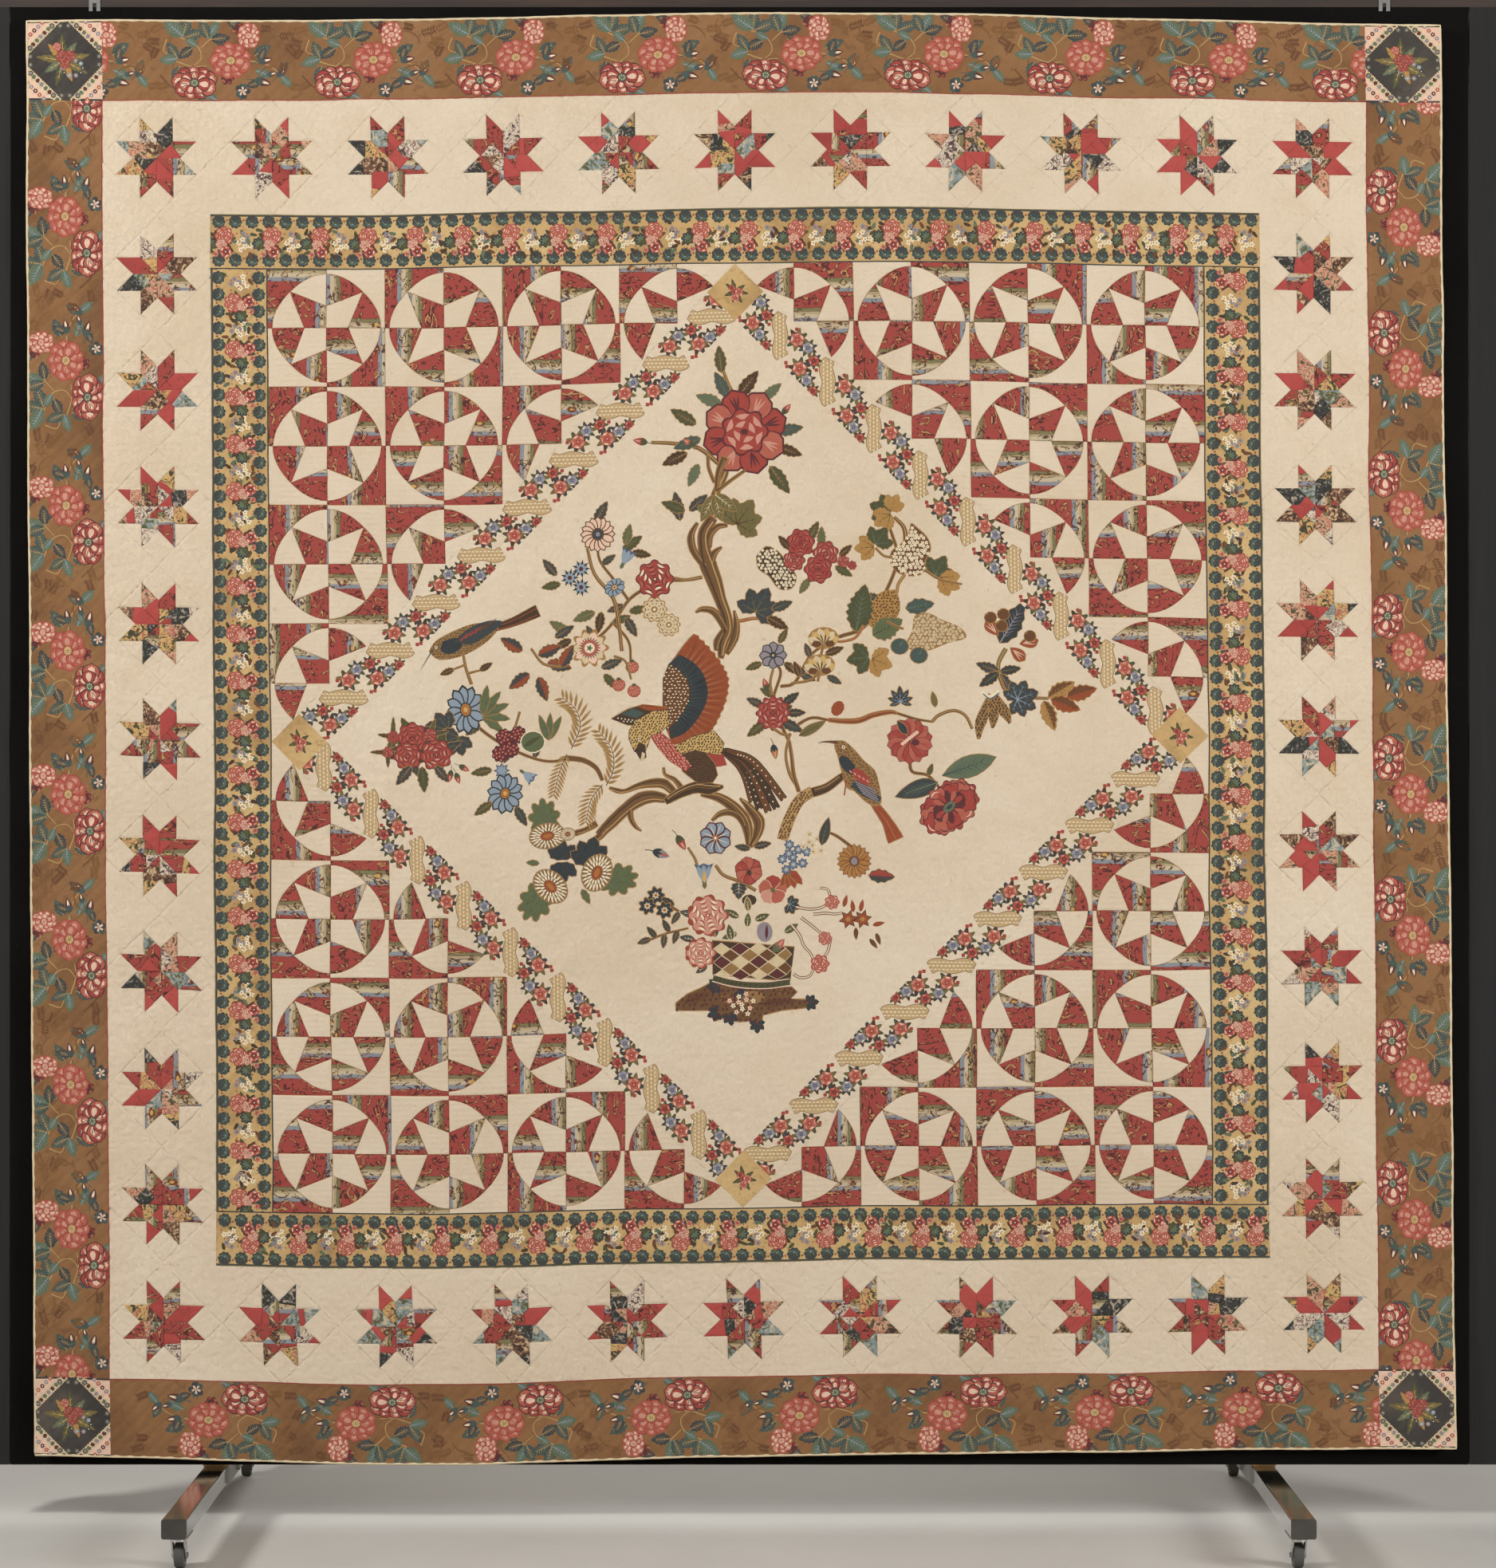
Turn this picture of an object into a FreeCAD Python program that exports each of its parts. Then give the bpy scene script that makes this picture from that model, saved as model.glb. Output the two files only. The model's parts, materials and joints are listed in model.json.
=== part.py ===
import FreeCAD, Part
import math
import os

# A large pieced and appliquéd quilt hanging on a free-standing rolling rack.
# Millimetres, +Z up, the front faces -Y, the origin is on the floor under the middle of the rack.

# Quilt
QUILT_WIDTH = 2980
QUILT_HEIGHT = 3010
QUILT_BOTTOM = 150
FIELD = 1968
INNER_BORDER_SIDE = 120
INNER_BORDER_END = 115
STAR_BORDER_SIDE = 226
STAR_BORDER_END = 238
STARS_PER_SIDE = 11
STAR_TIP = 92
STAR_NOTCH = 50
MEDALLION_HALF = 984
FRAME_STRIP = 84
SKIN = 1
APPLIQUE = 0.8
BACKING = 1
BATTING = 3
BINDING = 6

# Hanging parts behind the quilt
CLOTH = 1.5
CLEAT_DEPTH = 11.5
CLEAT_HEIGHT = 50
CLEAT_LENGTH = 2800
SLAT_HEIGHT = 62
SLAT_GAP = 0.4
TAPE = 1.5
WEBBING = 1
TAPE_HEIGHT = 50
WEBBING_MARGIN = 5

# Rack
BOARD_WIDTH = 3080
BOARD_BOTTOM = 120
BOARD_TOP = 3197
PLYWOOD = 12
PANEL_SEAM = 513
SEAM = 2
UPRIGHT_WIDTH = 70
TIMBER = 45
STUD_WIDTH = 50
RAIL_HEIGHT = 90
BEAM_HEIGHT = 91
RAIL_CENTRES = (180, 1655, 3130)
FOOT_X = 1110
FOOT_WIDTH = 50
FOOT_BOTTOM = 72
FOOT_TOP = 112
FOOT_WALL = 2
FOOT_HALF_LENGTH = 560
PLATE = 5
BRACE_WIDTH = 40
BRACE = 8
BRACE_TOP = 1500
BRACE_FOOT_Y = 440

# Casters
CASTER_Y = 500
WHEEL_RADIUS = 25
WHEEL_WIDTH = 20
HUB_RADIUS = 18
TRAIL = 22
AXLE_RADIUS = 3
KINGPIN_RADIUS = 5
RUNNING_GAP = 0.05
CHEEK = 3

# Caster fork, plate and wheel details
CROWN_RADIUS = 16
CROWN_DROP = 10.5
CROWN_THICKNESS = 4
AXLE_BOSS_RADIUS = 8
AXLE_HEAD_RADIUS = 5
AXLE_HEAD = 2
DISH_DEPTH = 4
DISH_RIM = 3
DISH_BOSS_RADIUS = 7
TYRE_FILLET = 3
CASTER_PLATE_HALF_X = 24
CASTER_PLATE_HALF_Y = 35
CASTER_PLATE = 3
CUP_RADIUS = 17
CUP_DROP = 10
PLATE_SCREW_X = 17
PLATE_SCREW_Y = 27

# Screws, bolts and brackets
COACH_RADIUS = 4
COACH_FLATS = 13
COACH_HEAD = 5
COACH_STAGGER_X = 12
COACH_STAGGER_Z = 22
COACH_START = 20
BEAM_SCREW_DEPTH = 60
PANEL_SCREW_RADIUS = 2
PANEL_SCREW_HEAD_RADIUS = 4.5
PANEL_SCREW_HEAD = 3
PANEL_SCREW_SHANK = 37
PANEL_SCREW_OFFSET = 12
PANEL_SCREW_FIRST = 60
PANEL_SCREW_PITCH = 740
PANEL_SCREW_ROWS = 4
CLEAT_SCREW_RADIUS = 2.5
CLEAT_SCREW_RISE = 15
CLEAT_SCREW_SHANK = 45
CLEAT_HEAD_RADIUS = 5
CLEAT_HEAD = 3
BOLT_RADIUS = 5
BOLT_HOLE = 5.3
BOLT_FLATS = 17
BOLT_HEAD = 6.4
BOLT_END = 10
NUT_HEIGHT = 8
PLATE_BOLT_Z = (230, 370)
FOOT_BOLT_Y = (140, 260)
BRACKET_X = (-1362, 1362)
BRACKET_WIDTH = 24
BRACKET_THICKNESS = 2
BRACKET_BASE = 8
BRACKET_HEIGHT = 58
BRACKET_SCREW_RISES = (22, 46)
PRONG_WIDTH = 8
PRONG_DROP = 9

# Planes and places that follow from the sizes above
SLAT_BACK = -CLOTH - SLAT_GAP
SLAT_FRONT = SLAT_BACK - 12
HOOK_FRONT = SLAT_FRONT - TAPE
LOOP_FRONT = HOOK_FRONT - TAPE
QUILT_BACK = LOOP_FRONT - WEBBING
BATTING_BACK = QUILT_BACK - BACKING
TOP_BACK = BATTING_BACK - BATTING
TOP_FRONT = TOP_BACK - SKIN
STUD_FRONT = PLYWOOD
STUD_BACK = STUD_FRONT + TIMBER
RAIL_BACK = STUD_BACK + TIMBER
QUILT_TOP = QUILT_BOTTOM + QUILT_HEIGHT
QUILT_CENTRE = QUILT_BOTTOM + QUILT_HEIGHT / 2
CLEAT_TOP = QUILT_TOP - 75
UPRIGHT_CENTRE = BOARD_WIDTH / 2 + SEAM + UPRIGHT_WIDTH / 2
RACK_HALF = BOARD_WIDTH / 2 + SEAM + UPRIGHT_WIDTH
OUTER_BORDER_SIDE = (QUILT_WIDTH - FIELD) / 2 - INNER_BORDER_SIDE - STAR_BORDER_SIDE
OUTER_BORDER_END = (QUILT_HEIGHT - FIELD) / 2 - INNER_BORDER_END - STAR_BORDER_END
STUD_X = (-FOOT_X, -PANEL_SEAM, PANEL_SEAM, FOOT_X)
POST_X = (-UPRIGHT_CENTRE,) + STUD_X + (UPRIGHT_CENTRE,)
SEAM_SCREW_X = PANEL_SEAM + PANEL_SCREW_OFFSET
INNER_SCREW_X = PANEL_SEAM - PANEL_SCREW_OFFSET
CLEAT_SCREW_X = (-FOOT_X, -SEAM_SCREW_X, SEAM_SCREW_X, FOOT_X)
PANEL_SCREW_X = (-FOOT_X, -SEAM_SCREW_X, -INNER_SCREW_X, INNER_SCREW_X, SEAM_SCREW_X, FOOT_X)
PANEL_SCREW_LOW = BOARD_BOTTOM + PANEL_SCREW_FIRST
PANEL_SCREW_Z = tuple(PANEL_SCREW_LOW + i * PANEL_SCREW_PITCH for i in range(PANEL_SCREW_ROWS))
BOLT_MID_Y = (STUD_FRONT + STUD_BACK) / 2
FOOT_MID_Z = (FOOT_BOTTOM + FOOT_TOP) / 2
X_AXIS = FreeCAD.Vector(1, 0, 0)
Y_AXIS = FreeCAD.Vector(0, 1, 0)
Z_AXIS = FreeCAD.Vector(0, 0, 1)


def box(x0, x1, y0, y1, z0, z1):
    """A box between two corners."""
    return Part.makeBox(x1 - x0, y1 - y0, z1 - z0, FreeCAD.Vector(x0, y0, z0))


def rod(radius, start, direction, length):
    """A round rod from a start point along an axis."""
    return Part.makeCylinder(radius, length, FreeCAD.Vector(*start), direction)


def prism_along_x(outline, x0, x1):
    """A closed (y, z) outline pushed from x0 to x1."""
    points = [FreeCAD.Vector(x0, y, z) for y, z in outline]
    face = Part.Face(Part.makePolygon(points + points[:1]))
    return face.extrude(FreeCAD.Vector(x1 - x0, 0, 0))


def patch(outline, back=TOP_BACK, thickness=SKIN):
    """A flat piece of cloth: a closed (x, height) outline about the quilt's centre, pushed to the front."""
    points = [FreeCAD.Vector(x, back, QUILT_CENTRE + h) for x, h in outline]
    face = Part.Face(Part.makePolygon(points + points[:1]))
    return face.extrude(FreeCAD.Vector(0, -thickness, 0))


def strip(x0, x1, h0, h1):
    """A rectangular cloth piece about the quilt's centre."""
    return patch([(x0, h0), (x1, h0), (x1, h1), (x0, h1)])


def ring(x, h):
    """Half width and half height of a rectangle ring as strips: top and bottom run full width."""
    inner_x, outer_x = x
    inner_h, outer_h = h
    return [
        strip(-outer_x, outer_x, inner_h, outer_h),
        strip(-outer_x, outer_x, -outer_h, -inner_h),
        strip(-outer_x, -inner_x, -inner_h, inner_h),
        strip(inner_x, outer_x, -inner_h, inner_h),
    ]


def hexagon(across_flats, start, direction, length):
    """A hexagonal prism for bolt heads and nuts, from a start point along an axis."""
    radius = across_flats / math.sqrt(3)
    angles = [math.radians(60 * i) for i in range(6)]
    points = [FreeCAD.Vector(radius * math.cos(a), radius * math.sin(a), 0) for a in angles]
    face = Part.Face(Part.makePolygon(points + points[:1]))
    solid = face.extrude(FreeCAD.Vector(0, 0, length))
    solid.Placement = FreeCAD.Placement(
        FreeCAD.Vector(*start), FreeCAD.Rotation(Z_AXIS, direction)
    )
    return solid


def save(name, *solids):
    """One node: a single solid, or a group of separate solids."""
    shape = solids[0] if len(solids) == 1 else Part.makeCompound(list(solids))
    shape.exportStep("parts/" + name + ".step")


def cut(shape, tools):
    """The shape with every tool that meets it cut away."""
    near = [t for t in tools if t.BoundBox.intersect(shape.BoundBox)]
    return shape.cut(near) if near else shape


def star(x, h):
    """An eight-pointed star patch at a place on the quilt."""
    outline = []
    for i in range(16):
        radius = STAR_TIP if i % 2 == 0 else STAR_NOTCH
        angle = math.radians(22.5 * (i + 1))
        outline.append((x + radius * math.cos(angle), h + radius * math.sin(angle)))
    return patch(outline, TOP_FRONT, APPLIQUE)


def applied(x, h, radius, sides=12, squash=1.0, turn=0.0):
    """A small rounded patch applied on the centre square."""
    outline = []
    for i in range(sides):
        angle = 2 * math.pi * i / sides
        u = radius * math.cos(angle)
        v = radius * squash * math.sin(angle)
        c, s = math.cos(math.radians(turn)), math.sin(math.radians(turn))
        outline.append((x + u * c - v * s, h + u * s + v * c))
    return patch(outline, TOP_FRONT, APPLIQUE)


def build_quilt_layers():
    half_w = QUILT_WIDTH / 2
    half_h = QUILT_HEIGHT / 2
    z0 = QUILT_BOTTOM
    z1 = QUILT_TOP
    edge_x = half_w - BINDING
    edge_z0 = z0 + BINDING
    edge_z1 = z1 - BINDING
    save("quilt_backing", box(-edge_x, edge_x, BATTING_BACK, QUILT_BACK, edge_z0, edge_z1))
    save("quilt_batting", box(-edge_x, edge_x, TOP_BACK, BATTING_BACK, edge_z0, edge_z1))
    rim = box(-half_w, half_w, TOP_FRONT - 0.4, QUILT_BACK + 0.4, z0, z1)
    lip = 4
    inside = [
        box(-edge_x, edge_x, TOP_FRONT, QUILT_BACK, edge_z0, edge_z1),
        box(-edge_x + lip, edge_x - lip, TOP_FRONT - 1, QUILT_BACK + 1, edge_z0 + lip, edge_z1 - lip),
    ]
    save("binding", rim.cut(inside))

    outer_x = half_w - OUTER_BORDER_SIDE
    outer_h = half_h - OUTER_BORDER_END
    edge_h = half_h - BINDING
    strips = [
        strip(-outer_x, outer_x, outer_h, edge_h),
        strip(-outer_x, outer_x, -edge_h, -outer_h),
        strip(-edge_x, -outer_x, -outer_h, outer_h),
        strip(outer_x, edge_x, -outer_h, outer_h),
    ]
    save("outer_border_strips", *strips)
    corners = []
    for sx in (-1, 1):
        for sh in (-1, 1):
            xs = sorted((sx * outer_x, sx * edge_x))
            hs = sorted((sh * outer_h, sh * edge_h))
            corners.append(strip(xs[0], xs[1], hs[0], hs[1]))
    save("corner_squares", *corners)

    white_x = outer_x - STAR_BORDER_SIDE
    white_h = outer_h - STAR_BORDER_END
    save("star_border_strips", *ring((white_x, outer_x), (white_h, outer_h)))
    field = FIELD / 2
    save("inner_border_strips", *ring((field, white_x), (field, white_h)))

    centre_x = outer_x - STAR_BORDER_SIDE / 2
    centre_h = outer_h - STAR_BORDER_END / 2
    steps = [2 * i / (STARS_PER_SIDE - 1) - 1 for i in range(STARS_PER_SIDE)]
    stars = [star(t * centre_x, sh * centre_h) for t in steps for sh in (-1, 1)]
    stars += [star(sx * centre_x, t * centre_h) for t in steps[1:-1] for sx in (-1, 1)]
    save("star_patches", *stars)


def build_quilt_centre():
    field = FIELD / 2
    m = MEDALLION_HALF
    triangles = []
    for sx in (-1, 1):
        for sh in (-1, 1):
            triangles.append(patch([(sx * field, 0), (sx * field, sh * field), (0, sh * field)]))
    save("block_field", *triangles)

    side = m * math.sqrt(2)
    inner = side / 2 - FRAME_STRIP
    turned = FreeCAD.Placement(
        FreeCAD.Vector(0, 0, QUILT_CENTRE), FreeCAD.Rotation(Y_AXIS, 45)
    )

    def on_point(x0, x1, h0, h1):
        shape = box(x0, x1, TOP_FRONT, TOP_BACK, h0, h1)
        shape.Placement = turned
        return shape

    save("medallion_ground", on_point(-inner, inner, -inner, inner))
    strips = [
        on_point(-inner, inner, inner, side / 2),
        on_point(-inner, inner, -side / 2, -inner),
        on_point(-side / 2, -inner, -inner, inner),
        on_point(inner, side / 2, -inner, inner),
    ]
    save("medallion_frame_strips", *strips)
    squares = []
    for x in ((-side / 2, -inner), (inner, side / 2)):
        for h in ((-side / 2, -inner), (inner, side / 2)):
            squares.append(on_point(x[0], x[1], h[0], h[1]))
    save("medallion_corner_squares", *squares)


def build_appliques():
    trunk = [(-60, 460), (-25, 455), (-5, 380), (20, 240), (10, 120), (70, -60), (50, -90), (-30, 60)]
    save("tree_applique", patch(trunk, TOP_FRONT, APPLIQUE), applied(290, 110, 130, 12, 0.18, 8))
    flowers = [
        (18, 632, 84), (-180, 325, 40), (-300, 430, 36), (-312, 188, 50), (-570, 62, 40),
        (-700, -30, 45), (-480, -12, 45), (125, 45, 40), (-54, -212, 40), (130, 392, 60),
        (358, -10, 42), (433, -145, 62), (-65, -340, 40), (-110, -448, 28), (18, -280, 34),
        (237, -267, 36), (-165, -338, 40), (-398, -195, 42),
    ]
    save("flower_appliques", *[applied(x, h, r) for x, h, r in flowers])
    birds = [
        applied(-120, -20, 70, 12, 0.45, -20), applied(-590, 160, 60, 12, 0.4, 20),
        applied(250, -90, 60, 12, 0.4, -60),
    ]
    save("bird_appliques", *birds)
    basket = [(-54, -398), (114, -457), (102, -525), (-57, -515)]
    save("basket_applique", patch(basket, TOP_FRONT, APPLIQUE))


def build_hanging_parts():
    half = CLEAT_LENGTH / 2
    rise = CLEAT_DEPTH
    rail_front = -CLOTH - CLEAT_DEPTH
    rail_base = CLEAT_TOP - CLEAT_HEIGHT
    rail = prism_along_x(
        [(-CLOTH, rail_base), (rail_front, rail_base), (rail_front, CLEAT_TOP), (-CLOTH, CLEAT_TOP - rise)],
        -half, half,
    )
    tools = []
    for x in CLEAT_SCREW_X:
        start = (x, rail_front - 1, rail_base + CLEAT_SCREW_RISE)
        tools.append(rod(CLEAT_SCREW_RADIUS, start, Y_AXIS, CLEAT_DEPTH + 2))
        tools.append(rod(CLEAT_HEAD_RADIUS, start, Y_AXIS, CLEAT_HEAD + 1))
    save("cleat_rail", cut(rail, tools))

    def bevel(y):
        return CLEAT_TOP - (y - rail_front) + SLAT_GAP

    slat_top = CLEAT_TOP + SLAT_HEIGHT
    outline = [
        (SLAT_BACK, bevel(SLAT_BACK)), (SLAT_FRONT, bevel(SLAT_FRONT)),
        (SLAT_FRONT, slat_top), (SLAT_BACK, slat_top),
    ]
    save("hanging_slat", prism_along_x(outline, -half, half))
    tape_z = slat_top - WEBBING_MARGIN - TAPE_HEIGHT
    save("hook_tape", box(-half, half, HOOK_FRONT, SLAT_FRONT, tape_z, tape_z + TAPE_HEIGHT))
    save("loop_tape", box(-half, half, LOOP_FRONT, HOOK_FRONT, tape_z, tape_z + TAPE_HEIGHT))
    webbing_base = tape_z - WEBBING_MARGIN
    webbing_top = tape_z + TAPE_HEIGHT + WEBBING_MARGIN
    reach = half + WEBBING_MARGIN
    save("webbing_strip", box(-reach, reach, QUILT_BACK, LOOP_FRONT, webbing_base, webbing_top))


def coach_screws():
    """Hex-headed wood screws: two at each post and rail crossing, and one per post down through the beam."""
    screws = []
    for x in POST_X:
        for z in RAIL_CENTRES:
            for sign in (-1, 1):
                sx, sz = x + sign * COACH_STAGGER_X, z - sign * COACH_STAGGER_Z
                start = STUD_FRONT + COACH_START
                shank = rod(COACH_RADIUS, (sx, start, sz), Y_AXIS, RAIL_BACK - start)
                screws.append(shank.fuse(hexagon(COACH_FLATS, (sx, RAIL_BACK, sz), Y_AXIS, COACH_HEAD)))
        top = BOARD_TOP + BEAM_HEIGHT
        start = BOARD_TOP - BEAM_SCREW_DEPTH
        shank = rod(COACH_RADIUS, (x, BOLT_MID_Y, start), Z_AXIS, top - start)
        screws.append(shank.fuse(hexagon(COACH_FLATS, (x, BOLT_MID_Y, top), Z_AXIS, COACH_HEAD)))
    return screws


def panel_screws():
    """Countersunk screws that hold the panels to the studs, and the cleat rail through panel and stud."""
    screws = []
    wide, thin = PANEL_SCREW_HEAD_RADIUS, PANEL_SCREW_RADIUS
    for x in PANEL_SCREW_X:
        for z in PANEL_SCREW_Z:
            head = Part.makeCone(wide, thin, PANEL_SCREW_HEAD, FreeCAD.Vector(x, 0, z), Y_AXIS)
            screws.append(head.fuse(rod(thin, (x, PANEL_SCREW_HEAD, z), Y_AXIS, PANEL_SCREW_SHANK)))
    y = -CLOTH - CLEAT_DEPTH
    z = CLEAT_TOP - CLEAT_HEIGHT + CLEAT_SCREW_RISE
    for x in CLEAT_SCREW_X:
        head = rod(CLEAT_HEAD_RADIUS, (x, y, z), Y_AXIS, CLEAT_HEAD)
        shank = rod(CLEAT_SCREW_RADIUS, (x, y + CLEAT_HEAD, z), Y_AXIS, CLEAT_SCREW_SHANK)
        screws.append(head.fuse(shank))
    return screws


def bolt_places():
    """(side, head x, nut x, y, z) for each through bolt of both feet, as distances from the middle plane."""
    inner = FOOT_X - FOOT_WIDTH / 2
    outer = FOOT_X + FOOT_WIDTH / 2
    places = []
    through_plate = [(BOLT_MID_Y, z) for z in PLATE_BOLT_Z] + [(y, FOOT_MID_Z) for y in FOOT_BOLT_Y]
    for side in (-1, 1):
        for y, z in through_plate:
            places.append((side, inner - PLATE, outer, y, z))
        for y, z in ((BOLT_MID_Y, BRACE_TOP), (BRACE_FOOT_Y, FOOT_MID_Z)):
            places.append((side, inner, outer + BRACE, y, z))
    return places


def bolts_and_nuts():
    bolts = []
    nuts = []
    holes = []
    for side, near, far, y, z in bolt_places():
        outwards = FreeCAD.Vector(side, 0, 0)
        inwards = FreeCAD.Vector(-side, 0, 0)
        length = far - near + BOLT_END
        shank = rod(BOLT_RADIUS, (side * near, y, z), outwards, length)
        bolts.append(shank.fuse(hexagon(BOLT_FLATS, (side * near, y, z), inwards, BOLT_HEAD)))
        nut = hexagon(BOLT_FLATS, (side * far, y, z), outwards, NUT_HEIGHT)
        nuts.append(nut.cut(rod(BOLT_RADIUS, (side * (far - 1), y, z), outwards, NUT_HEIGHT + 2)))
        holes.append(rod(BOLT_HOLE, (side * (near - 1), y, z), outwards, length))
    return bolts, nuts, holes


def build_rack():
    screws = coach_screws()
    fine_screws = panel_screws()
    bolts, nuts, holes = bolts_and_nuts()
    tools = screws + fine_screws + holes
    half = BOARD_WIDTH / 2

    panels = []
    for x0, x1 in ((-half, -PANEL_SEAM), (-PANEL_SEAM, PANEL_SEAM), (PANEL_SEAM, half)):
        panels.append(cut(box(x0, x1, 0, PLYWOOD, BOARD_BOTTOM, BOARD_TOP), tools))
    save("backing_panels", *panels)

    sheet = box(-half, half, -CLOTH, 0, BOARD_BOTTOM - CLOTH, BOARD_TOP)
    hem = box(-half, half, 0, PLYWOOD, BOARD_BOTTOM - CLOTH, BOARD_BOTTOM)
    cleat_screws = fine_screws[-len(CLEAT_SCREW_X):]
    save("backdrop_cloth", cut(sheet.fuse(hem).removeSplitter(), cleat_screws))

    for name, x in zip(("left", "right"), (-UPRIGHT_CENTRE, UPRIGHT_CENTRE)):
        w = UPRIGHT_WIDTH / 2
        post = box(x - w, x + w, -CLOTH, STUD_BACK, BOARD_BOTTOM - CLOTH, BOARD_TOP)
        save("upright_" + name, cut(post, tools))

    studs = []
    for x in STUD_X:
        base = FOOT_TOP if abs(x) == FOOT_X else BOARD_BOTTOM
        w = STUD_WIDTH / 2
        studs.append(cut(box(x - w, x + w, STUD_FRONT, STUD_BACK, base, BOARD_TOP), tools))
    save("outer_stud_left", studs[0])
    save("inner_studs", *studs[1:3])
    save("outer_stud_right", studs[3])

    for name, z in zip(("rear_rail_bottom", "rear_rail_middle", "rear_rail_top"), RAIL_CENTRES):
        h = RAIL_HEIGHT / 2
        rail = box(-RACK_HALF, RACK_HALF, STUD_BACK, RAIL_BACK, z - h, z + h)
        save(name, cut(rail, tools))

    beam_top = BOARD_TOP + BEAM_HEIGHT
    beam = box(-RACK_HALF, RACK_HALF, -CLOTH, STUD_BACK, BOARD_TOP, beam_top)
    save("top_beam", cut(beam, tools + bracket_screws()))
    save("top_brackets", *[top_bracket(x) for x in BRACKET_X])
    save("coach_screws", *screws)
    save("wood_screws", *fine_screws, *bracket_screws())
    save("through_bolts", *bolts)
    save("nuts", *nuts)
    build_feet(tools)


def top_bracket(x):
    """A flat steel bracket on the beam's face with two prongs down over the cloth's top edge."""
    w = BRACKET_WIDTH / 2
    y0 = -CLOTH - BRACKET_THICKNESS
    plate = box(x - w, x + w, y0, -CLOTH, BOARD_TOP + BRACKET_BASE, BOARD_TOP + BRACKET_HEIGHT)
    for side in (-1, 1):
        xs = sorted((x + side * w, x + side * (w - PRONG_WIDTH)))
        prong = box(xs[0], xs[1], y0, -CLOTH, BOARD_TOP - PRONG_DROP, BOARD_TOP + BRACKET_BASE)
        plate = plate.fuse(prong)
    return cut(plate.removeSplitter(), bracket_screws())


def bracket_screws():
    screws = []
    for x in BRACKET_X:
        for rise in BRACKET_SCREW_RISES:
            y, z = -CLOTH - BRACKET_THICKNESS, BOARD_TOP + rise
            head = Part.makeSphere(5.2, FreeCAD.Vector(x, y + 3, z), Y_AXIS)
            head = head.common(rod(6, (x, y - 4, z), Y_AXIS, 4))
            screws.append(head.fuse(rod(2, (x, y, z), Y_AXIS, 25)))
    return screws


def build_feet(tools):
    w = FOOT_WIDTH / 2
    length = FOOT_HALF_LENGTH
    caps = []
    plates = []
    braces = []
    for name, side in zip(("left", "right"), (-1, 1)):
        x = side * FOOT_X
        tube = box(x - w, x + w, -length, length, FOOT_BOTTOM, FOOT_TOP)
        tube = tube.makeFillet(5, [e for e in tube.Edges if e.Length > length])
        bore = box(
            x - w + FOOT_WALL, x + w - FOOT_WALL, -length, length,
            FOOT_BOTTOM + FOOT_WALL, FOOT_TOP - FOOT_WALL,
        )
        bore = bore.makeFillet(3, [e for e in bore.Edges if e.Length > length])
        caster_holes = [s for y in (-CASTER_Y, CASTER_Y) for s in plate_screws(x, y)]
        save("foot_tube_" + name, cut(tube.cut(bore), tools + caster_holes))
        for end in (-1, 1):
            ys = sorted((end * length, end * (length + 3)))
            flange = box(x - w, x + w, ys[0], ys[1], FOOT_BOTTOM, FOOT_TOP)
            flange = flange.makeFillet(5, [e for e in flange.Edges if abs(e.Length - 3) < 0.01])
            ys = sorted((end * (length - 15), end * length))
            plug = bore.common(box(x - w, x + w, ys[0], ys[1], FOOT_BOTTOM, FOOT_TOP))
            caps.append(flange.fuse(plug).removeSplitter())
        near = FOOT_X - w - PLATE
        outline = [
            (STUD_FRONT + 2, FOOT_BOTTOM + 4), (320, FOOT_BOTTOM + 4), (320, FOOT_TOP - 4),
            (STUD_BACK - 2, FOOT_TOP - 4), (STUD_BACK - 2, 420), (STUD_FRONT + 2, 420),
        ]
        xs = sorted((side * near, side * (near + PLATE)))
        plates.append(cut(prism_along_x(outline, xs[0], xs[1]), tools))
        braces.append(cut(brace(side), tools))
    save("foot_end_caps", *caps)
    save("foot_plates", *plates)
    save("rear_braces", *braces)


def brace(side):
    """A flat bar from the stud's side down to the foot tube's side, with round ends about its two bolts."""
    near = FOOT_X + FOOT_WIDTH / 2
    dy = BRACE_FOOT_Y - BOLT_MID_Y
    dz = FOOT_MID_Z - BRACE_TOP
    length = math.hypot(dy, dz)
    across = FreeCAD.Vector(side, 0, 0)
    half = BRACE_WIDTH / 2
    ny, nz = -dz / length * half, dy / length * half
    ends = ((BOLT_MID_Y, BRACE_TOP), (BRACE_FOOT_Y, FOOT_MID_Z))
    outline = [
        (ends[0][0] + ny, ends[0][1] + nz), (ends[1][0] + ny, ends[1][1] + nz),
        (ends[1][0] - ny, ends[1][1] - nz), (ends[0][0] - ny, ends[0][1] - nz),
    ]
    xs = sorted((side * near, side * (near + BRACE)))
    bar = prism_along_x(outline, xs[0], xs[1])
    rounds = [rod(half, (side * near, y, z), across, BRACE) for y, z in ends]
    return bar.fuse(rounds).removeSplitter()


def plate_screws(x, y):
    """Four small screws that hold a caster's plate to the tube's floor."""
    screws = []
    for dx in (-PLATE_SCREW_X, PLATE_SCREW_X):
        for dy in (-PLATE_SCREW_Y, PLATE_SCREW_Y):
            head = rod(5, (x + dx, y + dy, FOOT_BOTTOM - 5.5), Z_AXIS, 2.5)
            screws.append(head.fuse(rod(2.5, (x + dx, y + dy, FOOT_BOTTOM - 3), Z_AXIS, 9)))
    return screws


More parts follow.
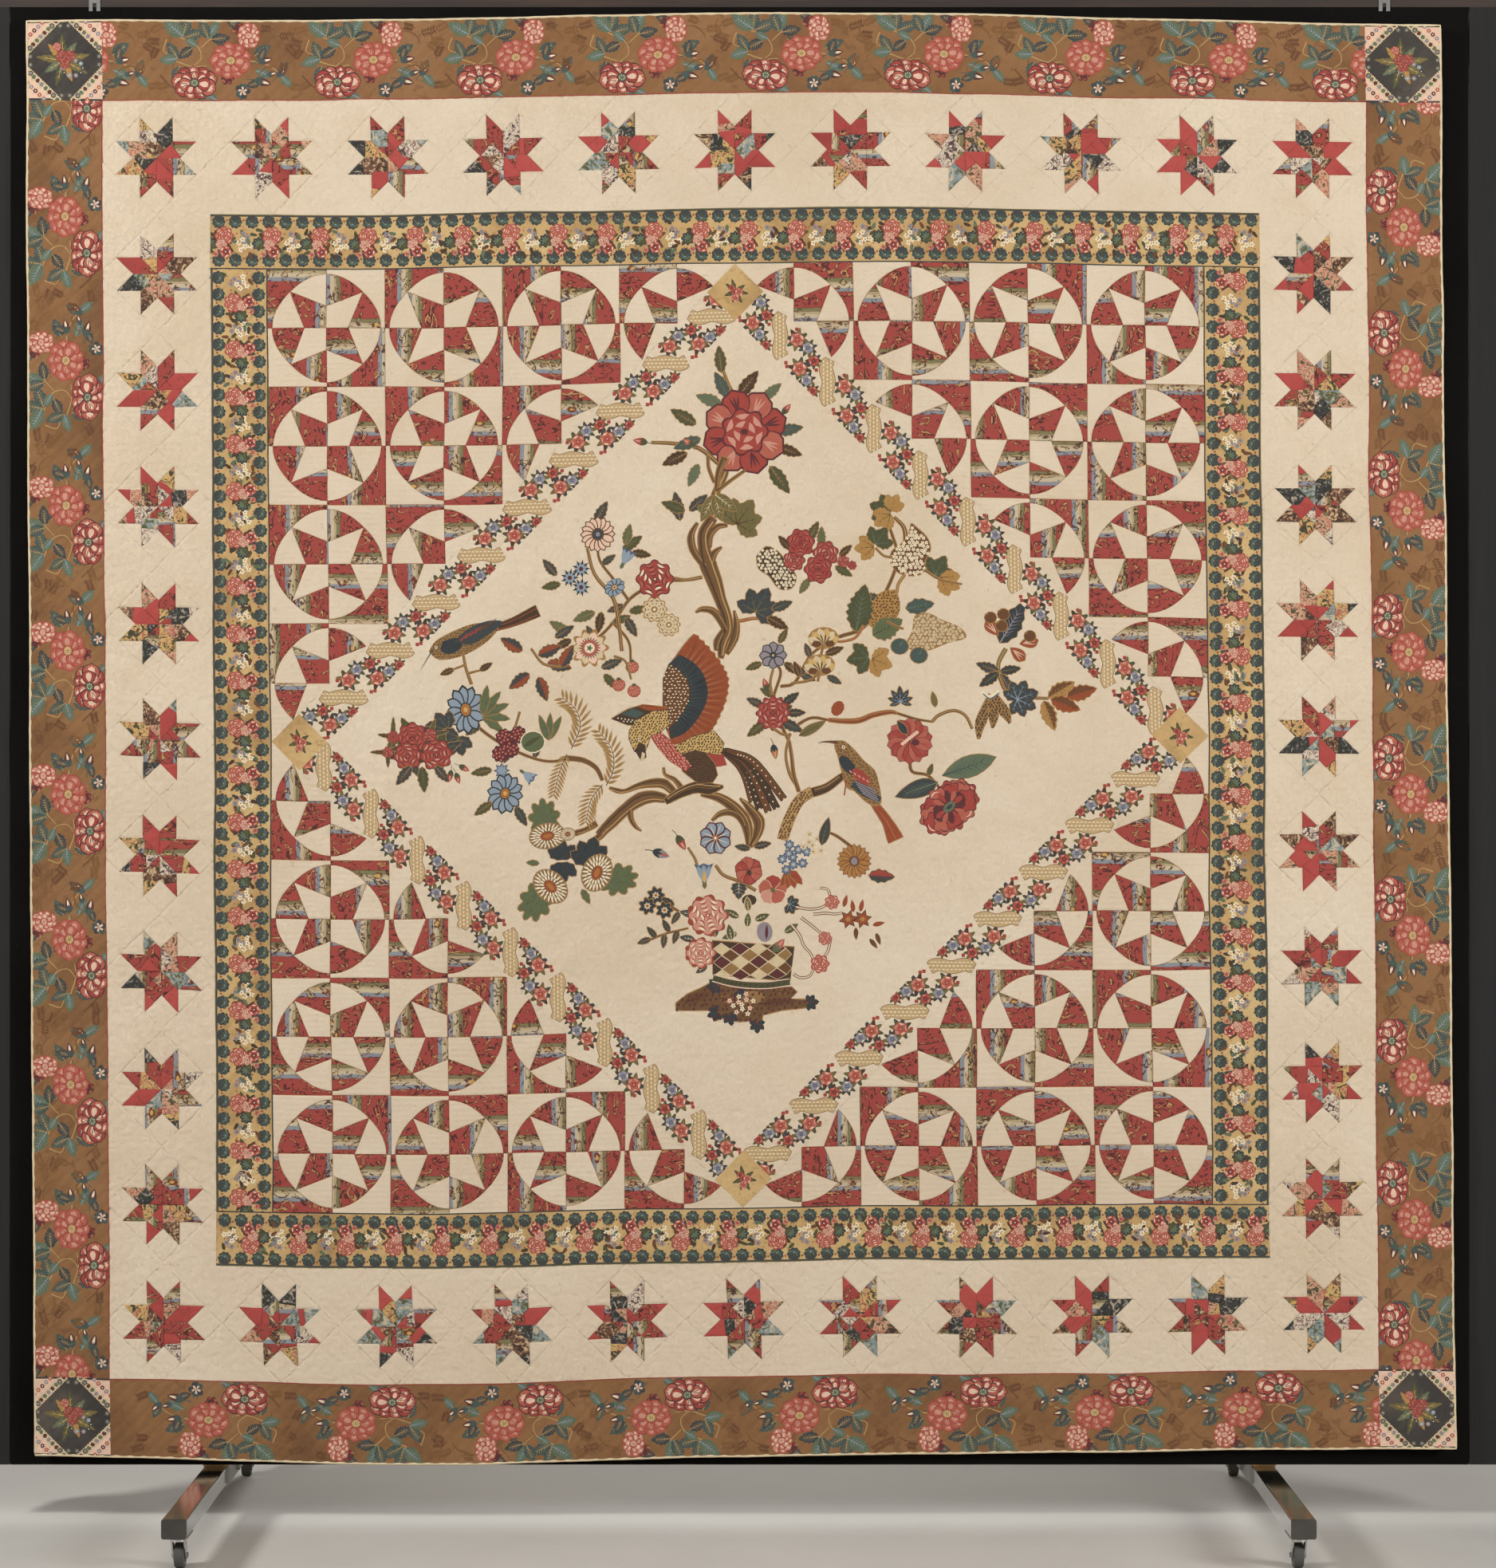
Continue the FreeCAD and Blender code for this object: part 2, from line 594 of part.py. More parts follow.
def build_caster(name, x, y):
    """The fork, axle, hub and tyre of one caster. Its wheel trails behind the kingpin, towards +Y."""
    crown_top = FOOT_BOTTOM - CROWN_DROP
    crown_bottom = crown_top - CROWN_THICKNESS
    crown = rod(CROWN_RADIUS, (x, y, crown_bottom), Z_AXIS, crown_top - crown_bottom)
    kingpin = rod(KINGPIN_RADIUS, (x, y, crown_bottom), Z_AXIS, FOOT_BOTTOM - 1.5 - crown_bottom)
    fork = crown.fuse(kingpin)
    inner = WHEEL_WIDTH / 2 + 1
    axle_y = y + TRAIL
    for side in (-1, 1):
        xs = sorted((x + side * inner, x + side * (inner + CHEEK)))
        outline = [
            (y - 12, crown_top), (y + 12, crown_top), (axle_y + 8, WHEEL_RADIUS + 3),
            (axle_y + 3, WHEEL_RADIUS - 7.5), (axle_y - 7, WHEEL_RADIUS - 4),
        ]
        fork = fork.fuse(prism_along_x(outline, xs[0], xs[1]))
        fork = fork.fuse(rod(AXLE_BOSS_RADIUS, (xs[0], axle_y, WHEEL_RADIUS), X_AXIS, CHEEK))
    reach = inner + CHEEK
    axle = rod(AXLE_RADIUS, (x - reach, axle_y, WHEEL_RADIUS), X_AXIS, 2 * reach)
    fork = fork.removeSplitter().cut(axle)
    save("fork_" + name, fork)
    starts = (x - reach - AXLE_HEAD, x + reach)
    heads = [rod(AXLE_HEAD_RADIUS, (hx, axle_y, WHEEL_RADIUS), X_AXIS, AXLE_HEAD) for hx in starts]
    save("axle_" + name, axle.fuse(heads))

    half = WHEEL_WIDTH / 2
    hub = rod(HUB_RADIUS, (x - half, axle_y, WHEEL_RADIUS), X_AXIS, WHEEL_WIDTH)
    dish = rod(HUB_RADIUS - DISH_RIM, (x - half, axle_y, WHEEL_RADIUS), X_AXIS, DISH_DEPTH)
    dish = dish.cut(rod(DISH_BOSS_RADIUS, (x - half, axle_y, WHEEL_RADIUS), X_AXIS, DISH_DEPTH))
    other = dish.copy()
    other.translate(FreeCAD.Vector(WHEEL_WIDTH - DISH_DEPTH, 0, 0))
    bore = rod(AXLE_RADIUS + RUNNING_GAP, (x - half, axle_y, WHEEL_RADIUS), X_AXIS, WHEEL_WIDTH)
    save("hub_" + name, hub.cut([dish, other, bore]))
    tyre = rod(WHEEL_RADIUS, (x - half, axle_y, WHEEL_RADIUS), X_AXIS, WHEEL_WIDTH)
    rims = [e for e in tyre.Edges if abs(e.Length - 2 * math.pi * WHEEL_RADIUS) < 0.1]
    tyre = tyre.makeFillet(TYRE_FILLET, rims)
    save("tyre_" + name, tyre.cut(rod(HUB_RADIUS, (x - half, axle_y, WHEEL_RADIUS), X_AXIS, WHEEL_WIDTH)))


def build_casters():
    plates = []
    screws = []
    for sx, side in ((-1, "left"), (1, "right")):
        for sy, end in ((-1, "front"), (1, "rear")):
            x, y = sx * FOOT_X, sy * CASTER_Y
            xs = (x - CASTER_PLATE_HALF_X, x + CASTER_PLATE_HALF_X)
            ys = (y - CASTER_PLATE_HALF_Y, y + CASTER_PLATE_HALF_Y)
            plate = box(*xs, *ys, FOOT_BOTTOM - CASTER_PLATE, FOOT_BOTTOM)
            cup_base = (x, y, FOOT_BOTTOM - CUP_DROP)
            cup = rod(CUP_RADIUS, cup_base, Z_AXIS, CUP_DROP - CASTER_PLATE)
            bore = rod(KINGPIN_RADIUS + RUNNING_GAP, cup_base, Z_AXIS, CUP_DROP - 1)
            some = plate_screws(x, y)
            plates.append(plate.fuse(cup).removeSplitter().cut([bore] + some))
            screws += some
            build_caster(end + "_" + side, x, y)
    save("caster_plates", *plates)
    save("caster_screws", *screws)


os.makedirs("parts", exist_ok=True)
build_quilt_layers()
build_quilt_centre()
build_appliques()
build_hanging_parts()
build_rack()
build_casters()
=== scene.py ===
import json
import math

import bpy
import numpy as np
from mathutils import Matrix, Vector
from mathutils.geometry import delaunay_2d_cdt


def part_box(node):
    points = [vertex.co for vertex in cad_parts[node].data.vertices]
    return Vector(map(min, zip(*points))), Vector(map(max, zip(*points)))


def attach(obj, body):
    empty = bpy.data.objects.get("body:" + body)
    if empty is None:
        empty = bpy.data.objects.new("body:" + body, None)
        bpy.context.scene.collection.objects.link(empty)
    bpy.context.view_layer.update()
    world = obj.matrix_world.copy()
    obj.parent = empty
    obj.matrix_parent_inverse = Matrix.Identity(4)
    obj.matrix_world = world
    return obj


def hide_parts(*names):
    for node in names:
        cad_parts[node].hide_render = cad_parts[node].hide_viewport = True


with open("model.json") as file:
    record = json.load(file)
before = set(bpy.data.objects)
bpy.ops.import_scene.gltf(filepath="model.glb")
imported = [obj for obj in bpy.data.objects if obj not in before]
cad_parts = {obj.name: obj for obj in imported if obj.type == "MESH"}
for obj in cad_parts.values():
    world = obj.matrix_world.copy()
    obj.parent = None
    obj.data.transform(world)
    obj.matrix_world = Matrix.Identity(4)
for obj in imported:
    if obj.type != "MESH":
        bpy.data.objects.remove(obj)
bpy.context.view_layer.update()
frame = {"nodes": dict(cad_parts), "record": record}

# A large medallion quilt on a rolling rack. Metres, +Z up, the quilt faces -Y.
# Places on the quilt are (x, h): across, and up from its middle.

# ---------------------------------------------------------------- the quilt's plan, from the frame
RIM_LOW, RIM_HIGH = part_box("binding")
FIELD_LOW, FIELD_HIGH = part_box("block_field")
HALF_W = (RIM_HIGH[0] - RIM_LOW[0]) / 2
HALF_H = (RIM_HIGH[2] - RIM_LOW[2]) / 2
MIDDLE = (RIM_HIGH[2] + RIM_LOW[2]) / 2
FRONT = FIELD_LOW[1]
FIELD = (FIELD_HIGH[0] - FIELD_LOW[0]) / 2
INNER_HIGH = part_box("inner_border_strips")[1]
WHITE_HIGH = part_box("star_border_strips")[1]
INNER = (INNER_HIGH[0], INNER_HIGH[2] - MIDDLE)
WHITE = (WHITE_HIGH[0], WHITE_HIGH[2] - MIDDLE)
BLOCKS = 8
BLOCK = 2 * FIELD / BLOCKS
BINDING = 0.006


# ---------------------------------------------------------------- colours and materials
def rgb(code):
    """A linear colour from a hex code as it looks on a screen."""
    values = [int(code[i:i + 2], 16) / 255 for i in (1, 3, 5)]
    return [v / 12.92 if v < 0.04045 else ((v + 0.055) / 1.055) ** 2.4 for v in values] + [1]


class Nodes:
    """A material's node tree, with short calls for what its parts need."""

    def __init__(self, name):
        self.material = bpy.data.materials.new(name)
        self.material.use_nodes = True
        self.tree = self.material.node_tree
        self.shader = self.tree.nodes["Principled BSDF"]
        self.here = self.add("ShaderNodeTexCoord").outputs["Object"]

    def add(self, kind, **settings):
        node = self.tree.nodes.new(kind)
        for key, value in settings.items():
            if key in node.inputs:
                node.inputs[key].default_value = value
            else:
                setattr(node, key, value)
        return node

    def link(self, a, b):
        self.tree.links.new(a, b)

    def scaled(self, x, y, z, turn=0.0):
        node = self.add("ShaderNodeMapping")
        node.inputs["Scale"].default_value = (x, y, z)
        node.inputs["Rotation"].default_value = (0, turn, 0)
        self.link(self.here, node.inputs["Vector"])
        return node.outputs["Vector"]

    def noise(self, scale, detail=3.0, rough=0.55, distortion=0.0, vector=None):
        node = self.add("ShaderNodeTexNoise", Scale=scale, Detail=detail, Roughness=rough,
                        Distortion=distortion)
        self.link(vector or self.here, node.inputs["Vector"])
        return node.outputs["Fac"]

    def cells(self, scale, feature="F1", vector=None, jitter=1.0):
        node = self.add("ShaderNodeTexVoronoi", Scale=scale, feature=feature, Randomness=jitter)
        self.link(vector or self.here, node.inputs["Vector"])
        return node

    def bands(self, scale, direction, distortion=0.0, vector=None):
        node = self.add("ShaderNodeTexWave", Scale=scale, Distortion=distortion)
        node.bands_direction = direction
        self.link(vector or self.here, node.inputs["Vector"])
        return node.outputs["Fac"]

    def math(self, kind, a, b=0.5, c=0.0):
        node = self.add("ShaderNodeMath", operation=kind)
        for socket, value in zip(node.inputs, (a, b, c)):
            if isinstance(value, (int, float)):
                socket.default_value = value
            else:
                self.link(value, socket)
        return node.outputs[0]

    def ramp(self, factor, stops, hard=False):
        node = self.add("ShaderNodeValToRGB")
        node.color_ramp.interpolation = "CONSTANT" if hard else "LINEAR"
        elements = node.color_ramp.elements
        while len(elements) < len(stops):
            elements.new(0.5)
        for element, (place, colour) in zip(elements, stops):
            element.position = place
            element.color = rgb(colour) if isinstance(colour, str) else (colour, colour, colour, 1)
        self.link(factor, node.inputs["Fac"])
        return node.outputs["Color"]

    def mix(self, factor, a, b, kind="MIX"):
        node = self.add("ShaderNodeMix", data_type="RGBA", blend_type=kind)
        for socket, value in zip((node.inputs[0], node.inputs[6], node.inputs[7]), (factor, a, b)):
            if isinstance(value, str):
                socket.default_value = rgb(value)
            elif isinstance(value, (int, float)):
                socket.default_value = value
            else:
                self.link(value, socket)
        return node.outputs[2]

    def colour(self, value):
        if isinstance(value, str):
            self.shader.inputs["Base Color"].default_value = rgb(value)
        else:
            self.link(value, self.shader.inputs["Base Color"])

    def bump(self, height, distance, strength=1.0):
        node = self.add("ShaderNodeBump", Strength=strength, Distance=distance)
        self.link(height, node.inputs["Height"])
        self.link(node.outputs["Normal"], self.shader.inputs["Normal"])

    def finish(self, roughness, sheen=0.0, metallic=0.0, coat=0.0):
        for key, value in (
            ("Roughness", roughness), ("Sheen Weight", sheen), ("Metallic", metallic),
                           ("Coat Weight", coat),
        ):
            self.shader.inputs[key].default_value = value
        return self.material


def weave(n, threads=700.0, distance=0.0004):
    """Plain weave as bump: warp and weft threads with some slub."""
    warp = n.bands(threads, "X", 0.6)
    weft = n.bands(threads, "Z", 0.6)
    both = n.math("MULTIPLY", n.math("MAXIMUM", warp, weft), n.noise(240, 2))
    n.bump(both, distance)


def cotton(name, colour, roughness=0.88):
    """Printed cotton of one colour."""
    n = Nodes(name)
    n.colour(colour)
    weave(n)
    return n.finish(roughness, sheen=0.08)


def aged_cream(name="cream_cotton"):
    """Unbleached cotton that has yellowed unevenly, with faint brown foxing and wrinkle shadows."""
    n = Nodes(name)
    tone = n.ramp(n.noise(2.2, 4, 0.6), [(0.3, "#cdb99e"), (0.5, "#d6c4ac"), (0.7, "#ddceb8")])
    # Painted shade: soft darker patches over the cream stand in for the shadows of wrinkles.
    wrinkle_shade = n.ramp(n.noise(9, 5, 0.6), [(0.52, 0.0), (0.74, 1.0)])
    tone = n.mix(n.math("MULTIPLY", wrinkle_shade, 0.22), tone, "#c4a27a")
    spots = n.ramp(n.noise(60, 2, 0.5), [(0.70, 0.0), (0.80, 1.0)])
    tone = n.mix(n.math("MULTIPLY", spots, 0.35), tone, "#a9865a")
    grain = n.ramp(n.noise(420, 2), [(0.3, "#bfa684"), (0.7, "#ecdfc6")])
    n.colour(n.mix(0.18, tone, grain))
    weave(n)
    return n.finish(0.9, sheen=0.1)


def chintz_ground(name, base, dark, light, scale=26.0):
    """A printed ground: a mottled colour with small darker sprigs."""
    n = Nodes(name)
    tone = n.ramp(n.noise(5, 5, 0.6), [(0.3, dark), (0.5, base), (0.72, light)])
    sprig = n.ramp(n.noise(scale, 3, 0.5, 1.6), [(0.60, 0.0), (0.68, 1.0)])
    tone = n.mix(n.math("MULTIPLY", sprig, 0.55), tone, dark)
    grain = n.noise(380, 2)
    n.colour(n.mix(n.math("MULTIPLY", grain, 0.18), tone, light))
    weave(n)
    return n.finish(0.82, sheen=0.08)


STRIPE_REPEAT = 0.086


def striped_red(name, upright, phase):
    """Crimson print with a blue-grey, cream and green stripe set, dark squiggles and tan sprigs."""
    n = Nodes(name)
    split = n.add("ShaderNodeSeparateXYZ")
    n.link(n.here, split.inputs[0])
    across = split.outputs["X"] if upright else split.outputs["Z"]
    along = split.outputs["Z"] if upright else split.outputs["X"]
    wobble = n.math("MULTIPLY", n.math("SUBTRACT", n.noise(30, 2), 0.5), 0.006)
    place = n.math("ADD", n.math("DIVIDE", n.math("ADD", across, wobble), STRIPE_REPEAT), phase)
    place = n.math("FRACT", place, 0.0)
    stripes = n.ramp(
        place,
        [(0.0, "#9e4138"), (0.52, "#6d5652"), (0.535, "#86959c"), (0.63, "#cbbf9e"), (0.72, "#b9ab84"),
         (0.78, "#767a52"), (0.87, "#50532f"), (0.885, "#9e4138")],
        hard=True,
    )
    tone = n.mix(n.math("MULTIPLY", n.noise(14, 4), 0.4), stripes, "#84322a")
    flat = n.add("ShaderNodeCombineXYZ")
    n.link(n.math("MULTIPLY", along, 1.0), flat.inputs[0])
    n.link(n.math("MULTIPLY", across, 1.7), flat.inputs[1])
    squiggle = n.noise(34, 1, 0.4, 2.2, flat.outputs[0])
    dark = n.ramp(squiggle, [(0.54, 0.0), (0.565, 1.0), (0.625, 1.0), (0.64, 0.0)])
    tone = n.mix(n.math("MULTIPLY", dark, 0.92), tone, "#421a16")
    light = n.ramp(squiggle, [(0.64, 0.0), (0.655, 1.0), (0.70, 1.0), (0.715, 0.0)])
    tone = n.mix(n.math("MULTIPLY", light, 0.8), tone, "#b8965c")
    cell = n.cells(21, vector=flat.outputs[0])
    sprig = n.ramp(cell.outputs["Distance"], [(0.22, 1.0), (0.27, 0.0)])
    band = n.ramp(place, [(0.52, 0.0), (0.57, 1.0), (0.84, 1.0), (0.9, 0.0)])
    ragged = n.ramp(n.noise(110, 2, 0.6, 1.0), [(0.44, 0.0), (0.5, 1.0)])
    brown = n.math("MULTIPLY", n.math("MULTIPLY", sprig, band), ragged)
    tone = n.mix(brown, tone, "#6a3018")
    heart = n.ramp(cell.outputs["Distance"], [(0.10, 1.0), (0.13, 0.0)])
    tone = n.mix(n.math("MULTIPLY", heart, band), tone, "#c89c4c")
    n.colour(tone)
    weave(n)
    return n.finish(0.85, sheen=0.08)


def scrap_print(name, ground, blooms, dark, scale):
    """A small busy scrap of chintz: blooms of one colour over dark shadows on a ground."""
    n = Nodes(name)
    shape = n.noise(scale, 3, 0.6, 1.8)
    tone = n.ramp(shape, [(0.0, dark), (0.43, dark), (0.47, ground), (0.56, ground), (0.60, blooms),
                          (0.70, "#bda480")])
    petal = n.ramp(n.cells(scale * 2.1).outputs["Distance"], [(0.15, 1.0), (0.3, 0.0)])
    n.colour(n.mix(n.math("MULTIPLY", petal, 0.55), tone, blooms))
    weave(n)
    return n.finish(0.85, sheen=0.08)


# Colours of the cut and printed motifs.
TONES = {
    "edge": "#9c7440", "ink": "#2b211a", "plum": "#572829",
    "red": "#9a3d33", "rust": "#8f4524", "rose": "#ab5a48", "pink": "#c48b78", "blush": "#ddbaa2",
    "orange": "#a3682f", "amber": "#a67d42", "yellow": "#c3a163", "lace": "#bb9f74", "straw": "#ad8c58",
         "tan": "#8e6c40",
    "brown": "#643f22", "sepia": "#76502a", "umber": "#43301f", "bark": "#68492a",
    "slate": "#383d3d", "navy": "#2f3436", "moss": "#484a2e", "green": "#596140", "olive": "#6a5f36",
    "sage": "#5c6850", "teal": "#41504a", "blue": "#4d5a70", "sky": "#8794a0", "lilac": "#8b8085",
    "ivory": "#e2d2b2", "paper": "#cdb893",
}
INKS = {name: cotton("tone_" + name, code) for name, code in TONES.items()}
CREAM = aged_cream()
OCHRE = chintz_ground("ochre_chintz", "#845b33", "#694524", "#906842")
TANPRINT = chintz_ground("tan_print", "#bf9c66", "#93703f", "#ceb27e", 60)
NAVY = chintz_ground("navy_print", "#35302c", "#241f1c", "#5c5248", 90)
REDS = [striped_red(f"red_stripe_{i}", i % 2 == 0, 0.13 + 0.26 * (i // 2)) for i in range(8)]
SOLID_RED = chintz_ground("plain_red", "#a8403a", "#8f312c", "#b34c44", 70)
SCRAPS = [
    scrap_print("scrap_floral", "#c6a367", "#a1433a", "#3f3c2a", 52),
    scrap_print("scrap_white", "#d3c4ad", "#7a5158", "#553a3c", 66),
    scrap_print("scrap_dark", "#34342f", "#8f857c", "#26251f", 58),
    scrap_print("scrap_brown", "#6f4a35", "#c9ad86", "#3a281c", 62),
    scrap_print("scrap_blue", "#84908f", "#c3b394", "#5a5836", 50),
    scrap_print("scrap_rose", "#c79a7c", "#a03a38", "#4c4a30", 60),
]


# ---------------------------------------------------------------- how the cloth lies
def lattice(ix, iy, seed):
    v = np.sin(ix * 127.1 + iy * 311.7 + seed * 74.7) * 43758.5453
    return v - np.floor(v)


def waver(x, y, scale, seed):
    """Smooth noise from -1 to 1 over a plane."""
    x, y = np.asarray(x) * scale, np.asarray(y) * scale
    ix, iy = np.floor(x), np.floor(y)
    fx, fy = x - ix, y - iy
    fx, fy = fx * fx * (3 - 2 * fx), fy * fy * (3 - 2 * fy)
    a = lattice(ix, iy, seed) * (1 - fx) + lattice(ix + 1, iy, seed) * fx
    b = lattice(ix, iy + 1, seed) * (1 - fx) + lattice(ix + 1, iy + 1, seed) * fx
    return 2 * (a * (1 - fy) + b * fy) - 1


def valley(value, width):
    """0 away from a line and -1 on it, where value is the distance from the line."""
    return -np.exp(-((value / width) ** 2))


def stitched_lines(distance, spacing, width):
    off = np.abs((distance / spacing + 0.5) % 1 - 0.5) * spacing
    return valley(off, width)


def quilting(kind, x, h):
    """The relief of the quilting stitches, in metres."""
    drift = 0.003 * waver(x, h, 9, 3)
    if kind == "diagonal":
        lines = stitched_lines((x - h) / math.sqrt(2) + drift, 0.021, 0.0035)
        return 0.0014 * lines
    if kind == "level":
        lines = stitched_lines(h + drift + 0.0012 * waver(x, h, 45, 8), 0.0115, 0.0028)
        return 0.0011 * lines
    bend = waver(x, h, 74, 5) + 0.45 * waver(x, h, 131, 6)
    return 0.0014 * valley(bend, 0.24) + 0.0003 * waver(x, h, 150, 7)


def drape(x, h):
    """How far the hanging quilt stands forward of its flat plane: long soft folds that die out at the top."""
    down = np.clip((HALF_H - h) / (2 * HALF_H), 0, 1)
    folds = 0.5 + 0.5 * np.sin(5.1 * x + 0.9 * np.sin(1.7 * h) + 0.8)
    ripples = 0.5 + 0.5 * waver(x, h, 3.1, 11)
    edge = np.exp(-(HALF_W - np.abs(x)) / 0.10) * (0.5 + 0.5 * np.sin(11 * h + 3 * x))
    hem = np.exp(-(HALF_H + h) / 0.12) * (0.5 + 0.5 * np.sin(8.3 * x + 1))
    return 0.0045 * folds * down + 0.004 * ripples + 0.005 * edge + 0.006 * hem


def settled(x, h):
    """Where a place on the plan lies across and up, once the hand-sewn quilt has settled out of square."""
    down = (HALF_H - h) / (2 * HALF_H)
    side = x / HALF_W
    dx = -0.0135 * (1 - down) + down * (0.0125 + 0.0075 * side)
    dx = dx + 0.0022 * waver(x, h, 3.7, 21) + 0.0012 * waver(x, h, 9, 22)
    crown = 0.022 * np.exp(-(((x - 0.2) / 0.75) ** 2)) - 0.004 * side
    sag = -0.009 - 0.018 * np.exp(-(((x + 0.7) / 0.5) ** 2)) + 0.016 * np.clip(side, 0, 1)
    dh = crown * (1 - down) + sag * down + 0.0022 * waver(x, h, 3.9, 23) + 0.0012 * waver(x, h, 9, 24)
    return x + dx, h + dh


def hang(x, h, kind=None, lift=0.0):
    """Points of the quilt's face in the row's frame."""
    relief = 0.0007 * waver(x, h, 20, 31) + lift
    if kind:
        relief = relief + quilting(kind, x, h)
    across, up = settled(x, h)
    return np.stack([across, FRONT - 0.0005 - drape(x, h) - relief, MIDDLE + up], axis=-1)


def add_mesh(name, points, faces, materials, indices=None, smooth=True):
    mesh = bpy.data.meshes.new(name)
    mesh.from_pydata([tuple(p) for p in points], [], faces)
    for material in materials:
        mesh.materials.append(material)
    if indices is not None:
        mesh.polygons.foreach_set("material_index", np.asarray(indices, np.int32))
    mesh.polygons.foreach_set("use_smooth", np.full(len(mesh.polygons), smooth))
    mesh.update()
    piece = bpy.data.objects.new(name, mesh)
    bpy.context.scene.collection.objects.link(piece)
    return piece


SEAM = -0.0006


class Patchwork:
    """Flat cloth pieces and their prints, turned into one puckered mesh. Later shapes lie over others."""

    def __init__(self, name, outline, ground, kind, step):
        self.name, self.kind, self.step = name, kind, step
        self.shapes = []
        self.piece(outline, ground)

    def piece(self, outline, material, puff=0.0006):
        """A cloth piece with seams all round."""
        self.shapes.append((outline, material, puff, len(self.shapes)))

    def ink(self, outline, material):
        """A printed shape on whatever lies under it."""
        self.shapes.append((outline, material, 0.0, None))

    def build(self):
        verts, faces = [], []
        for outline, _, _, _ in self.shapes:
            outline = np.asarray(outline)
            x, y = outline[:, 0], outline[:, 1]
            if np.sum(x * np.roll(y, -1) - y * np.roll(x, -1)) < 0:
                outline = outline[::-1]
            faces.append(list(range(len(verts), len(verts) + len(outline))))
            verts += [Vector(p) for p in outline]
        base = np.asarray(self.shapes[0][0])
        low, high = base.min(axis=0), base.max(axis=0)
        rows = int((high[1] - low[1]) / (self.step * 0.866)) + 1
        for j in range(1, rows):
            y = low[1] + j * self.step * 0.866
            xs = np.arange(low[0] + self.step * (0.5 if j % 2 else 1.0), high[0], self.step)
            verts += [Vector((x, y)) for x in xs]
        coords, _, tris, _, _, origins = delaunay_2d_cdt(verts, [], faces, 1, 1e-7)
        coords, tris = np.array([tuple(c) for c in coords]), np.array([tuple(t) for t in tris])
        centres = coords[tris].mean(axis=1)
        # Which shapes cover each triangle. A shape with a crossed outline is tested point by point.
        tri = np.repeat(np.arange(len(tris)), [len(o) for o in origins])
        shape = np.concatenate([np.asarray(o, int) for o in origins if o])
        lows = np.array([np.min(s[0], axis=0) for s in self.shapes])
        highs = np.array([np.max(s[0], axis=0) for s in self.shapes])
        fits = np.all((centres[tri] >= lows[shape]) & (centres[tri] <= highs[shape]), axis=1)
        for crossed in np.unique(shape[~fits]):
            own = np.flatnonzero((shape == crossed) & fits)
            fits[own] = inside(centres[tri[own]], np.asarray(self.shapes[crossed][0]))
        tri, shape = tri[fits], shape[fits]
        top, owner = np.full(len(tris), -1), np.full(len(tris), -1)
        np.maximum.at(top, tri, shape)
        sewn = np.array([s[3] is not None for s in self.shapes])
        np.maximum.at(owner, tri[sewn[shape]], shape[sewn[shape]])
        in_base = np.zeros(len(tris), bool)
        in_base[tri[shape == 0]] = True
        tris, top, owner = tris[in_base], top[in_base], owner[in_base]
        materials, slots = [], {}
        for _, material, _, _ in self.shapes:
            if material.name not in slots:
                slots[material.name] = len(materials)
                materials.append(material)
        slot_of = np.array([slots[s[1].name] for s in self.shapes])
        # Seams lie where pieces meet, and along the rim.
        least, most = np.full(len(coords), 10 ** 9), np.full(len(coords), -1)
        for corner in range(3):
            np.minimum.at(least, tris[:, corner], owner)
            np.maximum.at(most, tris[:, corner], owner)
        used = np.flatnonzero(most >= 0)
        number = np.full(len(coords), -1)
        number[used] = np.arange(len(used))
        flat = coords[used]
        puffs = np.array([s[2] for s in self.shapes])
        lift = np.where(least[used] == most[used], puffs[most[used]], SEAM)
        points = hang(flat[:, 0], flat[:, 1], self.kind, lift)
        return add_mesh(self.name, points, number[tris].tolist(), materials, slot_of[top])


# ---------------------------------------------------------------- outlines, about (0, 0)
def oval(rx, ry, n=14):
    a = np.linspace(0, math.tau, n, endpoint=False)
    return np.stack([rx * np.cos(a), ry * np.sin(a)], axis=-1)


def scalloped(r, lobes, depth=0.16, per_lobe=5, turn=0.0):
    """A round outline of lobes that meet in creases, like petals seen from above."""
    a = np.linspace(0, math.tau, lobes * per_lobe, endpoint=False) + turn
    k = r * (1 - depth + depth * 2 * np.abs(np.cos(lobes * (a - turn) / 2)) - depth * 0.4)
    return np.stack([k * np.cos(a), k * np.sin(a)], axis=-1)


def spiky(r, points, depth=0.3, turn=0.0):
    a = np.arange(points * 2) * math.pi / points + turn
    k = np.where(np.arange(points * 2) % 2 == 0, r, r * (1 - depth))
    return np.stack([k * np.cos(a), k * np.sin(a)], axis=-1)


def leaf_shape(length, width, teeth=0, tooth=0.12, n=7, fat=0.45):
    """A pointed leaf from (0, 0) along +x, widest at fat of its length, with toothed sides if asked."""
    t = np.linspace(0, 1, (n if not teeth else teeth * 2) + 1)
    power = math.log(0.5) / math.log(fat)
    half = width / 2 * np.sin(math.pi * t ** power) ** 0.85
    if teeth:
        half = half * (1 + tooth * np.where(np.arange(len(t)) % 2 == 1, 1, -1))
    half[0] = half[-1] = 0
    top = np.stack([t * length, half], axis=-1)
    low = np.stack([t * length, -half], axis=-1)
    return np.concatenate([top, low[-2:0:-1]])


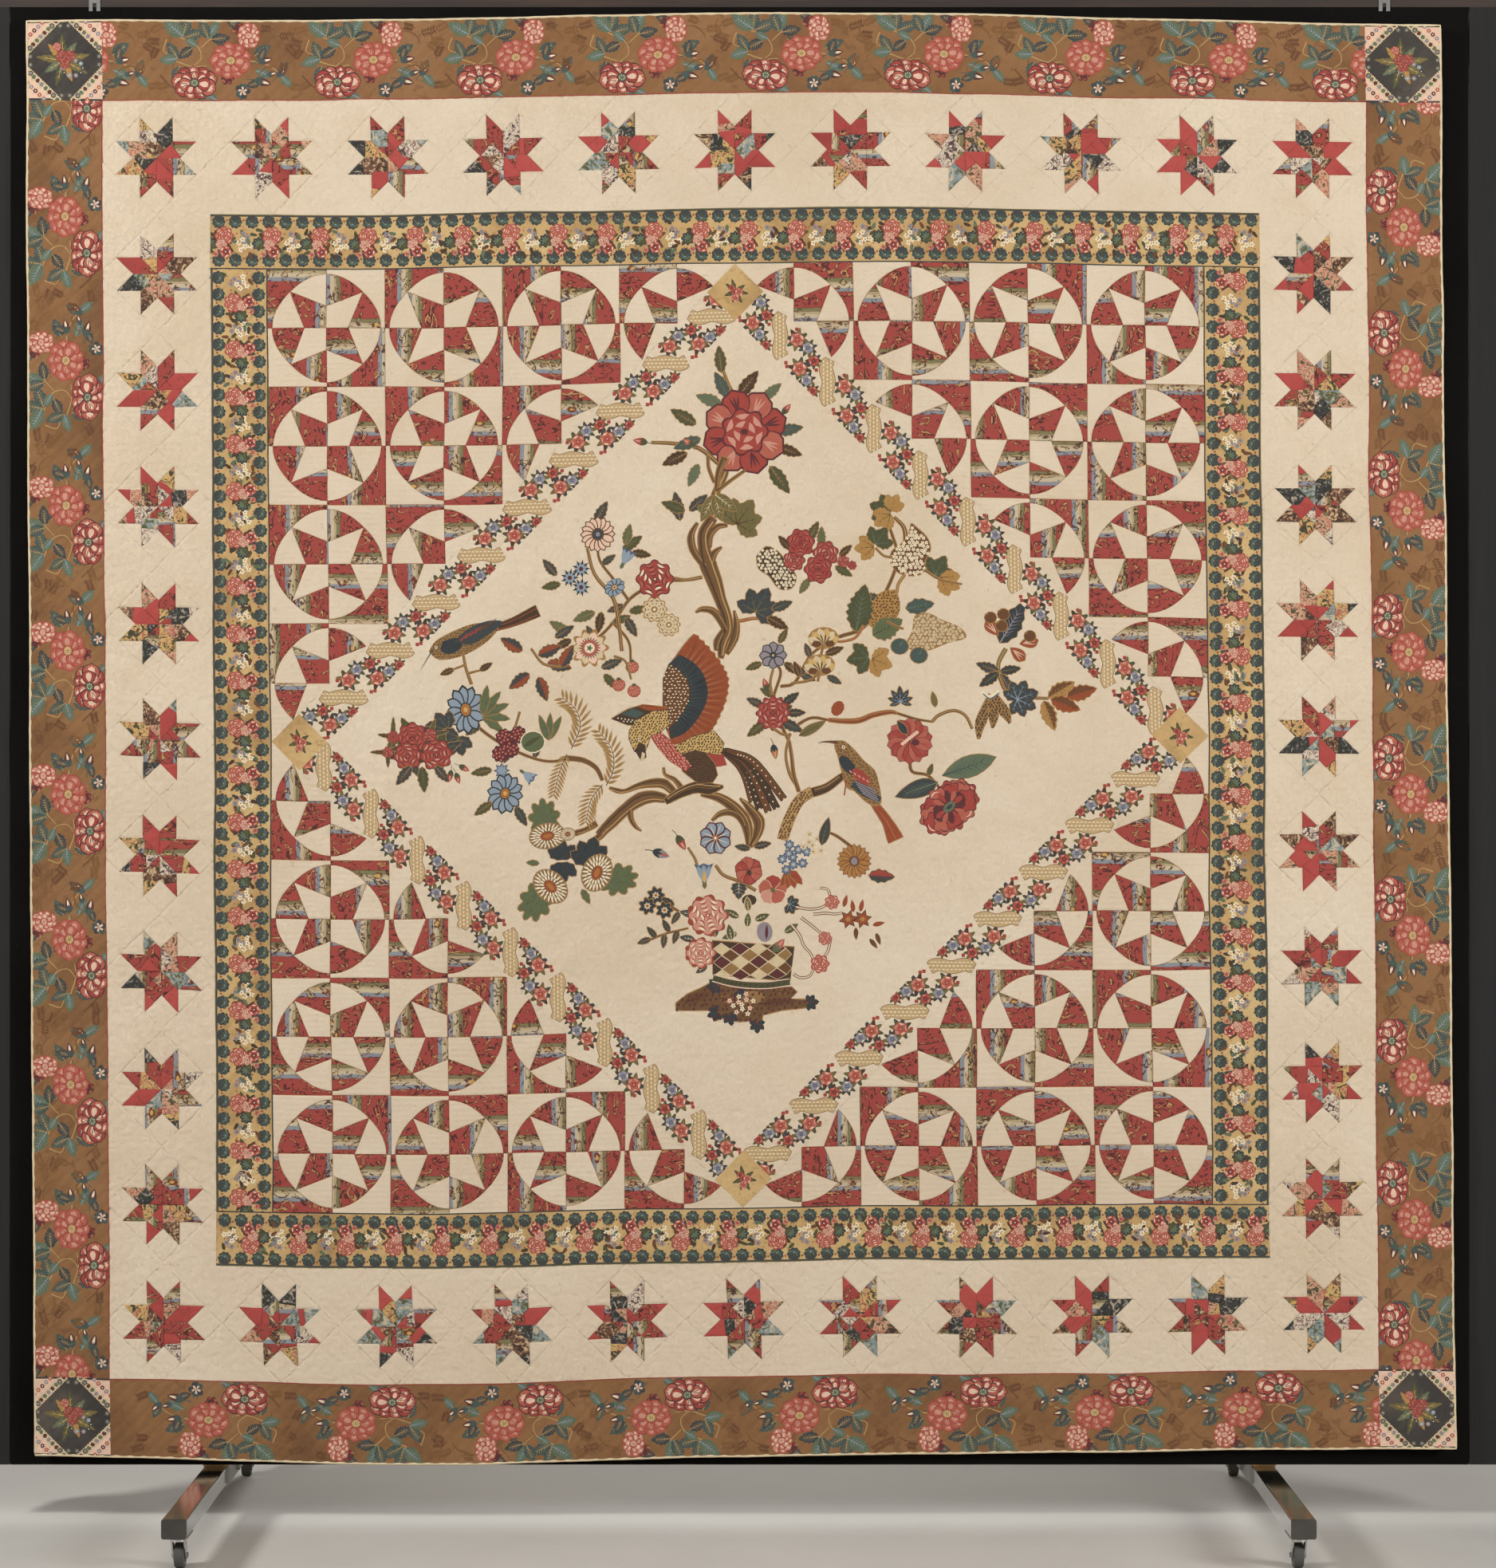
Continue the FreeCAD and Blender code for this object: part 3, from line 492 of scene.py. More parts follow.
def smooth_path(points, per=5):
    """A Catmull-Rom curve through the points."""
    p = np.asarray(points, float)
    p = np.concatenate([2 * p[:1] - p[1:2], p, 2 * p[-1:] - p[-2:-1]])
    out = []
    for a, b, c, d in zip(p, p[1:], p[2:], p[3:]):
        for t in np.arange(per) / per:
            out.append(0.5 * (2 * b + (c - a) * t + (2 * a - 5 * b + 4 * c - d) * t * t
                              + (3 * b - a - 3 * c + d) * t ** 3))
    out.append(p[-2])
    return np.array(out)


def stroke(points, widths, per=5):
    """A band along a smooth path, with a width at each given point."""
    line = smooth_path(points, per)
    w = np.interp(np.linspace(0, 1, len(line)), np.linspace(0, 1, len(widths)), widths) / 2
    along = np.gradient(line, axis=0)
    along /= np.maximum(np.linalg.norm(along, axis=1, keepdims=True), 1e-9)
    side = np.stack([-along[:, 1], along[:, 0]], axis=-1) * w[:, None]
    return np.concatenate([line + side, (line - side)[::-1]])


def grown(outline, by):
    """An outline pushed outwards all round."""
    p = np.asarray(outline, float)
    x, y = p[:, 0], p[:, 1]
    sign = 1 if np.sum(x * np.roll(y, -1) - y * np.roll(x, -1)) > 0 else -1
    along = np.roll(p, -1, axis=0) - np.roll(p, 1, axis=0)
    along /= np.maximum(np.linalg.norm(along, axis=1, keepdims=True), 1e-9)
    return p + by * sign * np.stack([along[:, 1], -along[:, 0]], axis=-1)


class Pen:
    """Draws on a patchwork at a place, turn and size. Turn is in degrees."""

    def __init__(self, cloth, x=0.0, h=0.0, turn=0.0, size=1.0, flip=1):
        a = math.radians(turn)
        self.cloth, self.flip = cloth, flip
        self.m = size * np.array([[math.cos(a), -math.sin(a)], [math.sin(a), math.cos(a)]])
        self.o = np.array([x, h])

    def at(self, x, h, turn=0.0, size=1.0, flip=1):
        """Another pen, placed in this one's terms."""
        pen = Pen(self.cloth, 0, 0, turn, size, flip)
        pen.m = self.m @ np.diag([self.flip, 1]) @ pen.m
        pen.o = self.o + self.m @ np.array([x * self.flip, h])
        return pen

    def shape(self, outline):
        return self.o + (np.asarray(outline) * [self.flip, 1]) @ self.m.T

    def ink(self, outline, tone):
        self.cloth.ink(self.shape(outline), INKS[tone] if isinstance(tone, str) else tone)

    def patch(self, outline, tone, puff=0.0012, edge="edge", margin=0.0014):
        """An applied piece, with a line of stitches round it."""
        if edge:
            self.cloth.ink(self.shape(grown(outline, margin)), INKS[edge])
        self.cloth.piece(self.shape(outline), INKS[tone] if isinstance(tone, str) else tone, puff)


# ---------------------------------------------------------------- printed flowers, leaves and creatures
def crescent(r, thick, span, n=4):
    """A curved sliver centred on +x at radius r, thickest in its middle."""
    a = np.radians(np.linspace(-span / 2, span / 2, n))
    k = r - thick * np.cos(a / np.radians(span / 2) * math.pi / 2)
    inner = np.stack([k * np.cos(a), k * np.sin(a)], axis=-1)[1:-1][::-1]
    return np.concatenate([np.stack([r * np.cos(a), r * np.sin(a)], axis=-1), inner])


def petal_shape(length, width, n=6):
    """A petal from (0, 0) along +x with a round end."""
    t = np.linspace(0, 1, n + 1)
    half = width / 2 * np.sin(math.pi * t ** 1.5) ** 0.6
    half[0] = half[-1] = 0
    top = np.stack([t * length, half], axis=-1)
    return np.concatenate([top, (top * [1, -1])[-2:0:-1]])


def inside(points, outline):
    """Which of the points are inside an outline."""
    x, y = points[:, 0][:, None], points[:, 1][:, None]
    a, b = outline, np.roll(outline, -1, axis=0)
    crosses = (a[:, 1] > y) != (b[:, 1] > y)
    reach = (b[:, 0] - a[:, 0]) * (y - a[:, 1]) / np.where(b[:, 1] == a[:, 1], 1, b[:, 1] - a[:, 1]) + a[:,
                                                            0]
    return np.sum(crosses & (x < reach), axis=1) % 2 == 1


def scatter(outline, gap, seed):
    """Places in rough rows inside an outline."""
    rng = np.random.default_rng(seed)
    outline = np.asarray(outline)
    low, high = outline.min(axis=0), outline.max(axis=0)
    xs, ys = np.meshgrid(np.arange(low[0], high[0], gap), np.arange(low[1], high[1], gap * 0.87))
    xs = xs + (np.arange(len(ys)) % 2 * gap / 2)[:, None]
    places = np.stack([xs.ravel(), ys.ravel()], axis=-1) + rng.uniform(-0.22, 0.22, (xs.size, 2)) * gap
    return places[inside(places, outline)]


def speckle(pen, outline, gap, size, tone, seed=1, turn=0.0, shape=None):
    for i, (x, y) in enumerate(scatter(outline, gap, seed)):
        mark = shape if shape is not None else oval(size, size * 0.62, 6)
        pen.at(x, y, turn + (i * 47 % 60 - 30)).ink(mark, tone)


ROSE_RED = ("red", "rose", "pink", "plum")
ROSE_PINK = ("rose", "pink", "blush", "red")
BLUE_BLOOM = ("lilac", "sky", "ivory", "blue")


def rose(pen, r, tones=ROSE_RED, lobes=9, turn=0.0):
    base, petal, light, dark = tones
    pen.ink(scalloped(r * 1.07, lobes, 0.12), dark)
    pen.ink(scalloped(r, lobes, 0.12), base)
    for ring, (k, count) in enumerate(((0.88, lobes), (0.62, 6), (0.38, 4))):
        for i in range(count):
            a = turn + 360 * (i + 0.5 * ring) / count
            pen.at(0, 0, a).ink(crescent(k * r, 0.24 * r, 300 / count), dark)
            pen.at(0, 0, a).ink(crescent(k * r, 0.15 * r, 270 / count), light if (i + ring) % 2 else petal)
    pen.ink(oval(0.15 * r, 0.12 * r, 7), dark)
    pen.ink(oval(0.07 * r, 0.06 * r, 5), light)


def small_rose(pen, r, tones=ROSE_RED, turn=0.0):
    base, petal, light, dark = tones
    pen.ink(scalloped(r, 6, 0.14, 4), base)
    for i in range(5):
        tone = light if i % 2 else petal
        pen.at(0, 0, turn + 72 * i).ink(crescent(0.85 * r, 0.3 * r, 58), tone)
    pen.ink(scalloped(0.36 * r, 4), dark)
    pen.ink(oval(0.16 * r, 0.14 * r, 5), petal)


def peony(pen, r, tones=ROSE_RED, turn=0.0):
    """A full flower seen from the side: an open skirt of petals round a globe."""
    base, petal, light, dark = tones
    for i in range(8):
        p = pen.at(0, 0, turn + 45 * i + 7)
        p.at(0.18 * r, 0).ink(petal_shape(0.9 * r, 0.74 * r), dark)
        p.at(0.20 * r, 0).ink(petal_shape(0.83 * r, 0.66 * r), petal if i % 2 else base)
        for j in (-1, 0, 1):
            p.at(0.5 * r, 0, 16 * j).ink(leaf_shape(0.42 * r, 0.055 * r, n=3), light if i % 2 else dark)
    pen.ink(scalloped(0.56 * r, 7, 0.14), dark)
    pen.ink(scalloped(0.51 * r, 7, 0.14), base)
    for k, count in ((0.44, 6), (0.26, 4)):
        for i in range(count):
            pen.at(0, 0, turn + 360 * i / count + 60 * k).ink(crescent(k * r, 0.15 * r, 280 / count), light)
    pen.ink(oval(0.10 * r, 0.08 * r, 6), dark)


def daisy(pen, r, petals, tone, rim, heart="rust", eye="ivory", width=0.9, squash=1.0, core=0.3):
    wide = 2 * r * math.sin(math.pi / petals) * width
    for i in range(petals):
        a = math.tau * i / petals
        k = math.hypot(math.cos(a), squash * math.sin(a))
        p = pen.at(0, 0, math.degrees(math.atan2(squash * math.sin(a), math.cos(a))))
        p.ink(petal_shape(k * r, wide), rim)
        p.at(0.16 * r, 0).ink(petal_shape(k * r * 0.76, wide * 0.74), tone)
    pen.ink(oval(core * r, core * r * squash, 10), rim)
    pen.ink(oval(core * r * 0.82, core * r * squash * 0.82, 10), heart)
    pen.ink(oval(core * r * 0.36, core * r * squash * 0.36, 7), eye)


def leaf(pen, length, width, tone="moss", vein="olive", teeth=0, ribs=4, edge=None, fat=0.42):
    shape = leaf_shape(length, width, teeth, fat=fat)
    if edge:
        pen.ink(grown(shape, 0.0016), edge)
    pen.ink(shape, tone)
    if not vein:
        return
    w = 0.012 * length + 0.0004
    pen.ink([(0, w), (0, -w), (0.94 * length, 0)], vein)
    for i in range(ribs):
        at = length * (0.14 + 0.62 * i / ribs)
        reach = 0.36 * width * math.sin(math.pi * (at / length) ** 0.75)
        for s in (-1, 1):
            pen.ink([(at, 0), (at + 1.6 * w, 0), (at + 0.16 * length, s * reach)], vein)


def two_tone_leaf(pen, length, width, tone, other, teeth=5, edge="edge"):
    """A leaf printed dark on one half and light on the other."""
    leaf(pen, length, width, tone, None, teeth, edge=edge)
    shape = leaf_shape(length * 0.96, width * 0.9, teeth)
    half = shape[: len(shape) // 2 + 1]
    pen.ink(half, other)
    w = 0.012 * length + 0.0004
    for i in range(5):
        at = length * (0.1 + 0.14 * i)
        reach = 0.34 * width * math.sin(math.pi * (at / length) ** 0.8)
        pen.ink([(at, 0), (at + 1.5 * w, 0), (at + 0.15 * length, -reach)], other)
        pen.ink([(at, 0), (at + 1.5 * w, 0), (at + 0.15 * length, reach)], tone)


def palmate(pen, r, tone="sage", vein="green", lobes=5, spread=62, teeth=3, edge="edge", fat=0.5,
            width=0.62):
    middle = (lobes - 1) / 2
    lobe = [(r * (1 - 0.10 * abs(i - middle)), (i - middle) * spread) for i in range(lobes)]
    if edge:
        for length, turn in lobe:
            shape = leaf_shape(length, width * length, teeth, fat=fat)
            pen.at(0, 0, turn).ink(grown(shape, 0.0016), edge)
    for length, turn in lobe:
        pen.at(0, 0, turn).ink(leaf_shape(length, width * length, teeth, fat=fat), tone)
    for length, turn in lobe:
        p = pen.at(0, 0, turn)
        w = 0.014 * r + 0.0003
        p.ink([(0, w), (0, -w), (0.9 * length, 0)], vein)
        for at in (0.35, 0.6):
            for s in (-1, 1):
                p.ink([(at * length, 0), (at * length + w, 0), ((at + 0.18) * length, s * 0.2 * length)],
                      vein)


def bud(pen, length, tone="red", cup="moss", light="pink"):
    pen.ink(leaf_shape(length, 0.48 * length, n=7), tone)
    pen.at(0.3 * length, 0).ink(leaf_shape(0.6 * length, 0.16 * length, n=4), light)
    for a in (-26, 0, 26):
        pen.at(-0.08 * length, 0, a).ink(leaf_shape(0.62 * length, 0.2 * length, n=4), cup)
    pen.ink(stroke([(-0.5 * length, -0.08 * length), (-0.2 * length, 0), (0.1 * length, 0)],
                   (0.05 * length,), 3), cup)


def trumpet(pen, length, tone="sky", dark="blue", cup="green"):
    """A bell flower opening towards +x."""
    cone = [(0, 0.06), (0.35, 0.11), (0.7, 0.26), (1, 0.42), (0.93, 0.2), (1.02, 0), (0.93, -0.2),
            (1, -0.42),
            (0.7, -0.26), (0.35, -0.11), (0, -0.06)]
    pen.ink(np.array(cone) * length, dark)
    for a in (-20, 0, 20):
        pen.at(0.18 * length, 0, a).ink(petal_shape(0.78 * length, 0.22 * length), tone)
    pen.at(-0.06 * length, 0).ink(leaf_shape(0.35 * length, 0.2 * length, n=4), cup)


def floret(pen, r, tone="ivory", heart="amber"):
    pen.ink(spiky(r, 5, 0.42), tone)
    pen.ink(oval(0.24 * r, 0.24 * r, 4), heart)


def blossom_mass(pen, outline, ground="brown", tone="ivory", gap=0.0085, r=0.0042, heart="amber", seed=3,
                 edge="edge"):
    """A cut-out cluster crowded with small pale flowers."""
    if edge:
        pen.ink(grown(outline, 0.002), edge)
    pen.ink(outline, ground)
    for i, (x, y) in enumerate(scatter(outline, gap, seed)):
        floret(pen.at(x, y, i * 37), r, tone, heart)


def berries(pen, r, count=14, tone="red", light="pink", dark="plum"):
    pen.ink(scalloped(r, 9, 0.1), dark)
    for i in range(count):
        a, k = 2.4 * i, 0.82 * r * math.sqrt((i + 0.4) / count)
        pen.at(k * math.cos(a), k * math.sin(a)).ink(oval(0.17 * r, 0.17 * r, 7), tone)
        pen.at(k * math.cos(a) - 0.04 * r, k * math.sin(a) + 0.05 * r).ink(oval(0.06 * r, 0.06 * r, 4),
                                                            light)


def strawberry(pen, r, tone="rose"):
    pen.ink(oval(r * 1.06, r, 11), "rust")
    pen.ink(oval(r * 0.94, r * 0.88, 11), tone)
    speckle(pen, oval(r * 0.85, r * 0.8, 9), r * 0.42, r * 0.09, "blush", 5)
    for a in (60, 90, 120):
        pen.at(0, r * 0.66, a).ink(leaf_shape(0.62 * r, 0.26 * r, n=3), "moss")


def twig(pen, points, widths, tone="bark", edge=None):
    line = stroke(points, widths, 4)
    if edge:
        pen.ink(grown(line, 0.0014), edge)
    pen.ink(line, tone)


def cluster(pen, seed, spread=0.03, count=5, r=0.009, tones=(ROSE_RED, ROSE_PINK), leaves="moss"):
    """A small bunch of roses over leaves."""
    rng = np.random.default_rng(seed)
    for i in range(count + 3):
        leaf(pen.at(0, 0, 360 * i / (count + 3) + rng.uniform(-12, 12)), spread * rng.uniform(0.9, 1.25),
             spread * 0.36, leaves, "olive", 3, 3)
    for i in range(count):
        a, k = 2.4 * i + seed, spread * 0.6 * math.sqrt(i / count)
        small_rose(pen.at(k * math.cos(a), k * math.sin(a), 50 * i), r * rng.uniform(0.8, 1.1),
                   tones[i % len(tones)])


def frond(pen, path, width, pairs):
    """A feathery frond along a curved rib: tan leaflets, each with a dark vein, that point to its tip."""
    line = smooth_path(path, 8)
    run = np.concatenate([[0], np.cumsum(np.hypot(*np.diff(line, axis=0).T))])
    at = np.linspace(0.04, 0.98, pairs) * run[-1]
    xs, hs = np.interp(at, run, line[:, 0]), np.interp(at, run, line[:, 1])
    turns = np.degrees(np.arctan2(np.gradient(hs), np.gradient(xs)))
    gap = run[-1] / pairs
    for tone, fat, reach_share in (("edge", 0.62, 1.05), ("straw", 0.40, 1.0), ("brown", 0.12, 0.84)):
        for i in range(pairs):
            reach = width * (0.40 + 0.60 * math.sin(math.pi * min(0.9,
                                                            0.16 + 0.8 * i / pairs))) * reach_share
            for s in (-1, 1):
                pen.at(xs[i], hs[i], turns[i] + 46 * s).ink(leaf_shape(reach, fat * gap, n=4), tone)
    pen.ink(stroke(path, (0.0020, 0.0012), 6), "umber")


def limbs(pen, rows, tone="bark"):
    """Branches from (points, widths), merged where they meet, with grain along them."""
    for points, widths in rows:
        pen.ink(grown(stroke(points, widths, 6), 0.0020), "edge")
    for points, widths in rows:
        pen.ink(stroke(points, widths, 6), tone)
    for points, widths in rows:
        wide = max(widths)
        for side, thin, streak in ((-0.24, 0.10, "umber"), (0.02, 0.07, "sepia"), (0.25, 0.09, "straw")):
            line = smooth_path(points, 6)
            along = np.gradient(line, axis=0)
            along /= np.maximum(np.linalg.norm(along, axis=1, keepdims=True), 1e-9)
            w = np.interp(np.linspace(0, 1, len(line)), np.linspace(0, 1, len(widths)), widths)
            shifted = line + side * np.stack([-along[:, 1], along[:, 0]], axis=-1) * w[:, None]
            pen.ink(stroke(shifted[1:-1], [thin * wide], 1), streak)


def protea(pen, rx, ry, heart="orange"):
    """A flower from the side: rings of pale pointed petals round a long orange heart."""
    pen.ink(oval(rx * 1.08, ry * 1.08, 18), "tan")
    for k, count in ((1.0, 24), (0.68, 17)):
        for i in range(count):
            a = math.tau * (i + 0.5 * (k < 1)) / count
            reach = k * math.hypot(rx * math.cos(a), ry * math.sin(a))
            p = pen.at(0, 0, math.degrees(math.atan2(ry * math.sin(a), rx * math.cos(a)))).at(0.42 * reach,
                                                            0)
            p.ink(leaf_shape(0.68 * reach, 0.26 * ry, n=4), "brown")
            p.at(0.10 * reach, 0).ink(leaf_shape(0.54 * reach, 0.15 * ry, n=4), "ivory")
    pen.ink(oval(rx * 0.42, ry * 0.34, 12), "rust")
    pen.ink(oval(rx * 0.28, ry * 0.18, 10), heart)


def lobed(pen, r, tone="green", vein="sage"):
    """A round-lobed leaf growing towards +x."""
    shape = scalloped(r, 9, 0.22) * [1.12, 0.86]
    pen.ink(grown(shape, 0.0022), "edge")
    pen.ink(shape, tone)
    for a in (-52, -26, 0, 26, 52):
        pen.at(-0.8 * r, 0, a * 0.7).ink(leaf_shape(1.6 * r * math.cos(math.radians(a)), 0.05 * r, n=3),
                                         vein)


def fringed(pen, r, count, tones, spread=360.0, start=0.0, width=0.5):
    """Petals with ragged ends, fanned round a point."""
    for i in range(count):
        p = pen.at(0, 0, start + spread * (i + 0.5) / count)
        petal = petal_shape(r, width * r, 7)
        p.ink(grown(petal, 0.0012), "plum")
        p.ink(petal, tones[i % len(tones)])
        for j in (-1, 0, 1):
            p.at(0.4 * r, 0, 9 * j).ink(leaf_shape(0.58 * r, 0.030 * r, n=3), tones[(i + 1) % len(tones)])


# ---------------------------------------------------------------- the medallion's applied pictures
def red_bunch(pen, spots, seed=1, leaves=("slate", "moss", "umber"), reach=0.034):
    """Roses in a bunch. Each spot is (x, h, radius)."""
    rng = np.random.default_rng(seed)
    for x, h, r in spots:
        for i in range(4):
            turn = 90 * i + rng.uniform(-30, 30)
            leaf(pen.at(x, h, turn), r + reach * rng.uniform(0.5, 0.9), r * 0.62, leaves[i % len(leaves)],
                 "olive", 4, 4, "edge")
    for i, (x, h, r) in enumerate(spots):
        rose(pen.at(x, h, 50 * i), r, ROSE_RED if i % 3 else ("red", "rose", "rose", "plum"), 8)


def leaf_spray(pen, leaves, tones=("moss", "teal", "umber", "sage"), edge="edge"):
    """Leaves from (x, h, turn, length)."""
    for i, (x, h, turn, length) in enumerate(leaves):
        leaf(pen.at(x, h, turn), length, length * 0.40, tones[i % len(tones)], "olive" if i % 2 else "tan",
             5, 5, edge)


def great_bird(pen):
    """A long-tailed bird stooping on a branch with its wings up."""
    for i, (x, h) in enumerate(((0.027, -0.139), (0.042, -0.154), (0.060, -0.160), (0.077, -0.153),
                                (0.092, -0.134))):
        feather = stroke([(-0.038 + 0.003 * i, -0.030), (0.006 + 0.006 * i, -0.072 + 0.004 * i), (x, h)],
                         (0.008, 0.015, 0.013), 6)
        pen.ink(grown(feather, 0.0016), "ink")
        pen.ink(feather, ("brown", "umber")[i % 2])
        line = smooth_path([(-0.028 + 0.003 * i, -0.036), (0.006 + 0.006 * i, -0.072 + 0.004 * i), (x, h)],
                           7)
        for k, (u, v) in enumerate(line[2:]):
            pen.at(u, v).ink(oval(0.0017, 0.0017, 6), "ivory")
    pen.ink([(-0.070, -0.036), (-0.034, -0.038), (-0.026, -0.062), (-0.050, -0.066)], "red")
    thigh = [(-0.121, -0.040), (-0.092, -0.027), (-0.070, -0.036), (-0.052, -0.058), (-0.046, -0.082),
             (-0.056, -0.097),
             (-0.086, -0.099), (-0.119, -0.072)]
    pen.ink(grown(thigh, 0.0016), "edge")
    pen.ink(thigh, "umber")
    speckle(pen, thigh, 0.0060, 0.0022, "brown", 4, -40)
    fan = smooth_path([(-0.136, -0.018), (-0.096, -0.010), (-0.062, 0.008), (-0.042, 0.040),
                       (-0.027, 0.080),
                       (-0.024, 0.118), (-0.038, 0.150), (-0.064, 0.184), (-0.092, 0.212)], 5)
    ragged = fan + 0.0022 * np.where(np.arange(len(fan)) % 2, 1, -1)[:, None] * np.array([0.8, 0.4])
    wing = np.concatenate([ragged, [(-0.112, 0.192), (-0.140, 0.155), (-0.156, 0.090), (-0.152, 0.020)]])
    pen.ink(grown(wing, 0.0018), "edge")
    pen.ink(wing, "rust")
    heart = np.array([-0.160, 0.075])
    for i, p in enumerate(fan[1:-1]):
        a = heart + (p - heart) * 0.50
        side = np.array([-(p - heart)[1], (p - heart)[0]]) * 0.012
        pen.ink([a, a + side, p], "plum" if i % 2 else "straw")
    band = smooth_path([(-0.142, -0.006), (-0.112, 0.006), (-0.084, 0.038), (-0.066, 0.080),
                        (-0.072, 0.122),
                        (-0.094, 0.152), (-0.124, 0.170)], 4)
    pen.ink(np.concatenate([band, [(-0.148, 0.150), (-0.154, 0.060)]]), "navy")
    for i, p in enumerate(band[1:-1]):
        a = heart + (p - heart) * 0.58
        side = np.array([-(p - heart)[1], (p - heart)[0]]) * 0.02
        pen.ink([a, a + side, heart + (p - heart) * 0.96], "teal")
    inner = smooth_path([(-0.150, 0.012), (-0.128, 0.034), (-0.106, 0.072), (-0.106, 0.108),
                         (-0.124, 0.136),
                         (-0.146, 0.150)], 4)
    patch = np.concatenate([inner, [(-0.158, 0.120), (-0.158, 0.040)]])
    pen.ink(grown(patch, 0.0012), "ink")
    pen.ink(patch, "brown")
    speckle(pen, patch, 0.0078, 0.0021, "ivory", 6)
    small = [(-0.266, 0.040), (-0.232, 0.058), (-0.200, 0.067), (-0.150, 0.060), (-0.152, 0.050),
             (-0.198, 0.025), (-0.232, 0.027)]
    pen.ink(grown(small, 0.0018), "edge")
    pen.ink(small, "umber")
    pen.ink([(-0.246, 0.049), (-0.222, 0.060), (-0.196, 0.050), (-0.212, 0.040)], "teal")
    pen.ink([(-0.212, 0.064), (-0.192, 0.067), (-0.150, 0.060), (-0.152, 0.052), (-0.190, 0.055)], "rust")
    for k in range(8):
        pen.at(-0.252 + 0.0075 * k, 0.041 - 0.0012 * k).ink(oval(0.0017, 0.0017, 6), "ivory")
    for k in range(6):
        pen.at(-0.240 + 0.0075 * k, 0.0345 - 0.0008 * k).ink(oval(0.0015, 0.0015, 6), "ivory")
    rump = [(-0.134, -0.024), (-0.100, -0.004), (-0.066, 0.006), (-0.052, 0.009), (-0.032, -0.016),
            (-0.038, -0.040),
            (-0.060, -0.037), (-0.092, -0.030), (-0.119, -0.038)]
    body = [(-0.228, 0.016), (-0.212, 0.036), (-0.180, 0.053), (-0.150, 0.055), (-0.145, 0.026),
            (-0.162, 0.010),
            (-0.184, 0.004), (-0.190, -0.016), (-0.200, -0.038), (-0.218, -0.028), (-0.229, -0.002)]
    breast = stroke([(-0.180, 0.012), (-0.158, -0.014), (-0.134, -0.042), (-0.106, -0.068)],
                    (0.020, 0.030, 0.030, 0.016))
    pen.ink(breast, "red")
    speckle(pen, breast, 0.0065, 0.0028, "pink", 2, -50)
    for shape in (rump, body):
        pen.ink(grown(shape, 0.0014), "umber")
        pen.ink(shape, "yellow")
        speckle(pen, shape, 0.0062, 0.0026, "umber", 7, 60)
    pen.ink([(-0.218, -0.026), (-0.206, -0.010), (-0.196, -0.016), (-0.193, -0.042), (-0.204, -0.050)],
            "umber")
    pen.ink([(-0.206, -0.048), (-0.198, -0.050), (-0.196, -0.034), (-0.202, -0.030)], "paper")
    pen.at(-0.208, -0.004).ink(oval(0.0030, 0.0036, 8), "ivory")
    pen.at(-0.208, -0.004).ink(oval(0.0016, 0.0020, 6), "ink")


def perching_bird(pen):
    """A small bird with a sharp beak, striped wings and a straight tail, facing left and down."""
    tail = stroke([(0.085, 0.036), (0.130, 0.050), (0.182, 0.072)], (0.012, 0.017, 0.025), 5)
    pen.ink(grown(tail, 0.0016), "edge")
    pen.ink(tail, "umber")
    for v in (-0.004, 0.003):
        pen.ink(stroke([(0.090, 0.036 + v), (0.132, 0.050 + v * 1.4), (0.180, 0.071 + v * 2)], (0.0016,),
                       4), "rust")
    body = smooth_path([(-0.048, -0.008), (-0.034, 0.012), (0.0, 0.030), (0.050, 0.046), (0.096, 0.044),
                        (0.084, 0.020),
                        (0.052, -0.004), (0.014, -0.020), (-0.028, -0.024), (-0.048, -0.008)], 3)
    pen.ink(grown(body, 0.0016), "edge")
    pen.ink(body, "tan")
    speckle(pen, body, 0.0060, 0.0022, "umber", 3, 30)
    pen.ink([(-0.046, -0.010), (-0.032, 0.006), (-0.070, -0.050)], "slate")
    pen.ink(smooth_path([(-0.020, 0.012), (0.010, 0.018), (0.022, 0.002), (0.0, -0.014), (-0.024, -0.008),
                         (-0.020, 0.012)], 3), "navy")
    wing = smooth_path([(0.006, 0.010), (0.030, 0.034), (0.074, 0.052), (0.108, 0.050), (0.080, 0.026),
                        (0.040, 0.004), (0.006, 0.010)], 3)
    pen.ink(wing, "slate")
    for k in range(7):
        pen.ink(stroke([(0.018 + 0.010 * k, 0.012 + 0.005 * k), (0.034 + 0.010 * k, 0.028 + 0.005 * k)],
                       (0.0036, 0.001), 2),
                "red" if k < 4 else "brown")
    pen.at(-0.034, 0.0).ink(oval(0.0032, 0.0032, 8), "ivory")
    pen.at(-0.034, 0.0).ink(oval(0.0016, 0.0016, 6), "ink")


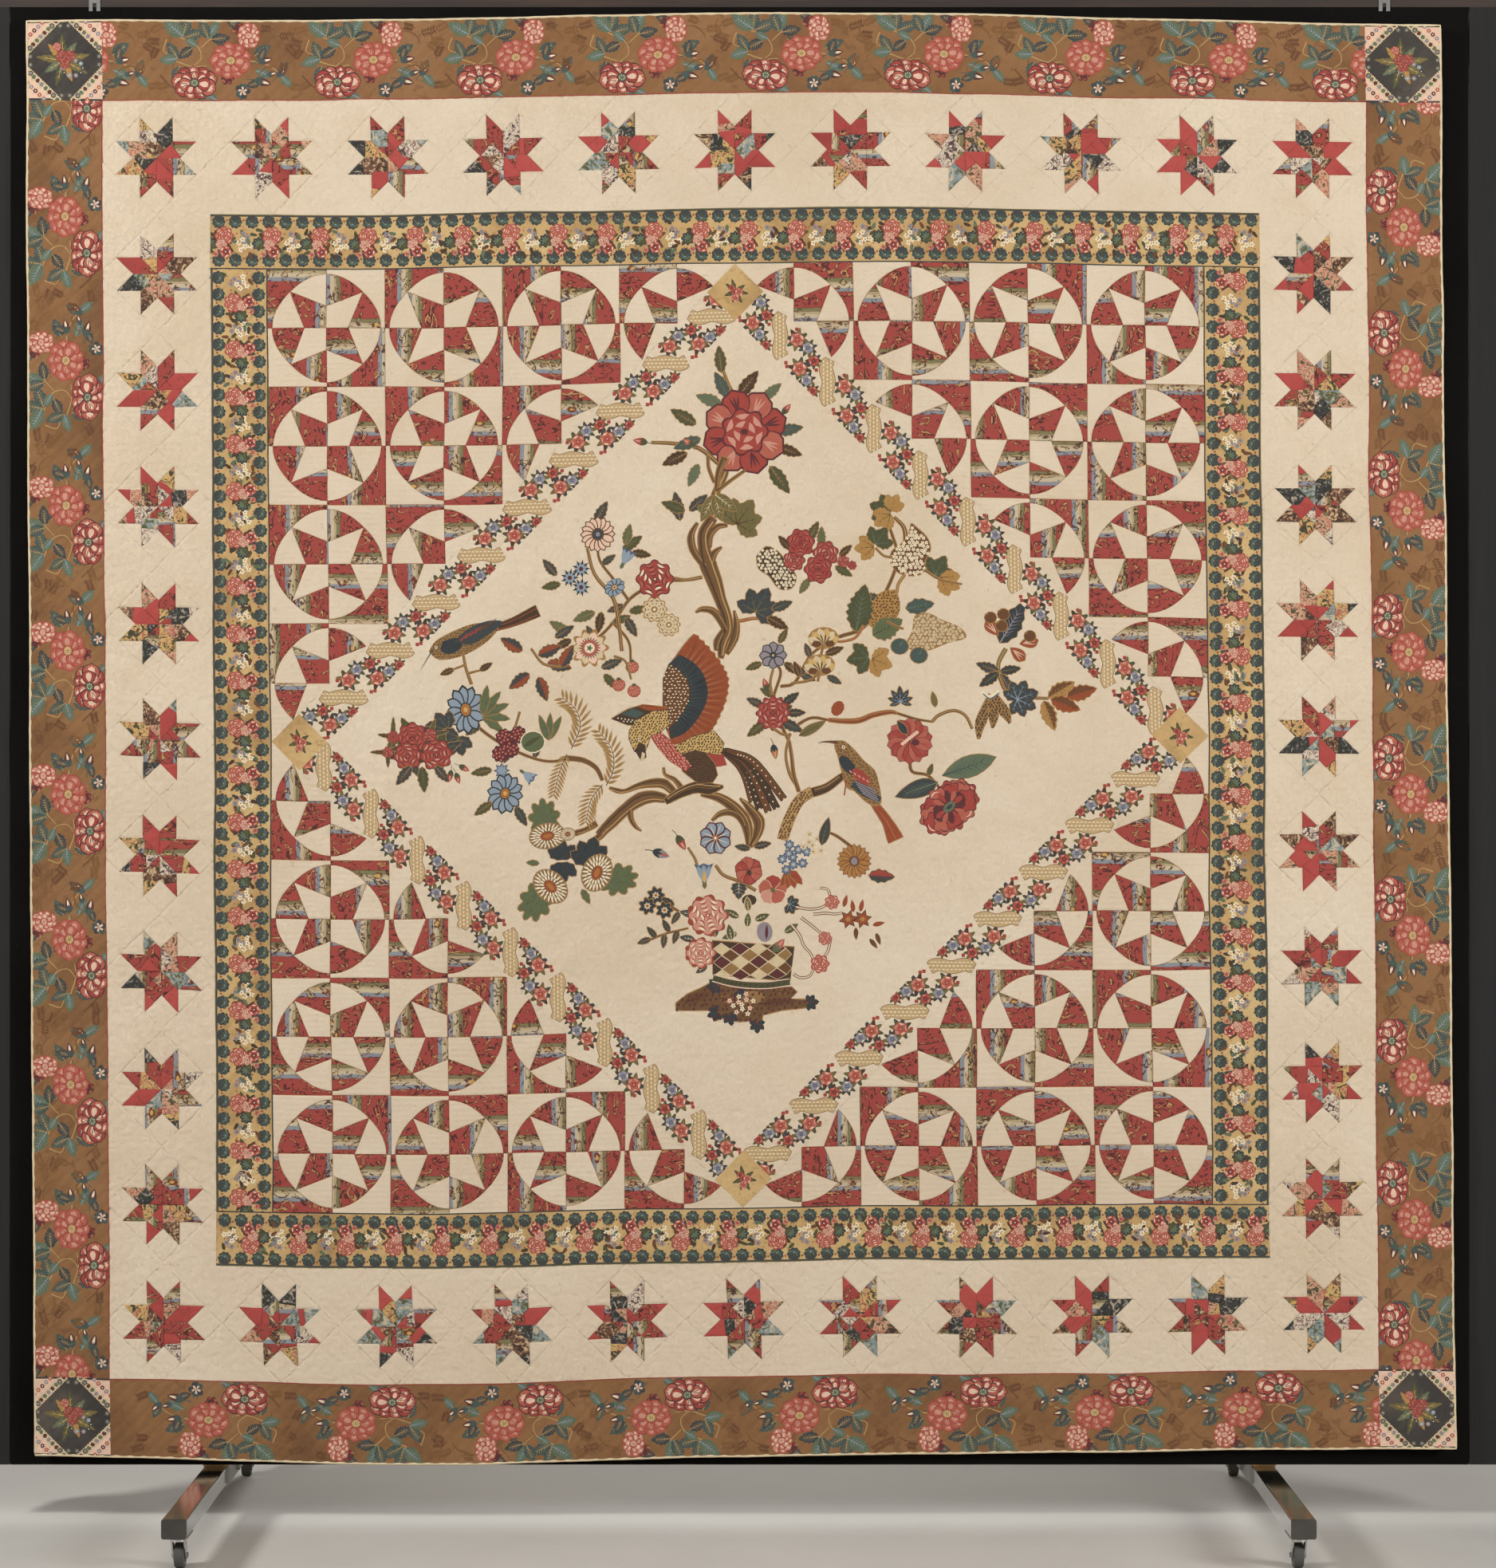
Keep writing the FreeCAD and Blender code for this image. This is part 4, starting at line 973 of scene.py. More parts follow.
def looking_back_bird(page):
    """A bird on a stump, with a long bent beak, a barred wing and a rust tail that hangs down."""
    golden = stroke([(0.089, -0.218), (0.103, -0.177), (0.123, -0.139), (0.151, -0.119)], (0.020,), 6)
    page.ink(grown(golden, 0.0020), "edge")
    page.ink(golden, "straw")
    speckle(page, golden, 0.0068, 0.0034, "brown", 3, 60)
    limbs(page, (([(0.151, -0.122), (0.182, -0.112), (0.216, -0.088)], (0.018, 0.016, 0.012)),), "umber")
    limbs(page, (([(0.106, -0.016), (0.110, -0.047), (0.113, -0.084), (0.123, -0.119)],
                  (0.004, 0.005, 0.006)),))
    tail = stroke([(0.281, -0.146), (0.308, -0.184), (0.326, -0.222)], (0.014, 0.020, 0.034), 5)
    page.ink(grown(tail, 0.0020), "edge")
    page.ink(tail, "rust")
    for spread, tone in ((-0.007, "red"), (0.0, "orange"), (0.007, "red")):
        page.ink(stroke([(0.283, -0.150), (0.308 + spread / 2, -0.184), (0.326 + spread, -0.220)],
                        (0.0022,), 4), tone)
    body = smooth_path([(0.202, -0.019), (0.219, -0.019), (0.240, -0.037), (0.261, -0.061), (0.281, -0.078),
                        (0.290, -0.105),
                        (0.295, -0.143), (0.281, -0.150), (0.261, -0.139), (0.240, -0.119), (0.225, -0.112),
                        (0.216, -0.085),
                        (0.207, -0.047), (0.201, -0.030), (0.202, -0.019)], 3)
    page.ink(grown(body, 0.0022), "edge")
    page.ink(body, "tan")
    speckle(page, body, 0.0075, 0.0032, "bark", 3, -40)
    page.ink(stroke([(0.205, -0.020), (0.195, -0.019), (0.178, -0.018), (0.166, -0.021)],
                    (0.008, 0.006, 0.003, 0.001), 4), "brown")
    page.at(0.226, -0.067, -50).ink(oval(0.024, 0.012, 12), "navy")
    page.at(0.254, -0.091, -42).ink(oval(0.024, 0.011, 12), "red")
    wing = stroke([(0.236, -0.104), (0.262, -0.120), (0.294, -0.140)], (0.016, 0.024, 0.012), 5)
    page.ink(wing, "slate")
    for k in range(5):
        page.ink(stroke([(0.240 + 0.004 * k, -0.100 - 0.006 * k), (0.284 + 0.002 * k, -0.120 - 0.006 * k)],
                        (0.0024,), 2), "lilac")
        page.at(0.232 + 0.009 * k, -0.080 - 0.005 * k, -50).ink(oval(0.0042, 0.0018, 6), "pink")
    page.ink(stroke([(0.223, -0.098), (0.218, -0.129)], (0.003,), 3), "rust")
    page.at(0.218, -0.030).ink(oval(0.0038, 0.0038, 8), "ivory")
    page.at(0.218, -0.030).ink(oval(0.0019, 0.0019, 6), "ink")


def stalk(pen, points, widths=(0.006, 0.004), tone="bark"):
    twig(pen, points, widths, tone, "edge")
    twig(pen, np.asarray(points) + [0.0004, 0.0006], [w * 0.3 for w in widths], "straw")


def basket(pen):
    """An open woven basket: broad bands cross on the slant and leave diamond holes, over a plaited rim."""
    left, right, low, high = -0.060, 0.108, -0.500, -0.430
    across, up, share = 0.078, 0.056, 0.47
    body = np.array([(left, high + 0.003), (right + 0.005, high - 0.013), (right - 0.006, low - 0.013),
                     (left, low + 0.004)])
    pen.ink(grown(body, 0.0024), "edge")
    pen.ink(body, "umber")
    starts = (0.0, share)
    for i in range(-3, 6):
        for j in range(-6, 4):
            for a in starts:
                for b in starts:
                    p0, p1 = (i + a, i + (1.0 if a else share))
                    q0, q1 = (j + b, j + (1.0 if b else share))
                    corners = ((p0, q0), (p1, q0), (p1, q1), (p0, q1))
                    cell = np.array([((p + q) / 2 * across + left, (p - q) / 2 * up + low) for p,
                                     q in corners])
                    if not (left < cell[:, 0].mean() < right and low - 0.006 < cell[:, 1].mean() < high):
                        continue
                    cell = np.clip(cell, (left, low - 0.010), (right, high))
                    tone = {(False, False): "paper", (True, False): "tan",
                            (False, True): "brown"}.get((bool(a), bool(b)), "plum")
                    middle = cell.mean(axis=0)
                    pen.ink(cell, "paper")
                    pen.ink(middle + (cell - middle) * 0.90, tone)
    rim = [(-0.060, -0.504), (-0.029, -0.513), (0.007, -0.519), (0.055, -0.521), (0.102, -0.516)]
    pen.ink(stroke(rim, (0.0165,), 4), "blush")
    pen.ink(stroke(rim, (0.0120,), 4), "moss")
    for x, h in smooth_path(rim, 4)[1:-1]:
        pen.at(x - 0.003, h - 0.004, 55).ink(leaf_shape(0.010, 0.0034, n=3), "umber")


def top_sprays(page):
    """The crown of the tree: a great red peony over leaves."""
    stalk(page, [(-0.030, 0.580), (-0.024, 0.548), (-0.045, 0.502), (-0.049, 0.455)], (0.010, 0.014, 0.018))
    stalk(page, [(-0.030, 0.560), (-0.080, 0.600), (-0.135, 0.610), (-0.180, 0.612)], (0.008, 0.005))
    stalk(page, [(0.010, 0.690), (-0.015, 0.730), (-0.030, 0.770)], (0.006, 0.004))
    leaf_spray(page, (
        (-0.030, 0.756, 96, 0.056), (-0.016, 0.704, 118, 0.060), (0.006, 0.706, 52, 0.066),
                      (-0.030, 0.690, 160, 0.058),
        (-0.086, 0.650, 150, 0.062), (-0.076, 0.620, 200, 0.060), (-0.104, 0.590, 205, 0.058),
                      (-0.080, 0.566, 245, 0.050),
        (0.070, 0.560, -55, 0.070), (0.085, 0.630, 10, 0.056), (0.088, 0.600, -20, 0.052),
                      (0.058, 0.700, 40, 0.048),
    ))
    bud(page.at(-0.190, 0.612, 170), 0.030)
    bud(page.at(-0.091, 0.606, 150), 0.026, "rose")
    bud(page.at(0.098, 0.668, 50), 0.026)
    peony(page.at(0.018, 0.632), 0.086, ROSE_RED, 10)
    leaf_spray(page, ((-0.120, 0.450, 100, 0.060), (-0.110, 0.470, 160, 0.052), (-0.100, 0.470, 40, 0.050)),
               ("slate", "moss"))
    palmate(page.at(0.000, 0.440, 55), 0.060, "olive", "umber", 5, 42, 4)
    palmate(page.at(-0.054, 0.462, 95), 0.036, "green", "moss", 3, 55, 3)


def joining_stems(page):
    """Thin stems that join the flower groups to the trunk, laid under everything else."""
    for points, wide in (
        ([(0.106, -0.016), (0.085, 0.030), (0.073, 0.075), (0.088, 0.132), (0.060, 0.160)], 0.005),
        ([(0.088, 0.100), (0.119, 0.109), (0.153, 0.167), (0.211, 0.202)], 0.005),
        ([(0.211, 0.202), (0.265, 0.225), (0.314, 0.305), (0.335, 0.370), (0.320, 0.432)], 0.006),
        ([(0.110, 0.010), (0.150, 0.032), (0.188, 0.027)], 0.005),
        ([(0.329, 0.042), (0.370, 0.030), (0.403, 0.025)], 0.004),
        ([(0.356, -0.055), (0.362, -0.080), (0.395, -0.088), (0.420, -0.115)], 0.005),
        ([(-0.076, 0.332), (-0.120, 0.325), (-0.174, 0.329)], 0.005),
        ([(-0.195, 0.310), (-0.230, 0.285), (-0.262, 0.240), (-0.300, 0.205), (-0.345, 0.190)], 0.005),
        ([(-0.230, 0.285), (-0.262, 0.330), (-0.290, 0.370), (-0.295, 0.415)], 0.004),
        ([(-0.262, 0.240), (-0.230, 0.200), (-0.225, 0.155)], 0.004),
        ([(-0.575, 0.100), (-0.560, 0.045), (-0.515, 0.005), (-0.450, -0.030), (-0.400, -0.045),
          (-0.355, -0.040)], 0.005),
        ([(0.238, -0.240), (0.205, -0.215), (0.185, -0.205)], 0.005),
        ([(-0.165, -0.340), (-0.130, -0.365), (-0.090, -0.380)], 0.004),
        ([(-0.200, -0.428), (-0.160, -0.412), (-0.110, -0.400)], 0.003),
    ):
        limb = stroke(points, (wide, wide * 0.7), 6)
        page.ink(grown(limb, 0.0014), "edge")
        page.ink(limb, "bark")
    leaf_spray(page, ((0.084, 0.040, 35, 0.034), (0.074, 0.080, 150, 0.034), (0.150, 0.160, 110, 0.032),
                      (0.130, 0.125, -25, 0.034),
                      (0.240, 0.215, 60, 0.034), (0.300, 0.280, 160, 0.036), (-0.240, 0.275, 200, 0.036),
                      (-0.262, 0.240, 20, 0.038),
                      (-0.300, 0.205, 120, 0.034), (-0.285, 0.360, 35, 0.034), (-0.545, 0.035, 215, 0.036),
                      (-0.480, -0.015, 245, 0.034),
                      (-0.430, -0.036, 70, 0.032), (0.395, -0.088, 70, 0.026)), ("slate", "moss", "slate"))
    leaf_spray(page, ((-0.190, -0.422, 200, 0.030), (-0.178, -0.420, 130, 0.030),
                      (-0.160, -0.412, 262, 0.030), (-0.150, -0.408, 118, 0.030),
                      (-0.132, -0.404, 250, 0.030), (-0.140, -0.352, 150, 0.034),
                      (-0.128, -0.366, 235, 0.030)), ("slate", "navy"))
    for x, h in ((-0.178, -0.330), (-0.196, -0.352), (-0.160, -0.362)):
        page.at(x, h).ink(scalloped(0.018, 7, 0.24), "edge")
        page.at(x, h).ink(scalloped(0.0155, 7, 0.24), "navy")
        page.at(x, h).ink(spiky(0.0085, 7, 0.4), "paper")
        page.at(x, h).ink(oval(0.003, 0.003, 6), "rust")


def tree(page):
    """A twisted trunk, joined by stems from both sides, with an olive leaf in three parts at its top."""
    limbs(page, (
        ([(-0.025, 0.579), (-0.038, 0.547), (-0.042, 0.509)], (0.013, 0.010, 0.008)),
        ([(-0.060, 0.583), (-0.058, 0.557), (-0.047, 0.528)], (0.004, 0.005)),
        ([(0.017, 0.551), (-0.012, 0.531), (-0.041, 0.509)], (0.004, 0.005)),
        ([(-0.084, 0.444), (-0.097, 0.419), (-0.095, 0.393), (-0.083, 0.371), (-0.066, 0.351)],
         (0.005, 0.014, 0.013, 0.012)),
        ([(-0.021, 0.438), (-0.041, 0.435), (-0.057, 0.419), (-0.063, 0.393)], (0.006, 0.012, 0.014)),
        ([(-0.034, 0.393), (-0.050, 0.380), (-0.058, 0.358)], (0.003, 0.012, 0.014)),
        ([(-0.050, 0.454), (-0.070, 0.425), (-0.071, 0.393), (-0.063, 0.358), (-0.050, 0.322),
          (-0.038, 0.284),
          (-0.025, 0.248), (-0.023, 0.219), (-0.033, 0.194), (-0.038, 0.162)],
         (0.019, 0.021, 0.022, 0.034, 0.030, 0.022, 0.020, 0.022, 0.020, 0.010)),
        ([(-0.089, 0.258), (-0.076, 0.264), (-0.054, 0.260), (-0.036, 0.239), (-0.025, 0.216)],
         (0.003, 0.009, 0.013, 0.014, 0.012)),
        ([(-0.009, 0.261), (-0.004, 0.232), (-0.009, 0.203), (-0.025, 0.171)],
         (0.002, 0.012, 0.016, 0.008)),
        ([(-0.031, 0.219), (-0.044, 0.197), (-0.047, 0.178)], (0.010, 0.014, 0.008)),
    ))
    for tip_x, tip_h in ((-0.076, 0.447), (-0.034, 0.448), (0.000, 0.466)):
        turn = math.degrees(math.atan2(tip_h - 0.502, tip_x + 0.045))
        leaf(page.at(-0.045, 0.502, turn), math.hypot(tip_x + 0.045, tip_h - 0.502), 0.024, "olive",
             "paper", 0, 4, "edge")


def upper_left(page):
    leaf_spray(page, (
        (-0.300, 0.446, 60, 0.052), (-0.240, 0.390, 35, 0.048), (-0.236, 0.400, 75, 0.044),
                      (-0.222, 0.384, -10, 0.040),
        (-0.380, 0.340, 130, 0.044), (-0.372, 0.322, 190, 0.040), (-0.300, 0.262, 200, 0.048),
                      (-0.286, 0.262, 260, 0.044),
        (-0.236, 0.250, -60, 0.046), (-0.228, 0.262, 10, 0.040), (-0.356, 0.222, 150, 0.046),
                      (-0.350, 0.206, 205, 0.040),
        (-0.286, 0.146, 20, 0.046), (-0.280, 0.132, -50, 0.040),
    ), ("slate", "moss", "green", "umber"))
    stalk(page, [(-0.316, 0.395), (-0.300, 0.340), (-0.262, 0.290), (-0.250, 0.236), (-0.244, 0.180)],
          (0.004, 0.006, 0.005))
    stalk(page, [(-0.136, 0.331), (-0.106, 0.326), (-0.076, 0.331)], (0.003, 0.005))
    daisy(page.at(-0.294, 0.423), 0.038, 16, "blush", "brown", "slate", "lilac", 1.15, 1.0, 0.36)
    trumpet(page.at(-0.246, 0.352, 62), 0.042)
    daisy(page.at(-0.259, 0.312, 30), 0.023, 10, "sky", "navy", "yellow", "rust", 1.0, 0.8, 0.30)
    for x, h in ((-0.328, 0.352), (-0.328, 0.314), (-0.352, 0.334)):
        page.at(x, h).ink(spiky(0.020, 9, 0.5), "navy")
        page.at(x, h, 20).ink(spiky(0.016, 9, 0.5), "sky")
        page.at(x, h).ink(oval(0.005, 0.005, 6), "plum")
    rose(page.at(-0.175, 0.328), 0.036, ("red", "rose", "ivory", "plum"), 8, 20)
    for x, h, r in ((-0.176, 0.265, 0.023), (-0.146, 0.232, 0.021)):
        p = page.at(x, h)
        p.ink(scalloped(r * 1.12, 10, 0.12), "edge")
        p.ink(scalloped(r, 10, 0.12), "paper")
        for i in range(10):
            p.at(0, 0, 36 * i).ink(crescent(r * 0.86, r * 0.12, 26), "brown")
            p.at(r * 0.55 * math.cos(i * 0.63),
                 r * 0.55 * math.sin(i * 0.63)).ink(oval(r * 0.08, r * 0.08, 5), "tan")
        p.ink(oval(r * 0.3, r * 0.3, 9), "tan")
        p.ink(oval(r * 0.14, r * 0.14, 6), "ivory")
    p = page.at(-0.311, 0.188)
    p.ink(scalloped(0.037, 10, 0.2), "edge")
    for i in range(10):
        p.at(0, 0, 36 * i).ink(petal_shape(0.035, 0.018), "paper" if i % 2 else "blush")
    p.ink(spiky(0.024, 22, 0.35), "plum")
    p.ink(spiky(0.020, 22, 0.30), "rose")
    p.ink(oval(0.011, 0.011, 10), "ivory")
    p.ink(spiky(0.008, 5, 0.55), "green")
    for x, h in ((-0.222, 0.146), (-0.250, 0.109), (-0.218, 0.096)):
        strawberry(page.at(x, h), 0.0135)
    stalk(page, [(-0.260, 0.170), (-0.236, 0.158), (-0.224, 0.120)], (0.003, 0.002), "moss")


def right_of_tree(page):
    blossom_mass(page, smooth_path([(0.040, 0.372), (0.060, 0.392), (0.086, 0.380), (0.104, 0.356),
                                    (0.122, 0.330),
                                    (0.112, 0.306), (0.086, 0.306), (0.066, 0.332), (0.044, 0.348),
                                    (0.040, 0.372)], 3), "umber")
    leaf_spray(page, ((0.150, 0.404, 62, 0.044), (0.176, 0.392, 88, 0.040), (0.214, 0.372, 40, 0.034),
                      (0.205, 0.350, -30, 0.040),
                      (0.150, 0.324, 235, 0.036), (0.110, 0.386, 130, 0.036)), ("moss", "green", "umber"))
    for i, (x, h, r) in enumerate(((0.119, 0.363, 0.021), (0.133, 0.399, 0.027), (0.185, 0.376, 0.025),
                                   (0.169, 0.344, 0.027),
                                   (0.222, 0.360, 0.012), (0.240, 0.352, 0.009))):
        rose(page.at(x, h, 60 * i), r, ("red", "rose", "red", "plum") if i % 2 else ROSE_RED, 7)
    stalk(page, [(0.003, 0.239), (0.040, 0.244), (0.084, 0.232)], (0.006, 0.003), "rust")
    palmate(page.at(0.036, 0.258, 60), 0.056, "slate", "olive", 5, 45, 3)
    leaf_spray(page, ((0.060, 0.246, -30, 0.050), (0.070, 0.262, 20, 0.046)), ("umber", "slate"))
    p = page.at(0.072, 0.166)
    daisy(p, 0.030, 8, "lilac", "slate", "navy", "yellow", 0.9, 1.0, 0.26)
    leaf_spray(page, ((0.048, 0.150, 200, 0.036), (0.096, 0.150, -40, 0.038), (0.084, 0.192, 60, 0.034)),
               ("moss", "umber"))
    stalk(page, [(0.072, 0.136), (0.066, 0.110), (0.070, 0.080)], (0.003, 0.004))
    bud(page.at(0.060, 0.094, 110), 0.026)
    leaf_spray(page, ((0.052, 0.060, 155, 0.040), (0.092, 0.062, 35, 0.042), (0.056, 0.026, 215, 0.048),
                      (0.090, 0.028, -28, 0.050),
                      (0.100, 0.044, 0, 0.040)), ("slate", "navy", "moss"))
    p = page.at(0.072, 0.045)
    rose(p, 0.033, ("red", "pink", "rose", "plum"), 12)
    stalk(page, [(0.074, 0.012), (0.092, 0.000), (0.110, -0.002)], (0.004, 0.003))
    bud(page.at(0.072, -0.022, -80), 0.030, "orange", "navy")
    stalk(page, [(0.108, 0.002), (0.098, -0.040), (0.104, -0.080), (0.120, -0.110)], (0.003, 0.005))
    # The mulberries and vine leaves on the right.
    p = page.at(0.322, 0.468)
    palmate(p.at(0, -0.006, 158), 0.046, "moss", "sage", 3, 40, 4)
    palmate(p.at(0, -0.010, 215), 0.040, "amber", "moss", 3, 40, 4)
    palmate(p.at(0, 0, 60), 0.034, "amber", "tan", 3, 40, 4)
    stalk(page, [(0.330, 0.452), (0.350, 0.430), (0.354, 0.396)], (0.005, 0.009), "brown")
    mulberry = smooth_path([(0.366, 0.438), (0.396, 0.410), (0.404, 0.384), (0.392, 0.360), (0.390, 0.338),
                            (0.368, 0.330),
                            (0.338, 0.336), (0.322, 0.356), (0.324, 0.380), (0.344, 0.396), (0.358, 0.412),
                            (0.366, 0.438)], 3)
    blossom_mass(page, mulberry, "brown", "ivory", 0.0088, 0.0048, "tan", 5)
    palmate(page.at(0.286, 0.390, 185), 0.040, "amber", "brown", 3, 40, 4)
    palmate(page.at(0.290, 0.396, 55), 0.042, "moss", "sage", 3, 50, 4)
    stalk(page, [(0.324, 0.368), (0.306, 0.372), (0.290, 0.388)], (0.003, 0.003), "brown")
    palmate(page.at(0.414, 0.332, 60), 0.044, "moss", "sage", 3, 52, 4)
    palmate(page.at(0.424, 0.326, -30), 0.046, "amber", "brown", 3, 34, 4)
    stalk(page, [(0.392, 0.342), (0.424, 0.322), (0.470, 0.312)], (0.004, 0.002), "brown")
    stalk(page, [(0.350, 0.332), (0.336, 0.312), (0.334, 0.296)], (0.005, 0.004), "tan")
    tan_mass = smooth_path([(0.332, 0.300), (0.338, 0.262), (0.322, 0.234), (0.288, 0.222), (0.272, 0.236),
                            (0.282, 0.270),
                            (0.300, 0.294), (0.332, 0.300)], 3)
    blossom_mass(page, tan_mass, "amber", "brown", 0.0070, 0.0030, "umber", 8)
    leaf(page.at(0.246, 0.214, 78), 0.100, 0.052, "moss", "sage", 7, 6, "edge")
    leaf(page.at(0.282, 0.206, 28), 0.070, 0.044, "green", "moss", 6, 5, "edge")
    triangle = smooth_path([(0.350, 0.186), (0.366, 0.214), (0.372, 0.246), (0.400, 0.250), (0.424, 0.238),
                            (0.462, 0.222),
                            (0.476, 0.202), (0.440, 0.192), (0.400, 0.176), (0.366, 0.176), (0.350, 0.186)],
                           3)
    blossom_mass(page, triangle, "tan", "paper", 0.0076, 0.0040, "brown", 9)
    leaf(page.at(0.352, 0.262, 10), 0.060, 0.030, "teal", "sage", 4, 5, "edge")
    for x, h in ((0.338, 0.183), (0.378, 0.164)):
        page.at(x, h).ink(oval(0.020, 0.018, 12), "edge")
        page.at(x, h).ink(oval(0.018, 0.0165, 12), "teal")
        page.at(x, h, 60).ink(leaf_shape(0.016, 0.003, n=3), "sage")
    stalk(page, [(0.346, 0.220), (0.330, 0.226), (0.312, 0.236)], (0.003, 0.003), "brown")
    palmate(page.at(0.272, 0.160, 190), 0.046, "moss", "sage", 3, 50, 4)
    palmate(page.at(0.280, 0.156, -20), 0.044, "amber", "brown", 3, 50, 4)
    stalk(page, [(0.262, 0.226), (0.244, 0.200), (0.214, 0.192), (0.200, 0.196)], (0.004, 0.003), "rust")
    for x, h in ((0.177, 0.200), (0.170, 0.143)):
        p = page.at(x, h, 90)
        p.ink(grown(oval(0.022, 0.031, 14), 0.0016), "edge")
        for i, a in enumerate((-66, -40, -14, 14, 40, 66)):
            p.at(-0.014, 0, a).ink(petal_shape(0.036, 0.016), ("yellow", "paper")[i % 2])
            p.at(-0.014, 0, a).ink(leaf_shape(0.024, 0.005, n=3), "umber")
        p.at(-0.012, 0.014, 90).ink(oval(0.010, 0.007, 9), "brown")
        p.at(-0.012, -0.014, 90).ink(oval(0.010, 0.007, 9), "brown")
        stalk(page, [(x, h - 0.014), (x - 0.004, h - 0.034)], (0.004, 0.003), "brown")
    leaf_spray(page, ((0.182, 0.166, 20, 0.040), (0.140, 0.126, 150, 0.036), (0.128, 0.120, 110, 0.034),
                      (0.186, 0.120, -30, 0.034)),
               ("umber", "slate"))
    stalk(page, [(0.170, 0.130), (0.150, 0.112), (0.110, 0.106)], (0.004, 0.003), "brown")


def far_right(page):
    # A striped tulip with a comb-veined leaf.
    leaf(page.at(0.548, 0.190, 58), 0.100, 0.044, "navy", "lilac", 5, 7, "edge")
    for x, h, turn in ((0.545, 0.206, 130), (0.570, 0.180, -40), (0.590, 0.188, 10)):
        p = page.at(x, h, turn)
        p.ink(grown(petal_shape(0.040, 0.024), 0.0016), "edge")
        p.ink(petal_shape(0.040, 0.024), "rust")
        for k in (-1, 0, 1):
            p.at(0.006, 0, 14 * k).ink(leaf_shape(0.030, 0.002, n=3), "blush")
    for x, h in ((0.529, 0.243), (0.556, 0.250), (0.552, 0.226), (0.612, 0.204)):
        page.at(x, h).ink(oval(0.014, 0.013, 10), "edge")
        page.at(x, h).ink(oval(0.0125, 0.0115, 10), "brown")
        page.at(x - 0.003, h + 0.003, 130).ink(crescent(0.007, 0.002, 90), "tan")
    stalk(page, [(0.560, 0.178), (0.545, 0.150), (0.544, 0.128)], (0.008, 0.006), "olive")
    leaf_spray(page, ((0.545, 0.130, 160, 0.050), (0.545, 0.128, 215, 0.050), (0.548, 0.126, -60, 0.048),
                      (0.548, 0.130, 10, 0.044)),
               ("slate", "navy"))
    stalk(page, [(0.545, 0.120), (0.560, 0.090), (0.600, 0.078), (0.650, 0.076)], (0.006, 0.004))
    for i, (x, h, turn) in enumerate(((0.650, 0.078, 30), (0.656, 0.074, -20), (0.640, 0.070, -70),
                                      (0.690, 0.080, 15))):
        two_tone_leaf(page.at(x, h, turn), 0.064, 0.030, "rust" if i % 2 else "amber", "brown")
    # A rust stem that ends in a fringed carnation.
    limbs(page, (([(0.188, 0.027), (0.219, 0.024), (0.250, 0.025), (0.281, 0.037), (0.315, 0.044),
                   (0.329, 0.042)],
                  (0.006, 0.009, 0.008, 0.004)),), "rust")
    page.at(0.207, 0.051, 60).ink(oval(0.017, 0.013, 10), "rust")
    leaf(page.at(0.127, -0.004, 28), 0.062, 0.018, "olive", "moss", 0, 5, "edge")
    palmate(page.at(0.338, 0.066, 92), 0.034, "navy", "sky", 7, 36, 0, "edge", 0.5, 0.34)
    fringed(page.at(0.356, -0.016), 0.048, 14, ("red", "rose"), 360, 0, 0.56)
    for k in range(7):
        page.at(0.341 + 0.005 * k, -0.022 + 0.004 * k).ink(scalloped(0.0038, 5, 0.2), "blush")
    page.at(0.368, -0.019).ink(oval(0.009, 0.007, 9), "plum")
    leaf(page.at(0.350, -0.002, 125), 0.034, 0.015, "navy", "slate", 0, 3, "edge")
    # The great crimson flower, on its slant between two long leaves.
    stalk(page, [(0.403, 0.025), (0.418, 0.039), (0.449, 0.049), (0.473, 0.039), (0.487, 0.012)],
          (0.005, 0.004))
    leaf(page.at(0.411, 0.056, 100), 0.032, 0.012, "olive", None, 0, 0, "edge")
    leaf(page.at(0.425, -0.088, 20), 0.120, 0.045, "sage", "teal", 0, 8, "edge", 0.5)
    leaf(page.at(0.415, -0.102, 199), 0.094, 0.036, "slate", "sage", 0, 8, "edge", 0.4)
    bloom = page.at(0.439, -0.153, 40)
    for i in range(11):
        a = math.tau * i / 11
        q = bloom.at(0.046 * math.cos(a), 0.026 * math.sin(a), math.degrees(a))
        q.ink(scalloped(0.024, 6, 0.16), "plum")
        q.ink(scalloped(0.022, 6, 0.16), ("red", "rose")[i % 2])
        q.at(0.006, 0).ink(crescent(0.012, 0.003, 150, 6), "blush" if i % 3 == 0 else "plum")
    bloom.ink(oval(0.040, 0.024, 16), "plum")
    for i in range(12):
        bloom.at(0, 0, 30 * i).at(0.010, 0).ink(petal_shape(0.026, 0.011), ("red", "rose", "plum")[i % 3])
    bloom.ink(oval(0.015, 0.009, 10), "sage")
    bloom.ink(oval(0.008, 0.004, 8), "slate")
    looking_back_bird(page)
